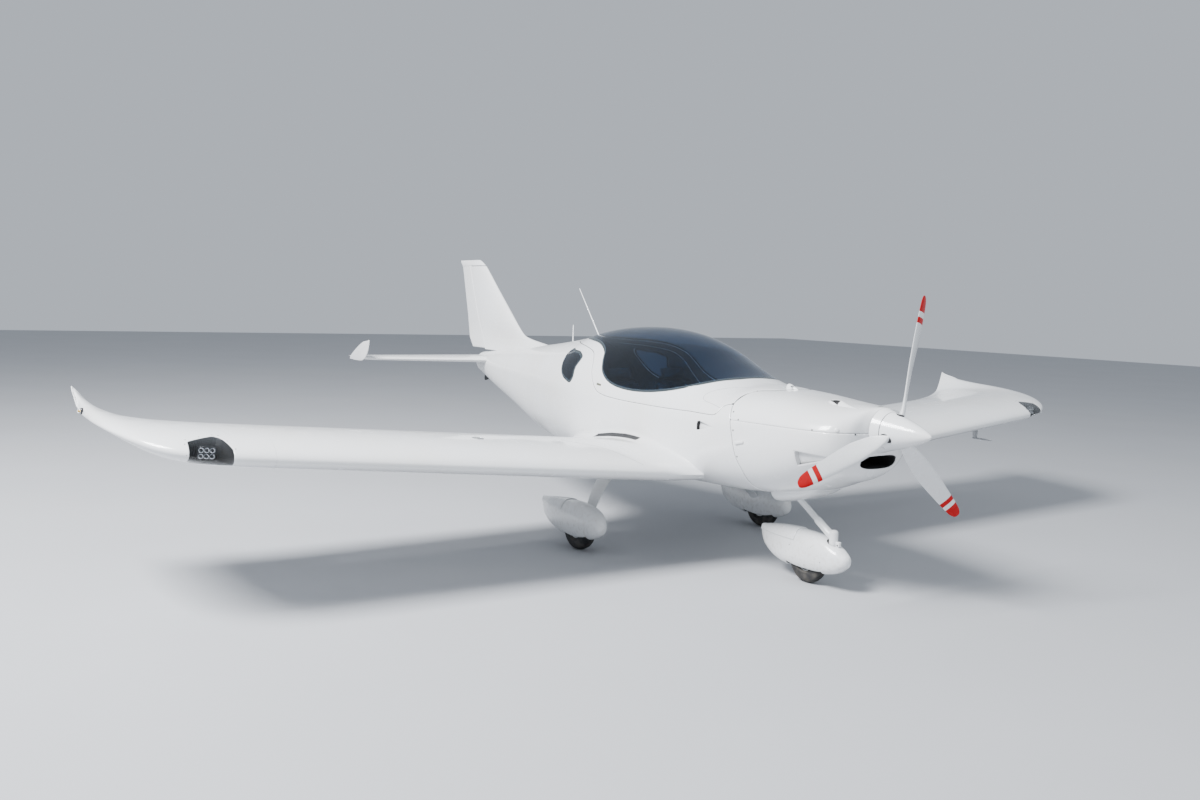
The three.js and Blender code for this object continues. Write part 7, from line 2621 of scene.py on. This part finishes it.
# The firewall. A plate of bare steel across the body behind the engine.
FIREWALL_STATION = 1.287
FIREWALL_INSET = 0.014
FIREWALL_LAYERS = [(0.999, 0.0), (1.0, 0.0005), (1.0, 0.0025), (0.999, 0.003)]
plate_share = float(np.interp(FIREWALL_STATION, BODY_CURVE[:, 0], CURVE_PLACE))
ring = body_points(np.column_stack([np.full(96, plate_share), circle(96)]), FIREWALL_INSET)
firewall = lofted([drawn_in(ring, out) - np.array([aft, 0, 0]) for out, aft in FIREWALL_LAYERS])
add_piece("firewall", *firewall, dark_steel, slot="bare_metal", sharp=50)

# The walkways and the fuel caps. Black ribbed rubber strips on the root fillets, and a flush round
# cap in each wing.
WALK_STATIONS = (2.17, 2.75)
WALK_OUTS = (0.605, 0.652)
WALK_RIBS = 48
WALK_RISE = (0.0010, 0.0022)
FUEL_CAP = (2.07, 2.03)
FUEL_CAP_ROWS = [
    # radius, height
    (0.041, -0.003), (0.041, 0.0006), (0.039, 0.0012), (0.036, 0.0012), (0.0355, 0.0003), (0.034, 0.0003),
    (0.0335, 0.0014), (0.012, 0.0018), (0.0003, 0.0018),
]


def walkway(side):
    """A strip laid on the fillet's top, with ridges across it."""
    rings = fillet_rings(1)[:, SECTION_STEPS:]
    stations = np.linspace(*WALK_STATIONS, 4 * WALK_RIBS + 1)
    outs = np.linspace(*WALK_OUTS, 7)
    rows = []
    for k, station in enumerate(stations):
        crossing = np.array(
            [np.interp(station, NOSE_X - ring[:, 0], ring[:, k]) for ring in rings for k in (1, 2)]
        )
        y, z = crossing.reshape(-1, 2).T
        order = np.argsort(y)
        height = np.interp(outs, y[order], z[order]) + WALK_RISE[k % 4 in (1, 2)]
        rows.append(row_points(station, side * outs, height))
    points, cells = net(np.array(rows))
    return plate(points, cells[:, ::-side], 0.0025)


caps = []
for side, name in SIDES:
    add_piece(f"walkway_{name}", *walkway(side), boot_rubber, slot="black_plastic", sharp=40)
    spot = raised(*FUEL_CAP, flat_wing(*FUEL_CAP, True), side)
    caps.append(spun(FUEL_CAP_ROWS, spot, (0.06, -side * math.sin(SLOPE), math.cos(SLOPE)), 56))
add_piece("fuel_caps", *joined(caps), rim_metal, slot="bare_metal")

# The aerials and the tail skid. A whip with a moulded foot, a short stub, and a leaf under the
# tail that keeps it off the ground.
WHIP = [
    ((3.676, 0, 1.548), 0.012), ((3.684, 0, 1.560), 0.0115), ((3.694, 0, 1.571), 0.0068),
    ((3.70, 0, 1.579), 0.0056), ((3.80, 0, 1.698), 0.0050), ((3.93, 0, 1.852), 0.0042),
    ((4.058, 0, 2.004), 0.0032), ((4.061, 0, 2.0075), 0.0015),
]
STUB = [
    (0.0075, 0.0), (0.0078, 0.008), (0.0060, 0.020), (0.0052, 0.10), (0.0046, 0.170), (0.0030, 0.1855),
    (0.0003, 0.187),
]
SKID = [
    (5.780, 1.100), (5.940, 1.130), (5.957, 1.020), (5.950, 1.001), (5.930, 1.000), (5.760, 1.040),
    (5.662, 1.072), (5.662, 1.088),
]
SKID_LAYERS = [(-0.0068, 0.97), (-0.0055, 1.0), (0.0055, 1.0), (0.0068, 0.97)]
whip_path, whip_r = zip(*WHIP)
add_piece("whip_rod", *lofted(tube_rings(whip_path, whip_r, 24)), white_shell, stands_for=["whip_antenna"])
stub_foot = (row_x(4.150), 0, 1.480)
add_piece("stub_rod", *spun(STUB, stub_foot, (0, 0, 1), 24), white_shell, stands_for=["stub_antenna"])
rings = []
for y, grow in SKID_LAYERS:
    station, z = drawn_in(np.array(SKID), grow).T
    rings.append(row_points(station, y, z))
add_piece("skid_leaf", *lofted(rings), boot_rubber, slot="black_plastic", stands_for=["tail_skid"])

# The pitot probe, on a short mast under the left wing: a steel tube with a hollow mouth.
PROBE_SPAN = 2.978
PROBE = [
    (1.892, 0.002), (1.888, 0.0062), (1.880, 0.0070), (1.720, 0.0070), (1.700, 0.0062), (1.691, 0.0052),
    (1.691, 0.0036), (1.706, 0.0034), (1.706, 0.0003),
]
PROBE_Z = -0.142
MAST = {"station": 1.862, "half": 0.024, "thick": 0.0042}
turn = circle(32)
rings = [raised(s, PROBE_SPAN + r * np.cos(turn), PROBE_Z + r * np.sin(turn), 1) for s, r in PROBE]
probe = lofted(rings)
rings = []
for z in np.linspace(PROBE_Z + 0.003, -0.052, 8):
    grow = 1 + 0.35 * (z - PROBE_Z) / 0.09
    station = MAST["station"] + MAST["half"] * grow * np.cos(turn)
    rings.append(raised(station, PROBE_SPAN + MAST["thick"] * np.sin(turn), z, 1))
probe = joined([probe, lofted(rings)])
add_piece("probe_and_mast", *probe, rim_metal, slot="bare_metal", stands_for=["pitot_probe"])

# The exhaust. A steel pipe that drops from the engine on the left and leaves through the outlet
# under the cowl, blued by heat towards its hollow end.
EXHAUST_OUT = 0.090
EXHAUST = [
    (0.960, 0.868), (0.963, 0.830), (0.985, 0.700), (1.020, 0.638), (1.087, 0.588), (1.150, 0.571),
    (1.205, 0.5655),
]
EXHAUST_R = 0.0185
exhaust_steel = Finish("exhaust_steel", (0.30, 0.27, 0.24, 1), 0.38, {"Metallic": 1.0})
heat = exhaust_steel.spread(exhaust_steel.noise(9, 4), 0.3, 0.72, 0, 1)
exhaust_steel.colour(exhaust_steel.mix(heat, (0.34, 0.30, 0.26, 1), (0.14, 0.12, 0.13, 1)))
exhaust_steel.gloss(70, 3, 0.3, 0.7, 0.3, 0.55)
pipe_line = smooth_rows([(s, EXHAUST_OUT, z, 0) for s, z in EXHAUST], 48)[:, :3]
rings = tube_rings(pipe_line, np.full(len(pipe_line), EXHAUST_R), 40)
back = rings[-1].mean(axis=0) - rings[-3].mean(axis=0)
back /= np.linalg.norm(back)
inner = [
    drawn_in(rings[-1], grow) - back * deep for grow, deep in ((0.93, -0.0004), (0.86, 0.0), (0.86, 0.045))
]
pipe = lofted(np.concatenate([rings, inner]))
add_piece("exhaust_tube", *pipe, exhaust_steel.material, slot="bare_metal", stands_for=["exhaust_pipe"])

# The nose fork. A crown below the leg's barrel, a bridge ahead of the tyre and two plates that
# carry the axle, all of dark steel. A white lug with two black dots sits ahead of the leg's barrel.
FORK = {"crown": (0.745, 0.246, 0.303, 0.0305), "bridge": (0.772, 0.262, 0.090, 0.128, 0.026)}
FORK_ARM = {"from": (0.770, 0.262), "to": (0.962, 0.155), "out": 0.0595, "wide": 0.034, "thick": 0.0105}
AXLE = {"r": 0.0118, "half": 0.0648}
crown_s, crown_low, crown_high, crown_r = FORK["crown"]
crown_rows = [
    (crown_r - 0.003, crown_low), (crown_r, crown_low + 0.003),
    (crown_r, crown_high - 0.003), (crown_r - 0.003, crown_high),
]
fork_parts = [spun(crown_rows, (row_x(crown_s), 0, 0), (0, 0, 1), 40)]
bridge_s, bridge_z, bridge_long, bridge_wide, bridge_high = FORK["bridge"]
upright = np.array([[1.0, 0, 0], [0, 1.0, 0], [0, 0, 1.0]])
fork_parts.append(
    soft_block((row_x(bridge_s), 0, bridge_z), (bridge_long, bridge_wide, bridge_high), 0.004, upright, 0.012)
)
top, foot = [np.array([row_x(FORK_ARM[end][0]), 0, FORK_ARM[end][1]]) for end in ("from", "to")]
run = (foot - top) / np.linalg.norm(foot - top)
arm_axes = np.array([run, np.cross((0, 1.0, 0), run), (0, 1.0, 0)])
arm_size = (np.linalg.norm(foot - top) + FORK_ARM["wide"], FORK_ARM["wide"], FORK_ARM["thick"])
for side in (1, -1):
    middle = (top + foot) / 2 + np.array([0, side * FORK_ARM["out"], 0])
    fork_parts.append(soft_block(middle, arm_size, 0.002, arm_axes, FORK_ARM["wide"] / 2 - 0.001))
axle_rows = round_bar(AXLE["r"], AXLE["half"], AXLE["r"] - 0.002, 0.002)
fork_parts.append(spun(axle_rows, foot, (0, 1, 0), 32))
add_piece("fork_frame", *joined(fork_parts), dark_steel, "nose_swivel", "bare_metal", ["nose_fork"])
LUG = {"station": 0.700, "z": 0.322, "size": (0.034, 0.026, 0.034), "dot": 0.0058}
lug_middle = np.array([row_x(LUG["station"]), 0, LUG["z"]])
add_piece("leg_lug", *soft_block(lug_middle, LUG["size"], 0.004, upright, 0.008), white_shell)
dots = [
    (lug_middle + (0.004, side * (LUG["size"][1] / 2 + 0.0002), -0.006), (0, side, 0)) for side in (1, -1)
]
add_piece("leg_lug_dots", *screws_at(dots, LUG["dot"]), boot_rubber, slot="black_plastic")
